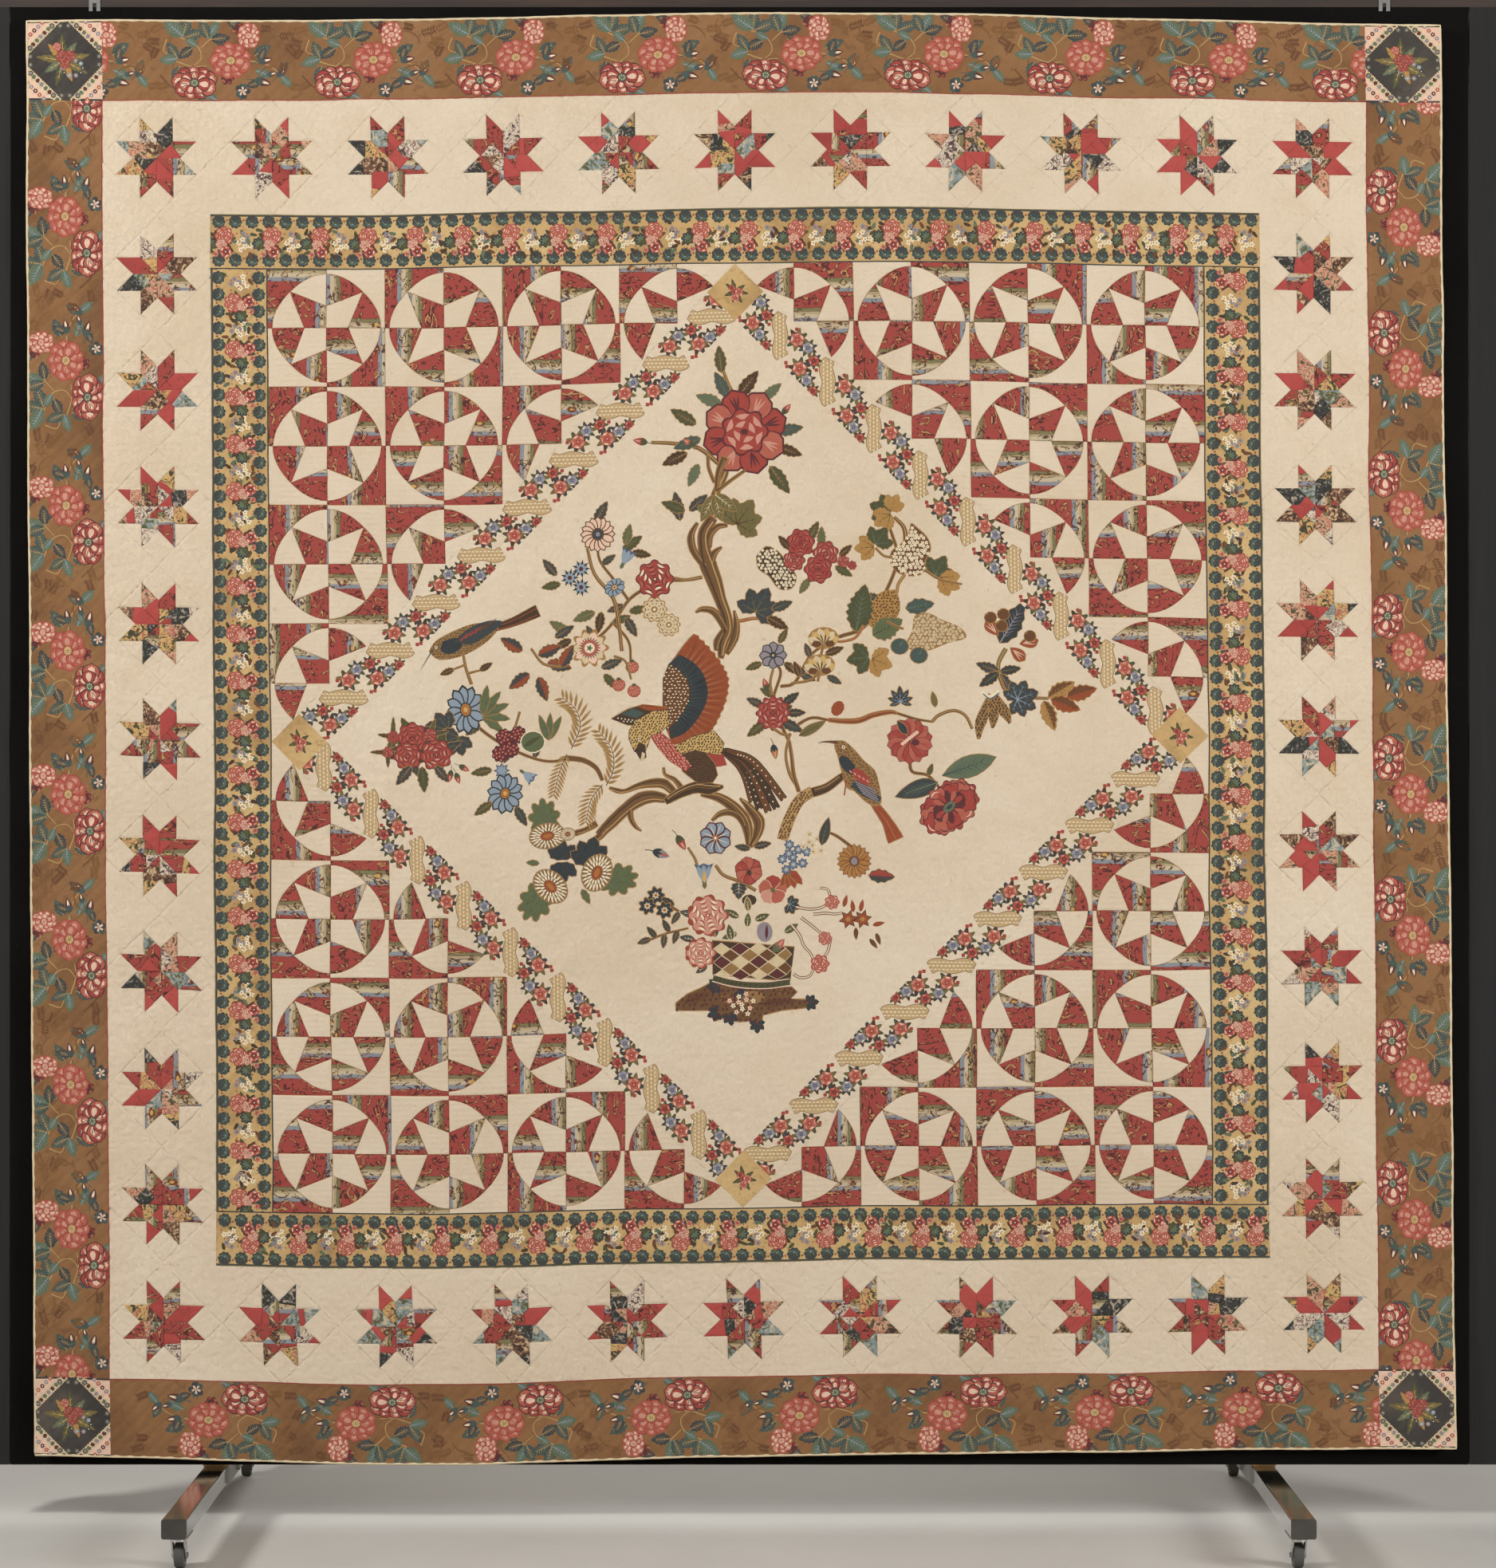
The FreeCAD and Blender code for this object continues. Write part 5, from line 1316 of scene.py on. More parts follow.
    # A striped flower that hangs at the far end, under a ruffled leaf.
    palmate(page.at(0.583, 0.073, 20), 0.048, "slate", "sky", 7, 44, 3)
    for tip in ([(0.505, 0.026), (0.500, -0.009)], [(0.532, 0.040), (0.530, 0.015)],
                [(0.556, 0.046), (0.566, 0.025)]):
        petal = stroke([(0.531, 0.080)] + tip, (0.018, 0.020, 0.004), 5)
        page.ink(grown(petal, 0.0020), "edge")
        page.ink(petal, "tan")
        speckle(page, petal, 0.0068, 0.0030, "umber", 3, 80)
    page.ink(stroke([(0.509, 0.088), (0.524, 0.078), (0.545, 0.090)], (0.007,), 4), "ivory")
    page.ink(stroke([(0.511, 0.084), (0.526, 0.074), (0.545, 0.086)], (0.0026,), 4), "blue")


def left_side(page):
    perching_bird(page.at(-0.603, 0.196))
    stalk(page, [(-0.580, 0.183), (-0.574, 0.150), (-0.563, 0.118)], (0.003, 0.005))
    stalk(page, [(-0.576, 0.158), (-0.600, 0.150)], (0.003, 0.002))
    stalk(page, [(-0.572, 0.140), (-0.545, 0.146)], (0.003, 0.002))
    leaf_spray(page, ((-0.600, 0.150, 200, 0.030), (-0.545, 0.146, 30, 0.030)), ("umber",))
    daisy(page.at(-0.575, 0.066, 8), 0.042, 12, "sky", "navy", "orange", "yellow", 1.0, 1.25, 0.30)
    for a in (-60, -30, 0, 30, 60):
        leaf(page.at(-0.540, 0.056, a + 20), 0.060, 0.018, "green", "sage", 3, 4, "edge")
    palmate(page.at(-0.612, 0.026, 170), 0.048, "slate", "olive", 5, 42, 3)
    palmate(page.at(-0.590, 0.010, 240), 0.044, "slate", "olive", 5, 42, 3)
    red_bunch(page, ((-0.687, 0.008, 0.030), (-0.697, -0.030, 0.027), (-0.637, -0.027, 0.031),
                     (-0.727, 0.010, 0.012),
                     (-0.738, -0.022, 0.011), (-0.650, 0.014, 0.013)), 4)
    leaf_spray(page, ((-0.690, -0.050, 230, 0.050), (-0.668, -0.052, 275, 0.052),
                      (-0.640, -0.050, 310, 0.044)), ("slate", "moss"))
    for x, h, turn in ((-0.588, -0.050, -30), (-0.596, -0.066, -70), (-0.606, -0.060, -100)):
        bud(page.at(x, h, turn), 0.024)
    stalk(page, [(-0.500, -0.040), (-0.480, 0.000), (-0.460, 0.060)], (0.004, 0.003))
    for i, (x, h) in enumerate(((-0.494, 0.008), (-0.464, 0.013), (-0.480, -0.017), (-0.502, -0.026))):
        berries(page.at(x, h, 40 * i), 0.018, 12, "red", "ivory", "plum")
    page.at(-0.433, -0.003).ink(oval(0.027, 0.024, 14), "ivory")
    page.at(-0.433, -0.003).ink(oval(0.0245, 0.0215, 14), "green")
    leaf(page.at(-0.452, -0.012, 30), 0.042, 0.010, "moss", None)
    for a in (60, 85, 110):
        leaf(page.at(-0.400, 0.000, a), 0.056, 0.014, "green", "sage", 0, 3, "edge")
    page.at(-0.499, -0.062).ink(spiky(0.018, 8, 0.4), "blue")
    page.at(-0.499, -0.062).ink(spiky(0.013, 8, 0.4), "sky")
    daisy(page.at(-0.492, -0.111, -10), 0.039, 12, "sky", "navy", "orange", "yellow", 1.0, 1.15, 0.30)
    trumpet(page.at(-0.460, -0.062, -38), 0.036)
    leaf_spray(page, ((-0.520, -0.060, 190, 0.044), (-0.470, -0.140, 300, 0.046),
                      (-0.520, -0.130, 215, 0.044)), ("moss", "slate"))
    for x, h, turn in ((-0.455, 0.186, 150), (-0.420, 0.176, 20), (-0.400, 0.160, -15), (-0.372, 0.150, 60),
                       (-0.440, 0.138, 215),
                       (-0.420, 0.130, -70)):
        two_tone_leaf(page.at(x, h, turn), 0.052, 0.024, "slate", "rust", 5)
    stalk(page, [(-0.436, 0.190), (-0.410, 0.158), (-0.372, 0.150)], (0.003, 0.004))
    leaf_spray(page, ((-0.384, 0.212, 30, 0.046),), ("slate",))
    twig(page, [(-0.362, -0.039), (-0.327, -0.045), (-0.300, -0.062), (-0.287, -0.088)],
         (0.010, 0.009, 0.008, 0.006), "bark", "edge")
    frond(page, [(-0.352, -0.020), (-0.333, 0.025), (-0.341, 0.061), (-0.369, 0.086)], 0.034, 12)
    frond(page, [(-0.362, -0.031), (-0.378, -0.070), (-0.390, -0.117)], 0.024, 11)
    frond(page, [(-0.279, -0.099), (-0.263, -0.065), (-0.266, -0.023), (-0.294, 0.016)], 0.031, 12)
    frond(page, [(-0.287, -0.097), (-0.312, -0.128), (-0.324, -0.175)], 0.029, 11)


def great_branch(page):
    """The forked branch that the great bird stands on."""
    limbs(page, (
        ([(-0.155, -0.129), (-0.180, -0.124), (-0.208, -0.129), (-0.239, -0.149), (-0.267, -0.174),
          (-0.297, -0.202)],
         (0.016, 0.022, 0.026, 0.022, 0.022, 0.016)),
        ([(-0.302, -0.178), (-0.323, -0.190), (-0.347, -0.198)], (0.012, 0.008, 0.010)),
        ([(-0.281, -0.184), (-0.293, -0.202), (-0.302, -0.210)], (0.018, 0.010)),
        ([(-0.138, -0.115), (-0.158, -0.098), (-0.183, -0.096), (-0.211, -0.101), (-0.239, -0.111),
          (-0.256, -0.110),
          (-0.272, -0.104)], (0.014, 0.018, 0.016, 0.010, 0.006, 0.008, 0.004)),
        ([(-0.230, -0.146), (-0.228, -0.168), (-0.219, -0.185), (-0.207, -0.195)],
         (0.012, 0.009, 0.006, 0.001)),
        ([(-0.122, -0.107), (-0.136, -0.090), (-0.155, -0.079), (-0.158, -0.065)],
         (0.010, 0.007, 0.004, 0.003)),
        ([(-0.080, -0.121), (-0.044, -0.129), (-0.013, -0.149), (0.009, -0.174), (0.018, -0.199),
          (0.019, -0.232)],
         (0.008, 0.016, 0.020, 0.022, 0.018, 0.006)),
        ([(0.001, -0.132), (0.020, -0.151), (0.040, -0.179), (0.037, -0.207), (0.023, -0.232)],
         (0.002, 0.014, 0.022, 0.016, 0.006)),
        ([(-0.058, -0.176), (-0.041, -0.163), (-0.019, -0.160), (0.001, -0.171), (0.012, -0.193)],
         (0.004, 0.009, 0.012, 0.012, 0.008)),
    ))
    perch = ([(-0.155, -0.135), (-0.124, -0.118), (-0.091, -0.107), (-0.063, -0.110), (-0.035, -0.107)],
             (0.012, 0.018, 0.022, 0.024, 0.004))
    limbs(page, (perch,), "umber")
    great_bird(page)
    flower = page.at(-0.051, -0.213, 22)
    daisy(flower, 0.036, 8, "sky", "plum", "rust", "ivory", 0.98, 1.0, 0.24)
    for i in range(8):
        flower.at(0, 0, 45 * i).ink(leaf_shape(0.033, 0.0014, n=3), "ivory")
    bud(page.at(-0.132, -0.208, -60), 0.034)
    bud(page.at(-0.182, -0.238, -20), 0.036, "lilac", "navy", "rose")
    stalk(page, [(-0.110, -0.232), (-0.095, -0.256), (-0.088, -0.280)], (0.003, 0.004))
    leaf_spray(page, ((0.030, -0.232, 10, 0.036), (0.022, -0.236, 170, 0.032)), ("navy", "slate"))


def lower_part(page):
    # The pale flowers at the lower left, each with a lobed leaf.
    lobed(page.at(-0.410, -0.166, 96), 0.034)
    lobed(page.at(-0.428, -0.337, 235), 0.036)
    lobed(page.at(-0.257, -0.295, 12), 0.034)
    leaf(page.at(-0.422, -0.259, 175), 0.026, 0.011, "green", "sage", 3, 3, "edge")
    leaf(page.at(-0.334, -0.314, -62), 0.034, 0.014, "green", "sage", 3, 3, "edge")
    palmate(page.at(-0.374, -0.252, 92), 0.044, "navy", "slate", 3, 44, 3)
    palmate(page.at(-0.374, -0.258, -88), 0.044, "navy", "slate", 3, 44, 3)
    palmate(page.at(-0.318, -0.262, 78), 0.058, "navy", "slate", 5, 34, 3)
    protea(page.at(-0.404, -0.202, 8), 0.036, 0.026)
    protea(page.at(-0.362, -0.199, 8), 0.015, 0.013, "tan")
    protea(page.at(-0.399, -0.307, -45), 0.038, 0.029)
    protea(page.at(-0.302, -0.280, 65), 0.038, 0.030)
    # The rocks under the basket.
    rocks = dense([(-0.138, -0.557), (-0.113, -0.538), (-0.088, -0.527), (-0.062, -0.513), (-0.029, -0.518),
                   (0.105, -0.527),
                   (0.116, -0.537), (0.102, -0.552), (0.155, -0.555), (0.158, -0.562), (0.144, -0.569),
                   (0.082, -0.574),
                   (0.043, -0.583), (0.038, -0.608), (0.029, -0.613), (0.021, -0.594), (-0.007, -0.596),
                   (-0.043, -0.588),
                   (-0.057, -0.594), (-0.065, -0.571), (-0.101, -0.571), (-0.138, -0.571)], 0.02)
    page.ink(grown(rocks, 0.0024), "edge")
    page.ink(rocks, "bark")
    page.at(0.018, -0.546).ink(oval(0.030, 0.014, 12), "tan")
    for x, h, turn, length, wide, tone in ((-0.120, -0.556, 22, 0.060, 0.020, "brown"),
                                           (-0.050, -0.546, -8, 0.060, 0.022, "sepia"),
                                           (0.040, -0.560, 4, 0.080, 0.018, "brown"),
                                           (0.062, -0.536, 2, 0.046, 0.014, "sepia")):
        leaf(page.at(x, h, turn), length, wide, tone, "umber", 4, 5)
    for x, h, turn in ((-0.053, -0.577, 200), (-0.026, -0.584, -80), (0.031, -0.601, -90),
                       (0.142, -0.560, 5), (-0.053, -0.520, 190),
                       (-0.008, -0.532, -20)):
        palmate(page.at(x, h, turn), 0.022, "navy", "slate", 5, 50, 2, None)
    speckle(page, rocks, 0.012, 0.0040, "plum", 7, 60)
    for k in range(12):
        a, far = 2.4 * k, 0.0046 * math.sqrt(k)
        floret(page.at(-0.001 + 2.0 * far * math.cos(a), -0.560 + 1.5 * far * math.sin(a), 30 * k), 0.0065,
               ("ivory", "blush")[k % 2], "rust")
    basket(page)
    # The flowers that fill the basket.
    stalk(page, [(-0.051, -0.270), (-0.035, -0.290), (-0.001, -0.304), (0.032, -0.323)], (0.005, 0.005))
    page.at(0.018, -0.343).ink(oval(0.016, 0.012, 9), "umber")
    trumpet(page.at(-0.075, -0.316, 92), 0.050, "sky", "blue", "olive")
    page.at(-0.075, -0.306, 92).ink(leaf_shape(0.026, 0.010, n=5), "yellow")
    leaf(page.at(-0.003, -0.306, -92), 0.034, 0.030, "slate", "paper", 4, 3, "edge", 0.3)
    for x, h, turn, length, tone in (
        (-0.004, -0.379, 150, 0.034, "moss"), (0.029, -0.385, 20, 0.034, "moss"),
                                     (0.013, -0.399, 85, 0.030, "moss"),
        (-0.008, -0.411, 200, 0.034, "moss"), (0.016, -0.366, 95, 0.030, "olive"),
                                     (-0.054, -0.420, 95, 0.038, "slate"),
        (-0.071, -0.477, 215, 0.030, "slate"), (-0.096, -0.374, 165, 0.034, "slate"),
                                     (-0.096, -0.424, 170, 0.034, "slate"),
        (-0.020, -0.426, 100, 0.034, "moss"), (0.040, -0.424, 80, 0.030, "slate"),
                                     (0.092, -0.412, 30, 0.034, "moss"),
    ):
        leaf(page.at(x, h, turn), length, length * 0.44, tone, "paper", 0, 3, "paper")
    for x, h, r, turn in ((-0.069, -0.374, 0.037, 20), (-0.085, -0.452, 0.028, 0)):
        page.at(x, h).ink(scalloped(r * 1.12, 9, 0.14), "rust")
        rose(page.at(x, h), r, ("pink", "blush", "ivory", "red"), 8, turn)
    fringed(page.at(0.018, -0.282), 0.029, 6, ("red", "rose"), 360, 10, 0.95)
    page.at(0.019, -0.286).ink(spiky(0.008, 8, 0.5), "umber")
    five = page.at(0.068, -0.323, 18)
    for i, tone in enumerate(("rose", "red", "rose", "pink", "rose")):
        five.at(0, 0, 72 * i).ink(grown(petal_shape(0.031, 0.032), 0.0012), "paper")
        five.at(0, 0, 72 * i).ink(petal_shape(0.031, 0.032), tone)
    five.ink(oval(0.005, 0.006, 8), "olive")
    palmate(page.at(0.102, -0.354, -20), 0.024, "navy", "sky", 5, 44, 3)
    for turn in (-122, -100, -76, -50):
        two_tone_leaf(page.at(0.105, -0.284, turn), 0.038, 0.016, "rust", "red", 2)
    bud_head = page.at(0.050, -0.410, 96)
    bud_head.ink(grown(oval(0.021, 0.017, 12), 0.0014), "paper")
    bud_head.ink(oval(0.021, 0.017, 12), "lilac")
    bud_head.at(-0.016, -0.002, -8).ink(leaf_shape(0.032, 0.007, n=4), "plum")
    bud(page.at(0.070, -0.450, 48), 0.034, "rose", "green", "pink")
    # The blue-grey blossoms and the white flowers to the right of the poppy.
    for k in range(9):
        a, far = 2.4 * k, 0.011 * math.sqrt(k)
        blossom = page.at(0.110 + far * math.cos(a), -0.256 + far * math.sin(a), 30 * k)
        blossom.ink(scalloped(0.0098, 7, 0.2), "blue")
        blossom.ink(spiky(0.0080, 7, 0.5), "sky")
        blossom.ink(oval(0.0026, 0.0026, 5), "paper")
    for k in range(7):
        a, far = 2.4 * k, 0.0095 * math.sqrt(k)
        floret(page.at(0.151 + far * math.cos(a), -0.232 + far * math.sin(a), 30 * k), 0.0085, "paper",
               "rust")
    leaf(page.at(0.170, -0.232, 75), 0.060, 0.020, "slate", "olive", 0, 4, "edge")
    golden = page.at(0.238, -0.266)
    fringed(golden, 0.036, 18, ("amber", "orange"), 360, 0, 0.30)
    golden.ink(oval(0.011, 0.011, 12), "brown")
    golden.ink(oval(0.007, 0.008, 10), "lilac")
    two_tone_leaf(page.at(0.268, -0.296, -4), 0.055, 0.026, "slate", "red", 4)
    # The tangle of outlined stems to the right of the basket, with its small flowers.
    for points in (
        [(0.116, -0.360), (0.144, -0.365), (0.169, -0.362), (0.186, -0.348), (0.183, -0.326),
         (0.166, -0.321)],
        [(0.127, -0.382), (0.149, -0.399), (0.166, -0.413), (0.177, -0.424)],
        [(0.107, -0.396), (0.124, -0.418), (0.133, -0.440), (0.147, -0.457), (0.155, -0.479)],
        [(0.110, -0.499), (0.124, -0.507), (0.144, -0.504), (0.155, -0.485)],
        [(0.152, -0.376), (0.177, -0.374), (0.197, -0.376), (0.211, -0.374)],
        [(0.188, -0.429), (0.183, -0.452), (0.172, -0.468)],
    ):
        page.ink(stroke(points, (0.0066, 0.0054), 5), "moss")
        page.ink(stroke(points, (0.0032, 0.0026), 5), "blush")
    for x, h, r in ((0.191, -0.351, 0.014), (0.177, -0.426, 0.013), (0.166, -0.479, 0.018)):
        rose(page.at(x, h), r, ROSE_PINK, 7)
    for x, h in ((0.225, -0.387), (0.255, -0.387)):
        page.at(x, h, 12).ink(spiky(0.021, 6, 0.46), "umber")
        page.at(x, h, 12).ink(spiky(0.018, 6, 0.46), "rust")
        page.at(x, h).ink(spiky(0.007, 6, 0.5), "amber")
    for x, h, turn in ((0.215, -0.362, 75), (0.236, -0.373, 98), (0.250, -0.372, 78), (0.241, -0.404, -88),
                       (0.276, -0.400, 12),
                       (0.284, -0.416, -70), (0.270, -0.428, -50)):
        leaf(page.at(x, h, turn), 0.027, 0.010, "rust" if turn > 0 else "brown", None, 0, 0)


# ---------------------------------------------------------------- the pieced blocks
ARM, ROUND, ROUND_TIP = 0.046, 0.114, 0.108


def arc(start, stop, n):
    a = np.radians(np.linspace(start, stop, n))
    r = ROUND - (ROUND - ROUND_TIP) * np.sin(2 * a) ** 2
    return np.stack([r * np.cos(a), r * np.sin(a)], axis=-1)


def block(cloth, x, h, flip, rng):
    """A square block: a circle in four quarters, each a kite between two side pieces, print next to white."""
    half = BLOCK / 2
    tip = arc(45, 45, 1)[0]
    kite = [(0, 0), (ARM, 0), tip, (0, ARM)]
    side = np.concatenate([[(ARM, 0)], arc(0, 45, 8)])
    other = side[:, ::-1]
    corner = np.concatenate([arc(0, 90, 15), [(0, half), (half, half), (half, 0)]])
    for quarter in range(4):
        pen = Pen(cloth, x, h, 90 * quarter)
        solid = (quarter % 2 == 1) != flip
        for shape in (kite, corner) if solid else (side, other):
            outline = pen.shape(dense(shape, 0.012))
            cloth.ink(grown(outline, 0.0008), INKS["orange"])
            cloth.piece(outline, REDS[rng.integers(len(REDS))], 0.0011)


def dense(outline, step):
    """An outline with its long edges split."""
    p = np.asarray(outline, float)
    out = []
    for a, b in zip(p, np.roll(p, -1, axis=0)):
        count = max(1, int(np.linalg.norm(b - a) / step))
        out += [a + (b - a) * i / count for i in range(count)]
    return np.array(out)


def star(cloth, x, h, rng):
    """An eight-pointed star. Each diamond is pieced from two or three slanting strips of scraps."""
    long, waist, half = 0.092, 0.046, 0.0191
    fabrics = SCRAPS + [SOLID_RED] * 3 + REDS[:4]
    for i in range(8):
        pen = Pen(cloth, x, h, 22.5 + 45 * i)
        cuts = [0.0] + sorted(rng.uniform(0.24, 0.78, 2) * long)
        lean = rng.choice([-0.4, 0.4]) * rng.uniform(0.6, 1)
        if cuts[2] - cuts[1] < 0.012:
            cuts.pop()
        diamond = [(0, 0), (waist, -half), (long, 0), (waist, half)]
        cloth.piece(pen.shape(diamond), fabrics[rng.integers(len(fabrics))], 0.0010)
        for cut in cuts[1:]:
            # What is left of the diamond beyond a slanting cut.
            strip = beyond(diamond, cut, lean)
            if len(strip) > 2:
                cloth.piece(pen.shape(strip), fabrics[rng.integers(len(fabrics))], 0.0010)


def beyond(outline, cut, lean):
    """The part of an outline past the line x = cut + lean * y."""
    out = []
    for (ax, ay), (bx, by) in zip(outline, outline[1:] + outline[:1]):
        da, db = ax - cut - lean * ay, bx - cut - lean * by
        if da >= 0:
            out.append((ax, ay))
        if (da > 0) != (db > 0) and da != db:
            t = da / (da - db)
            out.append((ax + (bx - ax) * t, ay + (by - ay) * t))
    return out


# ---------------------------------------------------------------- printed borders: u along, v outwards
def open_peony(pen, rx, ry, tones, heart, turn=0.0):
    """A wide flower seen from the front: ragged petals with pale veins round a dotted heart."""
    base, petal, light, dark = tones
    for ring, (k, count) in enumerate(((1.0, 9), (0.70, 7))):
        for i in range(count):
            a = math.radians(turn + 360 * (i + 0.5 * ring) / count)
            reach = k * math.hypot(rx * math.cos(a), ry * math.sin(a))
            p = pen.at(0, 0, math.degrees(math.atan2(ry * math.sin(a), rx * math.cos(a))))
            wide = reach * (0.86 if ring else 0.80)
            p.ink(petal_shape(reach, wide, 7), dark)
            p.at(0.1 * reach, 0).ink(petal_shape(reach * 0.86, wide * 0.84, 7),
                                     (base, petal)[(i + ring) % 2])
            p.at(0.24 * reach, 0).ink(petal_shape(reach * 0.62, wide * 0.40, 5), light)
            for j in (-1, 1):
                p.at(0.35 * reach, 0, 15 * j).ink(leaf_shape(0.56 * reach, 0.05 * reach, n=3),
                                                  dark if i % 2 else light)
    pen.ink(scalloped(0.30 * ry, 8, 0.1), dark)
    pen.ink(oval(0.26 * ry, 0.22 * ry, 9), heart)
    for i in range(7):
        pen.at(0.15 * ry * math.cos(0.9 * i), 0.13 * ry * math.sin(0.9 * i)).ink(oval(0.035 * ry,
                                                            0.035 * ry, 4), "ivory")


def sprig(pen, length, tone="umber", leaves=5):
    pen.ink(stroke([(0, 0), (0.5 * length, 0.12 * length), (length, 0)], (0.0016, 0.0008), 3), tone)
    for k in range(leaves):
        for s in (-1, 1):
            pen.at(length * (0.2 + 0.75 * k / leaves), 0.06 * length,
                   55 * s).ink(leaf_shape(0.011, 0.0045, n=3), tone)


def garland(pen, rng):
    """One repeat of the outer border's trailing peonies."""
    for u, v, turn, length in ((-0.205, 0.050, 10, 0.040), (-0.190, 0.036, -30, 0.034),
                               (-0.168, 0.000, 60, 0.030),
                               (0.128, 0.056, 20, 0.036), (0.120, 0.040, -10, 0.030),
                               (0.118, -0.056, 10, 0.034),
                               (-0.160, -0.060, 15, 0.030), (0.090, 0.066, 170, 0.026),
                               (-0.190, -0.030, 80, 0.026)):
        sprig(pen.at(u, v, turn + rng.uniform(-15, 15)), length, "brown" if rng.random() < 0.5 else "sepia")
    for u, v, turn in ((-0.230, 0.030, 60), (-0.150, 0.055, 200), (0.150, -0.010, 30),
                       (-0.215, -0.040, 110)):
        pen.at(u, v, turn).ink(crescent(0.030, 0.0040, 130, 8), "sepia")
    pen.ink(stroke([(-0.150, -0.030), (-0.120, -0.056), (-0.076, -0.045)], (0.003, 0.002)), "brown")
    for points in ([(-0.110, 0.050), (-0.070, 0.030), (-0.062, 0.004), (-0.080, -0.012)],
                   [(-0.036, 0.050), (-0.062, 0.026)],
                   [(-0.118, 0.000), (-0.080, -0.012), (-0.050, -0.010)],
                   [(0.040, 0.000), (0.080, -0.010), (0.112, -0.034)],
                   [(-0.135, 0.044), (-0.142, 0.020), (-0.124, 0.012)],
                   [(0.030, 0.036), (0.020, 0.056), (0.004, 0.062)]):
        pen.ink(stroke(points, (0.0026, 0.0014), 4), "straw")
    for u, v, turn, size, tone in (
        (-0.100, 0.050, 80, 0.040, "teal"), (-0.100, 0.050, 145, 0.046, "sage"),
                                   (-0.096, 0.048, 20, 0.040, "teal"),
        (-0.050, 0.046, 62, 0.042, "sage"), (-0.046, 0.046, 110, 0.038, "teal"),
                                   (-0.040, 0.044, 10, 0.036, "slate"),
        (-0.030, 0.030, -20, 0.034, "teal"), (-0.080, 0.026, 210, 0.034, "slate"),
                                   (-0.070, 0.030, 150, 0.028, "sage"),
        (-0.112, 0.006, 120, 0.034, "teal"), (-0.112, 0.004, 190, 0.036, "sage"),
                                   (-0.108, -0.012, 250, 0.034, "teal"),
        (-0.100, -0.012, 290, 0.030, "slate"), (0.026, -0.046, 260, 0.030, "teal"),
                                   (0.050, 0.010, 30, 0.036, "teal"),
        (0.052, -0.020, -20, 0.034, "sage"), (0.062, -0.044, 200, 0.026, "slate"),
                                   (0.100, -0.030, 60, 0.030, "teal"),
        (0.104, -0.030, -50, 0.030, "sage"), (0.060, 0.000, 70, 0.028, "slate"),
                                   (-0.070, -0.078, 20, 0.026, "teal"),
        (-0.028, -0.080, 150, 0.026, "sage"), (0.024, 0.070, 160, 0.028, "slate"),
    ):
        turn, size = turn + rng.uniform(-8, 8), size * rng.uniform(1.08, 1.22)
        leaf(pen.at(u, v, turn), size, size * 0.56, tone, "sky" if tone == "sage" else "straw", 5, 5)
    small_rose(pen.at(0.018, 0.066), 0.012, ("plum", "plum", "red", "umber"))
    open_peony(pen.at(0.038, 0.052), 0.025, 0.029, ("rose", "pink", "blush", "red"), "pink", 20)
    open_peony(pen.at(-0.076, -0.045), 0.051, 0.035, ("rose", "red", "blush", "plum"), "sage",
               rng.uniform(0, 40))
    small_rose(pen.at(-0.006, -0.036), 0.013, ("plum", "red", "rose", "umber"))
    open_peony(pen, 0.045, 0.039, ("rose", "rose", "pink", "red"), "straw", rng.uniform(0, 40))
    for u, v, turn, size in ((0.058, -0.002, 10, 0.030), (0.052, -0.040, -15, 0.034),
                             (0.098, -0.032, 40, 0.026),
                             (0.076, -0.030, 15, 0.022)):
        bud(pen.at(u, v, turn), size, "plum", "teal", "ivory")
    for i in range(5):
        pen.at(0.025, -0.063, 72 * i).ink(petal_shape(0.017, 0.012), "teal" if i % 2 else "slate")
        pen.at(0.025, -0.063, 72 * i + 20).ink(petal_shape(0.010, 0.005), "blush")


def lace_edge(pen, pitch, count, v, face):
    """A row of separate dark rounds, shaded like fans of leaves, as along both edges of the inner border."""
    for i in range(count):
        p = pen.at((i + 0.5) * pitch, v)
        p.at(0, 0.16 * pitch * face).ink(spiky(0.38 * pitch, 11, 0.35), "tan")
        p.ink(scalloped(pitch * 0.39, 9, 0.10), "slate")
        for k in range(5):
            turn = 90 * face - 64 + 32 * k
            vein = leaf_shape(0.50 * pitch, 0.10 * pitch, n=3)
            p.at(0, -0.26 * pitch * face, turn).ink(vein, ("sage", "teal", "moss")[k % 3])
        p.at(0, -0.10 * pitch * face).ink(oval(0.06 * pitch, 0.045 * pitch, 5), "sky")
        for sign in (-1, 1):
            p.at(0.5 * pitch * sign, 0.10 * pitch * face).ink(spiky(0.10 * pitch, 5, 0.5), "rust")


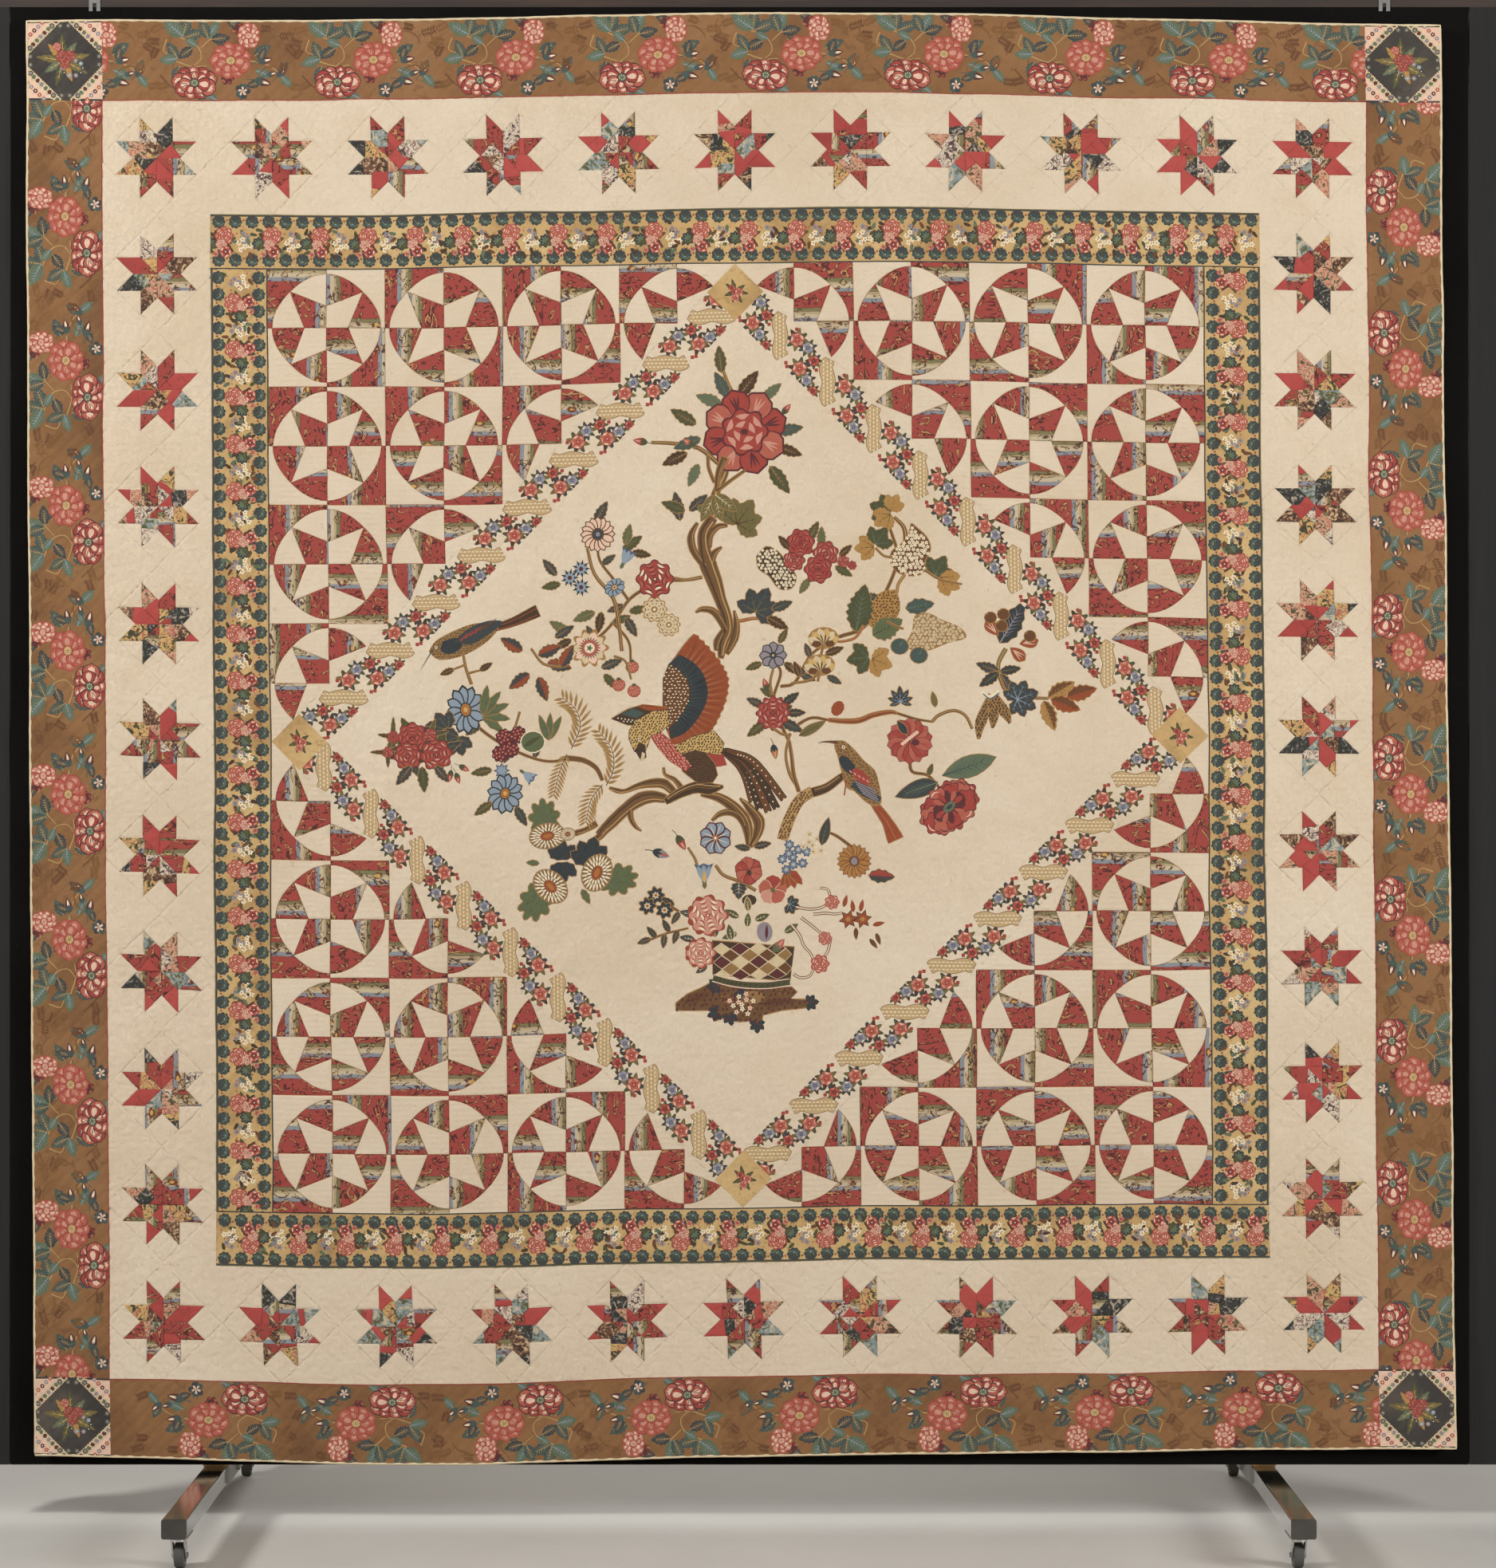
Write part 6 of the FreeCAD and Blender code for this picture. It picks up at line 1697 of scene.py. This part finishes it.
def inner_unit(pen, rng):
    """Roses and a dark rosette, then a bunch of white blossom, in the middle of the inner border."""
    for i in range(16):
        u, v, a = rng.uniform(-0.05, 0.06), rng.uniform(-0.026, 0.026), rng.uniform(0, 360)
        leaf(pen.at(u, v, a), 0.018, 0.008, ("moss", "umber", "brown", "sage")[i % 4], None, 2)
    pen.at(-0.024, -0.004).ink(scalloped(0.0135, 8), "navy")
    for i in range(8):
        pen.at(-0.024, -0.004, 45 * i).ink(leaf_shape(0.012, 0.004, n=3), "sage")
    for i in range(6):
        leaf(pen.at(0.0, -0.002, 60 * i + 20), 0.032, 0.013, ("moss", "slate", "umber")[i % 3], "olive", 3,
             3)
    rose(pen.at(0.004, 0.012, rng.uniform(0, 90)), 0.0185, ("rose", "blush", "pink", "red"), 8)
    rose(pen.at(-0.002, -0.006, rng.uniform(0, 90)), 0.0110, ("pink", "ivory", "blush", "red"), 6)
    small_rose(pen.at(0.007, -0.021), 0.0125, ("red", "blush", "pink", "plum"))
    small_rose(pen.at(-0.014, -0.026), 0.0060, ROSE_PINK)
    for k in range(8):
        a = 2.4 * k
        floret(pen.at(0.047 + 0.0062 * math.sqrt(k) * math.cos(a), 0.0070 * math.sqrt(k) * math.sin(a),
                      30 * k),
               0.0072, "ivory" if k % 3 else "lilac", "olive")
    for k in range(6):
        pen.at(0.030 + 0.007 * k, 0.020 * math.sin(2.1 * k + 1)).ink(oval(0.0018, 0.0018, 5), "red")


def ribbon_unit(pen, tilt):
    """One repeat of the frame: a band of tan lace and a trail of roses."""
    for u, v, r in (
        (0.032, 0.019, 0.015), (0.078, -0.021, 0.015), (0.088, 0.011, 0.011), (0.130, -0.035, 0.0095),
        (0.060, 0.022, 0.012), (0.105, -0.028, 0.012),
    ):
        for i in range(8):
            leaf(pen.at(u, v, 45 * i + 1000 * u), r * 1.75, r * 0.80,
                 ("slate", "moss", "olive", "umber")[i % 4], None, 3)
    for u, v, r in ((0.032, 0.019, 0.015), (0.078, -0.021, 0.015)):
        small_rose(pen.at(u, v), r, ROSE_PINK)
    for u, v, r in ((0.088, 0.011, 0.011), (0.130, -0.035, 0.0095)):
        small_rose(pen.at(u, v, 30), r, ROSE_RED)
    for u, v in ((0.060, 0.022), (0.105, -0.028)):
        small_rose(pen.at(u, v, 12), 0.0115, BLUE_BLOOM)
    for u, v in ((0.105, 0.001), (0.049, -0.032), (0.112, 0.007), (0.056, -0.036), (0.016, 0.034)):
        pen.at(u, v).ink(scalloped(0.0042, 4), "red")
    lace = pen.at(0, 0, tilt)
    band = stroke([(-0.045, 0.005), (-0.028, -0.003), (0, 0.003), (0.028, -0.003), (0.045, 0.004)],
                  (0.022, 0.028, 0.025, 0.028), 5)
    lace.ink(grown(band, 0.0012), "sepia")
    lace.ink(band, "lace")
    for i in range(11):
        u = -0.042 + 0.0084 * i
        for v in (-0.0075, 0.0, 0.0075):
            lace.at(u + (0.004 if v == 0 else 0), v).ink(oval(0.0029, 0.0014, 6), "ivory")
        lace.at(u, 0.0038).ink(oval(0.0012, 0.0012, 4), "tan")
        lace.at(u, -0.0038).ink(oval(0.0012, 0.0012, 4), "tan")


def bouquet_square(cloth, x, h, turn, size):
    """A corner square: a posy on a near-black ground whose corners are cut off by pale scalloped lace."""
    pen = Pen(cloth, x, h, turn)
    half = size / 2
    for quarter in range(4):
        p = pen.at(0, 0, 90 * quarter).at(half, half, 45)
        p.ink(inside_corner(0.42 * size), "blush")
        for i in range(9):
            at = p.at(-0.26 * size, (i - 4) * 0.072 * size)
            at.ink(scalloped(size * 0.050, 7, 0.15), "paper")
            at.ink(scalloped(size * 0.030, 6, 0.2), ("plum", "lilac", "sage")[i % 3])
        for i in range(5):
            at = p.at(-0.14 * size, (i - 2) * 0.075 * size)
            at.ink(scalloped(size * 0.030, 6, 0.2), ("rose", "lilac", "plum")[i % 3])
            at.ink(oval(size * 0.010, size * 0.010, 5), "ivory")
        for i in range(4):
            at = pen.at(0, 0, 90 * quarter).at(0.46 * size, (i - 1.5) * 0.11 * size)
            at.ink(scalloped(size * 0.036, 7, 0.15), "moss")
            at.ink(scalloped(size * 0.020, 5, 0.2), "lilac")
    for i in range(9):
        tone = ("olive", "sage", "moss", "amber")[i % 4]
        spray = pen.at(-0.02 * size, 0, 40 * i + 12)
        leaf(spray, size * (0.30 if i % 2 else 0.37), size * 0.10, tone, "yellow", 5, 3)
    for i in range(10):
        a = math.radians(36 * i)
        p = pen.at(size * (0.10 + 0.14 * math.cos(a)), size * (-0.10 + 0.10 * math.sin(a)))
        p.ink(scalloped(size * 0.030, 6, 0.2), ("slate", "sky", "lilac")[i % 3])
        p.ink(oval(size * 0.009, size * 0.009, 5), "ivory")
    for u, v, r in ((-0.03, 0.05, 0.085), (0.07, 0.06, 0.070), (0.00, -0.04, 0.070), (-0.10, 0.18, 0.055)):
        rose(pen.at(size * u, size * v, 900 * u), size * r, ROSE_PINK if v > 0.1 else ROSE_RED)


def inside_corner(reach):
    """A triangle that fills a square's corner, seen from the corner along its diagonal."""
    return [(0, 0), (-reach / math.sqrt(2), -reach / math.sqrt(2)),
            (-reach / math.sqrt(2), reach / math.sqrt(2))]


# ---------------------------------------------------------------- the quilt's top, from the outside in
def rectangle(x0, x1, h0, h1):
    return np.array([(x0, h0), (x1, h0), (x1, h1), (x0, h1)])


def laid(cloth, *nodes):
    """Builds a patchwork, hangs it with the quilt and lets it stand for its CAD nodes."""
    piece = cloth.build()
    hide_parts(*nodes)
    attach(piece, "quilt")
    return piece


EDGE = (HALF_W - BINDING / 2, HALF_H - BINDING / 2)
SIDES = ("bottom", "right", "top", "left")
STEP = 0.0045


def frame_sides(outer, inner, mitred=False):
    """The strips between two rectangles, by side. Top and bottom run full width unless corners go spare."""
    (ox, oh), (ix, ih) = outer, inner
    wide = ix if mitred else ox
    return {
        "top": rectangle(-wide, wide, ih, oh),
        "bottom": rectangle(-wide, wide, -oh, -ih),
        "left": rectangle(-ox, -ix, -ih, ih),
        "right": rectangle(ix, ox, -ih, ih),
    }


# Each strip's middle line, its turn from the top strip's, and where its first repeat falls.
def strip_pen(cloth, side, across, up):
    place = {"top": (0, up, 0), "left": (-across, 0, 90), "bottom": (0, -up, 180),
             "right": (across, 0, -90)}
    return Pen(cloth, *place[side])


rng = np.random.default_rng(1820)
OUTER_MID = ((EDGE[0] + WHITE[0]) / 2, (EDGE[1] + WHITE[1]) / 2)
GARLANDS = {"top": (-1.058, 0.300), "left": (-1.330, 0.303), "bottom": (-1.354, 0.310),
            "right": (-1.373, 0.299)}
for side, outline in frame_sides(EDGE, WHITE, mitred=True).items():
    cloth = Patchwork("outer_border_" + side, dense(outline, STEP), OCHRE, "diagonal", STEP)
    start, pitch = GARLANDS[side]
    reach = (WHITE[0] if side in ("top", "bottom") else WHITE[1]) + 0.08
    for i in range(-2, 12):
        u = start + pitch * i
        if -reach < u < reach:
            garland(strip_pen(cloth, side, *OUTER_MID).at(u, 0.0), rng)
    thin = 0.0022
    strip = strip_pen(cloth, side, *WHITE)
    strip.ink(dense(rectangle(-reach, reach, 0.0, thin), 0.03), "red")
    laid(cloth, "outer_border_strips")

for sx, sh in ((-1, 1), (1, 1), (1, -1), (-1, -1)):
    x0, x1 = sorted((sx * WHITE[0], sx * EDGE[0]))
    h0, h1 = sorted((sh * WHITE[1], sh * EDGE[1]))
    name = ("top" if sh > 0 else "bottom") + "_" + ("right" if sx > 0 else "left")
    cloth = Patchwork("corner_" + name, dense(rectangle(x0, x1, h0, h1), STEP), NAVY, "diagonal", STEP)
    bouquet_square(cloth, (x0 + x1) / 2, (h0 + h1) / 2, 0, EDGE[0] - WHITE[0])
    laid(cloth, "corner_squares")

STAR_X, STAR_H = (WHITE[0] + INNER[0]) / 2, (WHITE[1] + INNER[1]) / 2
PER_SIDE = 11
spots = {side: [] for side in SIDES}
for i in range(PER_SIDE):
    k = 2 * i / (PER_SIDE - 1) - 1
    spots["top"].append((k * STAR_X, STAR_H))
    spots["bottom"].append((k * STAR_X, -STAR_H))
    if 0 < i < PER_SIDE - 1:
        spots["left"].append((-STAR_X, k * STAR_H))
        spots["right"].append((STAR_X, k * STAR_H))
for side, outline in frame_sides(WHITE, INNER).items():
    cloth = Patchwork("star_border_" + side, dense(outline, STEP), CREAM, "meander", STEP)
    for x, h in spots[side]:
        reach = STAR_X / (PER_SIDE - 1) - 0.001
        cloth.piece(dense([(x - reach, h), (x, h - reach), (x + reach, h), (x, h + reach)], 0.02), CREAM,
                    0.0006)
        star(cloth, x, h, rng)
    laid(cloth, "star_border_strips", "star_patches")

ROUNDEL = 0.035
for side, outline in frame_sides(INNER, (FIELD, FIELD)).items():
    cloth = Patchwork("inner_border_" + side, dense(outline, STEP), TANPRINT, "diagonal", STEP)
    flat_side = side in ("top", "bottom")
    half = INNER[0] if flat_side else FIELD
    deep = (INNER[1] if flat_side else INNER[0]) - FIELD
    pen = strip_pen(cloth, side, FIELD + deep / 2, FIELD + deep / 2)
    count = int(2 * half / ROUNDEL)
    pitch = 2 * half / count
    lace_edge(pen.at(-half, 0), pitch, count, deep / 2 - 0.016, 1)
    lace_edge(pen.at(-half, 0), pitch, count, -deep / 2 + 0.019, 1)
    for v, tone in ((deep / 2 - 0.001, "olive"), (deep / 2 - 0.0034, "slate"),
                    (-deep / 2 + 0.0014, "slate")):
        pen.ink(dense(rectangle(-half, half, v - 0.0013, v + 0.0013), 0.03), tone)
    repeats = int(2 * half / 0.098)
    for i in range(repeats):
        inner_unit(pen.at(2 * half * (i + 0.25) / repeats - half, 0), rng)
    laid(cloth, "inner_border_strips")

# The field: four triangles of blocks round the diamond.
for sx, sh in ((-1, 1), (1, 1), (1, -1), (-1, -1)):
    outline = [(sx * FIELD, sh * FIELD), (0, sh * FIELD), (sx * FIELD, 0)]
    name = ("top" if sh > 0 else "bottom") + "_" + ("right" if sx > 0 else "left")
    cloth = Patchwork("block_field_" + name, dense(outline, STEP), CREAM, "level", STEP)
    for i in range(BLOCKS // 2):
        for j in range(BLOCKS // 2 - i):
            x = sx * (FIELD - BLOCK * (i + 0.5))
            h = sh * (FIELD - BLOCK * (j + 0.5))
            block(cloth, x, h, sx * sh > 0, rng)
    laid(cloth, "block_field")

# The diamond's frame, and its corner squares on point.
FRAME = 0.084
INSIDE = FIELD - FRAME * math.sqrt(2)
SIDE = FIELD * math.sqrt(2)
PITCH = 0.138
for turn, name in ((0, "top_left"), (-90, "top_right"), (180, "bottom_right"), (90, "bottom_left")):
    # u runs up the upper left side and on round clockwise; v points outwards.
    middle = (FIELD + INSIDE) / 4
    pen = Pen(None, *(middle * np.array([-math.cos(math.radians(turn)) - math.sin(math.radians(turn)),
                                         math.cos(math.radians(turn)) - math.sin(math.radians(turn))])),
              45 + turn)
    run = SIDE / 2 - FRAME
    outline = pen.shape(rectangle(-run, run, -FRAME / 2, FRAME / 2))
    cloth = Patchwork("medallion_frame_" + name, dense(outline, STEP), CREAM, "meander", STEP)
    pen.cloth = cloth
    for i in range(-6, 6):
        ribbon_unit(pen.at(0.03 + PITCH * i, 0), -45)
    laid(cloth, "medallion_frame_strips")
for x, h, name in ((0, 1, "top"), (1, 0, "right"), (0, -1, "bottom"), (-1, 0, "left")):
    at = FIELD - FRAME / math.sqrt(2)
    pen = Pen(None, x * at, h * at, 45)
    outline = pen.shape(rectangle(-FRAME / 2, FRAME / 2, -FRAME / 2, FRAME / 2))
    cloth = Patchwork("medallion_corner_" + name, dense(outline, STEP), TANPRINT, "meander", STEP)
    pen.cloth = cloth
    cluster(pen, 3, 0.026, 4, 0.008)
    laid(cloth, "medallion_corner_squares")

# ---------------------------------------------------------------- the medallion's applied chintz
diamond = np.array([(0, -INSIDE), (INSIDE, 0), (0, INSIDE), (-INSIDE, 0)])
cloth = Patchwork("medallion", dense(diamond, STEP), CREAM, "meander", 0.0050)
page = Pen(cloth)

for draw in (joining_stems, great_branch, top_sprays, tree, upper_left, right_of_tree, far_right, left_side,
             lower_part):
    draw(page)
laid(cloth, "medallion_ground", "tree_applique", "flower_appliques", "bird_appliques", "basket_applique")


# ---------------------------------------------------------------- the quilt's back, edge and tapes
def sheet_grid(name, nx, nh, place, material, flip=False):
    us, vs = np.linspace(-1, 1, nx + 1), np.linspace(-1, 1, nh + 1)
    grid_u, grid_v = np.meshgrid(us, vs)
    points = place(grid_u.ravel(), grid_v.ravel())
    faces = []
    for j in range(nh):
        for i in range(nx):
            a = j * (nx + 1) + i
            quad = (a, a + 1, a + nx + 2, a + nx + 1)
            faces.append(quad[::-1] if flip else quad)
    return add_mesh(name, points, faces, [material])


THICK = 0.005


def back_place(u, v):
    points = hang(u * EDGE[0], v * EDGE[1], "meander")
    points[:, 1] += THICK
    return points


BACKING = cotton("backing_cotton", "#cdb894")
backing = sheet_grid("quilt_back", 300, 300, back_place, BACKING, flip=True)
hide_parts("quilt_backing", "quilt_batting")
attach(backing, "quilt")

# The binding: a narrow roll of cream cotton over the raw edge, with a red line of piping outside it.
ring = []
for a, b in zip(((-1, -1), (1, -1), (1, 1), (-1, 1)), ((1, -1), (1, 1), (-1, 1), (-1, -1))):
    for t in np.arange(0, 1, 0.0025):
        ring.append((np.array(a) * (1 - t) + np.array(b) * t) * EDGE)
ring = np.array(ring)
axis_points = hang(ring[:, 0], ring[:, 1])
axis_points[:, 1] += THICK / 2
outward = np.gradient(axis_points, axis=0)
outward = np.stack([outward[:, 2], 0 * outward[:, 1], -outward[:, 0]], axis=-1)
outward /= np.linalg.norm(outward, axis=1, keepdims=True)
SECTION = 10
points, faces, indices = [], [], []
for i, (p, n) in enumerate(zip(axis_points, outward)):
    swell = 1 + 0.10 * math.sin(i * 0.9) * math.sin(i * 0.37)
    for k in range(SECTION):
        a = math.tau * k / SECTION
        points.append(p + n * (BINDING / 2) * math.cos(a) * swell + np.array([0,
                                                            -(THICK / 2 + 0.0012) * math.sin(a) * swell,
                                                            0]))
    for k in range(SECTION):
        j = (i + 1) % len(axis_points)
        faces.append((i * SECTION + k, i * SECTION + (k + 1) % SECTION, j * SECTION + (k + 1) % SECTION,
                      j * SECTION + k))
        indices.append(1 if k in (0, 9) else 0)
binding = add_mesh("binding_roll", points, faces, [cotton("binding_cream", "#d9c7a4"), INKS["rose"]],
                   indices)
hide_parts("binding")
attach(binding, "quilt")

for node, name, colour, across in (
    ("webbing_strip", "webbing", "#cbbd9c", 60), ("loop_tape", "loop_fabric", "#dcd6c8", 90),
                                   ("hook_tape", "hook_fabric", "#e4e0d4", 90),
):
    low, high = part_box(node)
    low, high = np.array(low), np.array(high)
    middle, size = (low + high) / 2, (high - low) / 2

    def place(u, v, middle=middle, size=size):
        wave = 0.0003 * np.sin(u * 900) + 0.0002 * np.sin(v * 40)
        return np.stack([middle[0] + u * size[0], middle[1] + 0 * u + wave, middle[2] + v * size[2]],
                        axis=-1)

    tape = sheet_grid(name, 240, 12, place, cotton(name + "_woven", colour, 0.8))
    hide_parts(node)
    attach(tape, "quilt")


# ---------------------------------------------------------------- the rack's black cloth
def matt_black():
    n = Nodes("black_cloth")
    tone = n.ramp(n.noise(3, 4), [(0.3, "#0d0c0b"), (0.7, "#141311")])
    lint = n.ramp(n.noise(160, 2), [(0.66, 0.0), (0.8, 1.0)])
    n.colour(n.mix(n.math("MULTIPLY", lint, 0.2), tone, "#37332d"))
    weave(n, 500)
    n.shader.inputs["Specular IOR Level"].default_value = 0.08
    return n.finish(0.95, sheen=0.0)


low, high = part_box("backdrop_cloth")
cloth_mid, cloth_half = (np.array(low) + np.array(high)) / 2, (np.array(high) - np.array(low)) / 2


def cloth_place(u, v):
    x, z = cloth_mid[0] + u * cloth_half[0], cloth_mid[2] + v * cloth_half[2]
    edge = np.minimum(1 - np.abs(u), 1 - np.abs(v)) * cloth_half[0]
    slack = 0.0012 * (0.5 + 0.5 * waver(x, z, 2.4, 51)) + 0.0006 * np.sin(9 * x + 3 * z) ** 2
    pulls = 0.0010 * np.exp(-edge / 0.05) * np.abs(np.sin(14 * (x + z)))
    return np.stack([x, low[1] + 0.0005 - np.clip(edge / 0.08, 0, 1) * slack - pulls, z], axis=-1)


backdrop = sheet_grid("backdrop", 160, 160, cloth_place, matt_black())
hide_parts("backdrop_cloth")
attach(backdrop, "rack")


# ---------------------------------------------------------------- timber, steel and rubber
def timber(name, base, dark, light, grain_axis, roughness=0.45, coat=0.0):
    n = Nodes(name)
    scale = {"X": (1.2, 26, 26), "Z": (26, 26, 1.2), "Y": (26, 1.2, 26)}[grain_axis]
    vector = n.scaled(*scale)
    grain = n.noise(1.6, 6, 0.62, 0.8, vector)
    fine = n.noise(9, 3, 0.6, 0.2, vector)
    tone = n.ramp(grain, [(0.28, dark), (0.5, base), (0.72, light)])
    tone = n.mix(n.math("MULTIPLY", n.ramp(fine, [(0.45, 0.0), (0.62, 1.0)]), 0.35), tone, dark)
    n.colour(tone)
    n.bump(n.math("ADD", grain, fine), 0.0006)
    return n.finish(roughness, coat=coat)


def metal(name, colour, roughness, scratch=0.0002, metallic=1.0):
    n = Nodes(name)
    worn = n.ramp(n.noise(18, 5), [(0.3, 0.75), (0.7, 1.0)])
    n.colour(n.mix(1.0, worn, colour, "MULTIPLY"))
    n.bump(n.noise(240, 4, 0.7), scratch)
    return n.finish(roughness, metallic=metallic)


def plastic(name, colour, roughness=0.5):
    n = Nodes(name)
    n.colour(n.mix(n.math("MULTIPLY", n.noise(12, 4), 0.3), colour, "#8a8478"))
    n.bump(n.noise(300, 2), 0.0002)
    return n.finish(roughness)


FINISHES = {
    "pine": timber("pine_wood", "#c79f66", "#a47a44", "#dcbb86", "X"),
    "plywood": timber("birch_ply", "#cdb084", "#b5925f", "#e0caa2", "Z"),
    "black_timber": timber("stained_black", "#0d0c0b", "#080707", "#141210", "Z", 0.85),
    "honey_pine": timber("brown_varnish", "#2a1a10", "#1b0f08", "#392417", "X", 0.6),
    "steel": metal("zinc_steel", "#a8a8a4", 0.38),
    "chrome": metal("bright_chrome", "#d2d2d0", 0.14, 0.00005),
    "black_steel": metal("painted_steel", "#1d1d1e", 0.42, 0.0002, 0.0),
    "black_plastic": plastic("black_nylon", "#191919"),
    "grey_plastic": plastic("grey_nylon", "#6d6e6f"),
    "wheel_rubber": plastic("grey_rubber", "#3a3b3c", 0.8),
    "black_cloth": None,
}
for row in frame["record"]["subparts"]:
    finish = FINISHES.get(row["material_slot"])
    piece = frame["nodes"][row["node"]]
    for holder in piece.material_slots if finish else ():
        holder.link = "OBJECT"
        holder.material = finish

# ---------------------------------------------------------------- floor, light and camera
floor_paint = Nodes("floor_paint")
floor_paint.colour(floor_paint.ramp(floor_paint.noise(1.5, 4), [(0.3, "#b9b7b2"), (0.7, "#c4c2bd")]))
floor_paint.bump(floor_paint.noise(40, 4), 0.001)
floor_paint.finish(0.6)
bpy.ops.mesh.primitive_grid_add(x_subdivisions=8, y_subdivisions=8, size=16)
floor = bpy.context.object
floor.name = "floor"
floor.data.materials.append(floor_paint.material)


def lamp(name, at, aim, size, watts, tint=(1, 0.98, 0.95)):
    light = bpy.data.lights.new(name, "AREA")
    light.shape = "DISK"
    light.size = size
    light.energy = watts
    light.color = tint
    holder = bpy.data.objects.new(name, light)
    holder.location = at
    holder.rotation_euler = (Vector(aim) - Vector(at)).to_track_quat("-Z", "Y").to_euler()
    bpy.context.scene.collection.objects.link(holder)


lamp("key_left", (-5.4, -3.6, 4.6), (-0.1, 0, 1.5), 1.2, 345)
lamp("fill_right", (5.4, -4.2, 2.8), (0.3, 0, 1.6), 2.0, 290)
lamp("top_soft", (0, -4.5, 6.0), (0, 0, 1.6), 3.0, 90)
lamp("back_soft", (0, 5.0, 4.0), (0, 0, 1.5), 3.0, 120)
world = bpy.data.worlds.new("studio")
world.use_nodes = True
world.node_tree.nodes["Background"].inputs["Color"].default_value = (0.80, 0.79, 0.77, 1)
world.node_tree.nodes["Background"].inputs["Strength"].default_value = 0.22
bpy.context.scene.world = world
bpy.context.scene.view_settings.view_transform = "Standard"

# The camera looks straight along +Y, and its picture is VIEW_H metres tall at the quilt's front.
VIEW_H = 3.303
AIM_X, AIM_Z = 0.018, MIDDLE - 0.099
DISTANCE = 8.0
lens = bpy.data.cameras.new("camera")
lens.sensor_fit = "VERTICAL"
lens.sensor_height = 24
lens.lens = lens.sensor_height * (DISTANCE + FRONT) / VIEW_H
lens.dof.use_dof = False
camera = bpy.data.objects.new("camera", lens)
camera.location = (AIM_X, -DISTANCE, AIM_Z)
camera.rotation_euler = (math.pi / 2, 0, 0)
bpy.context.scene.collection.objects.link(camera)
bpy.context.scene.camera = camera
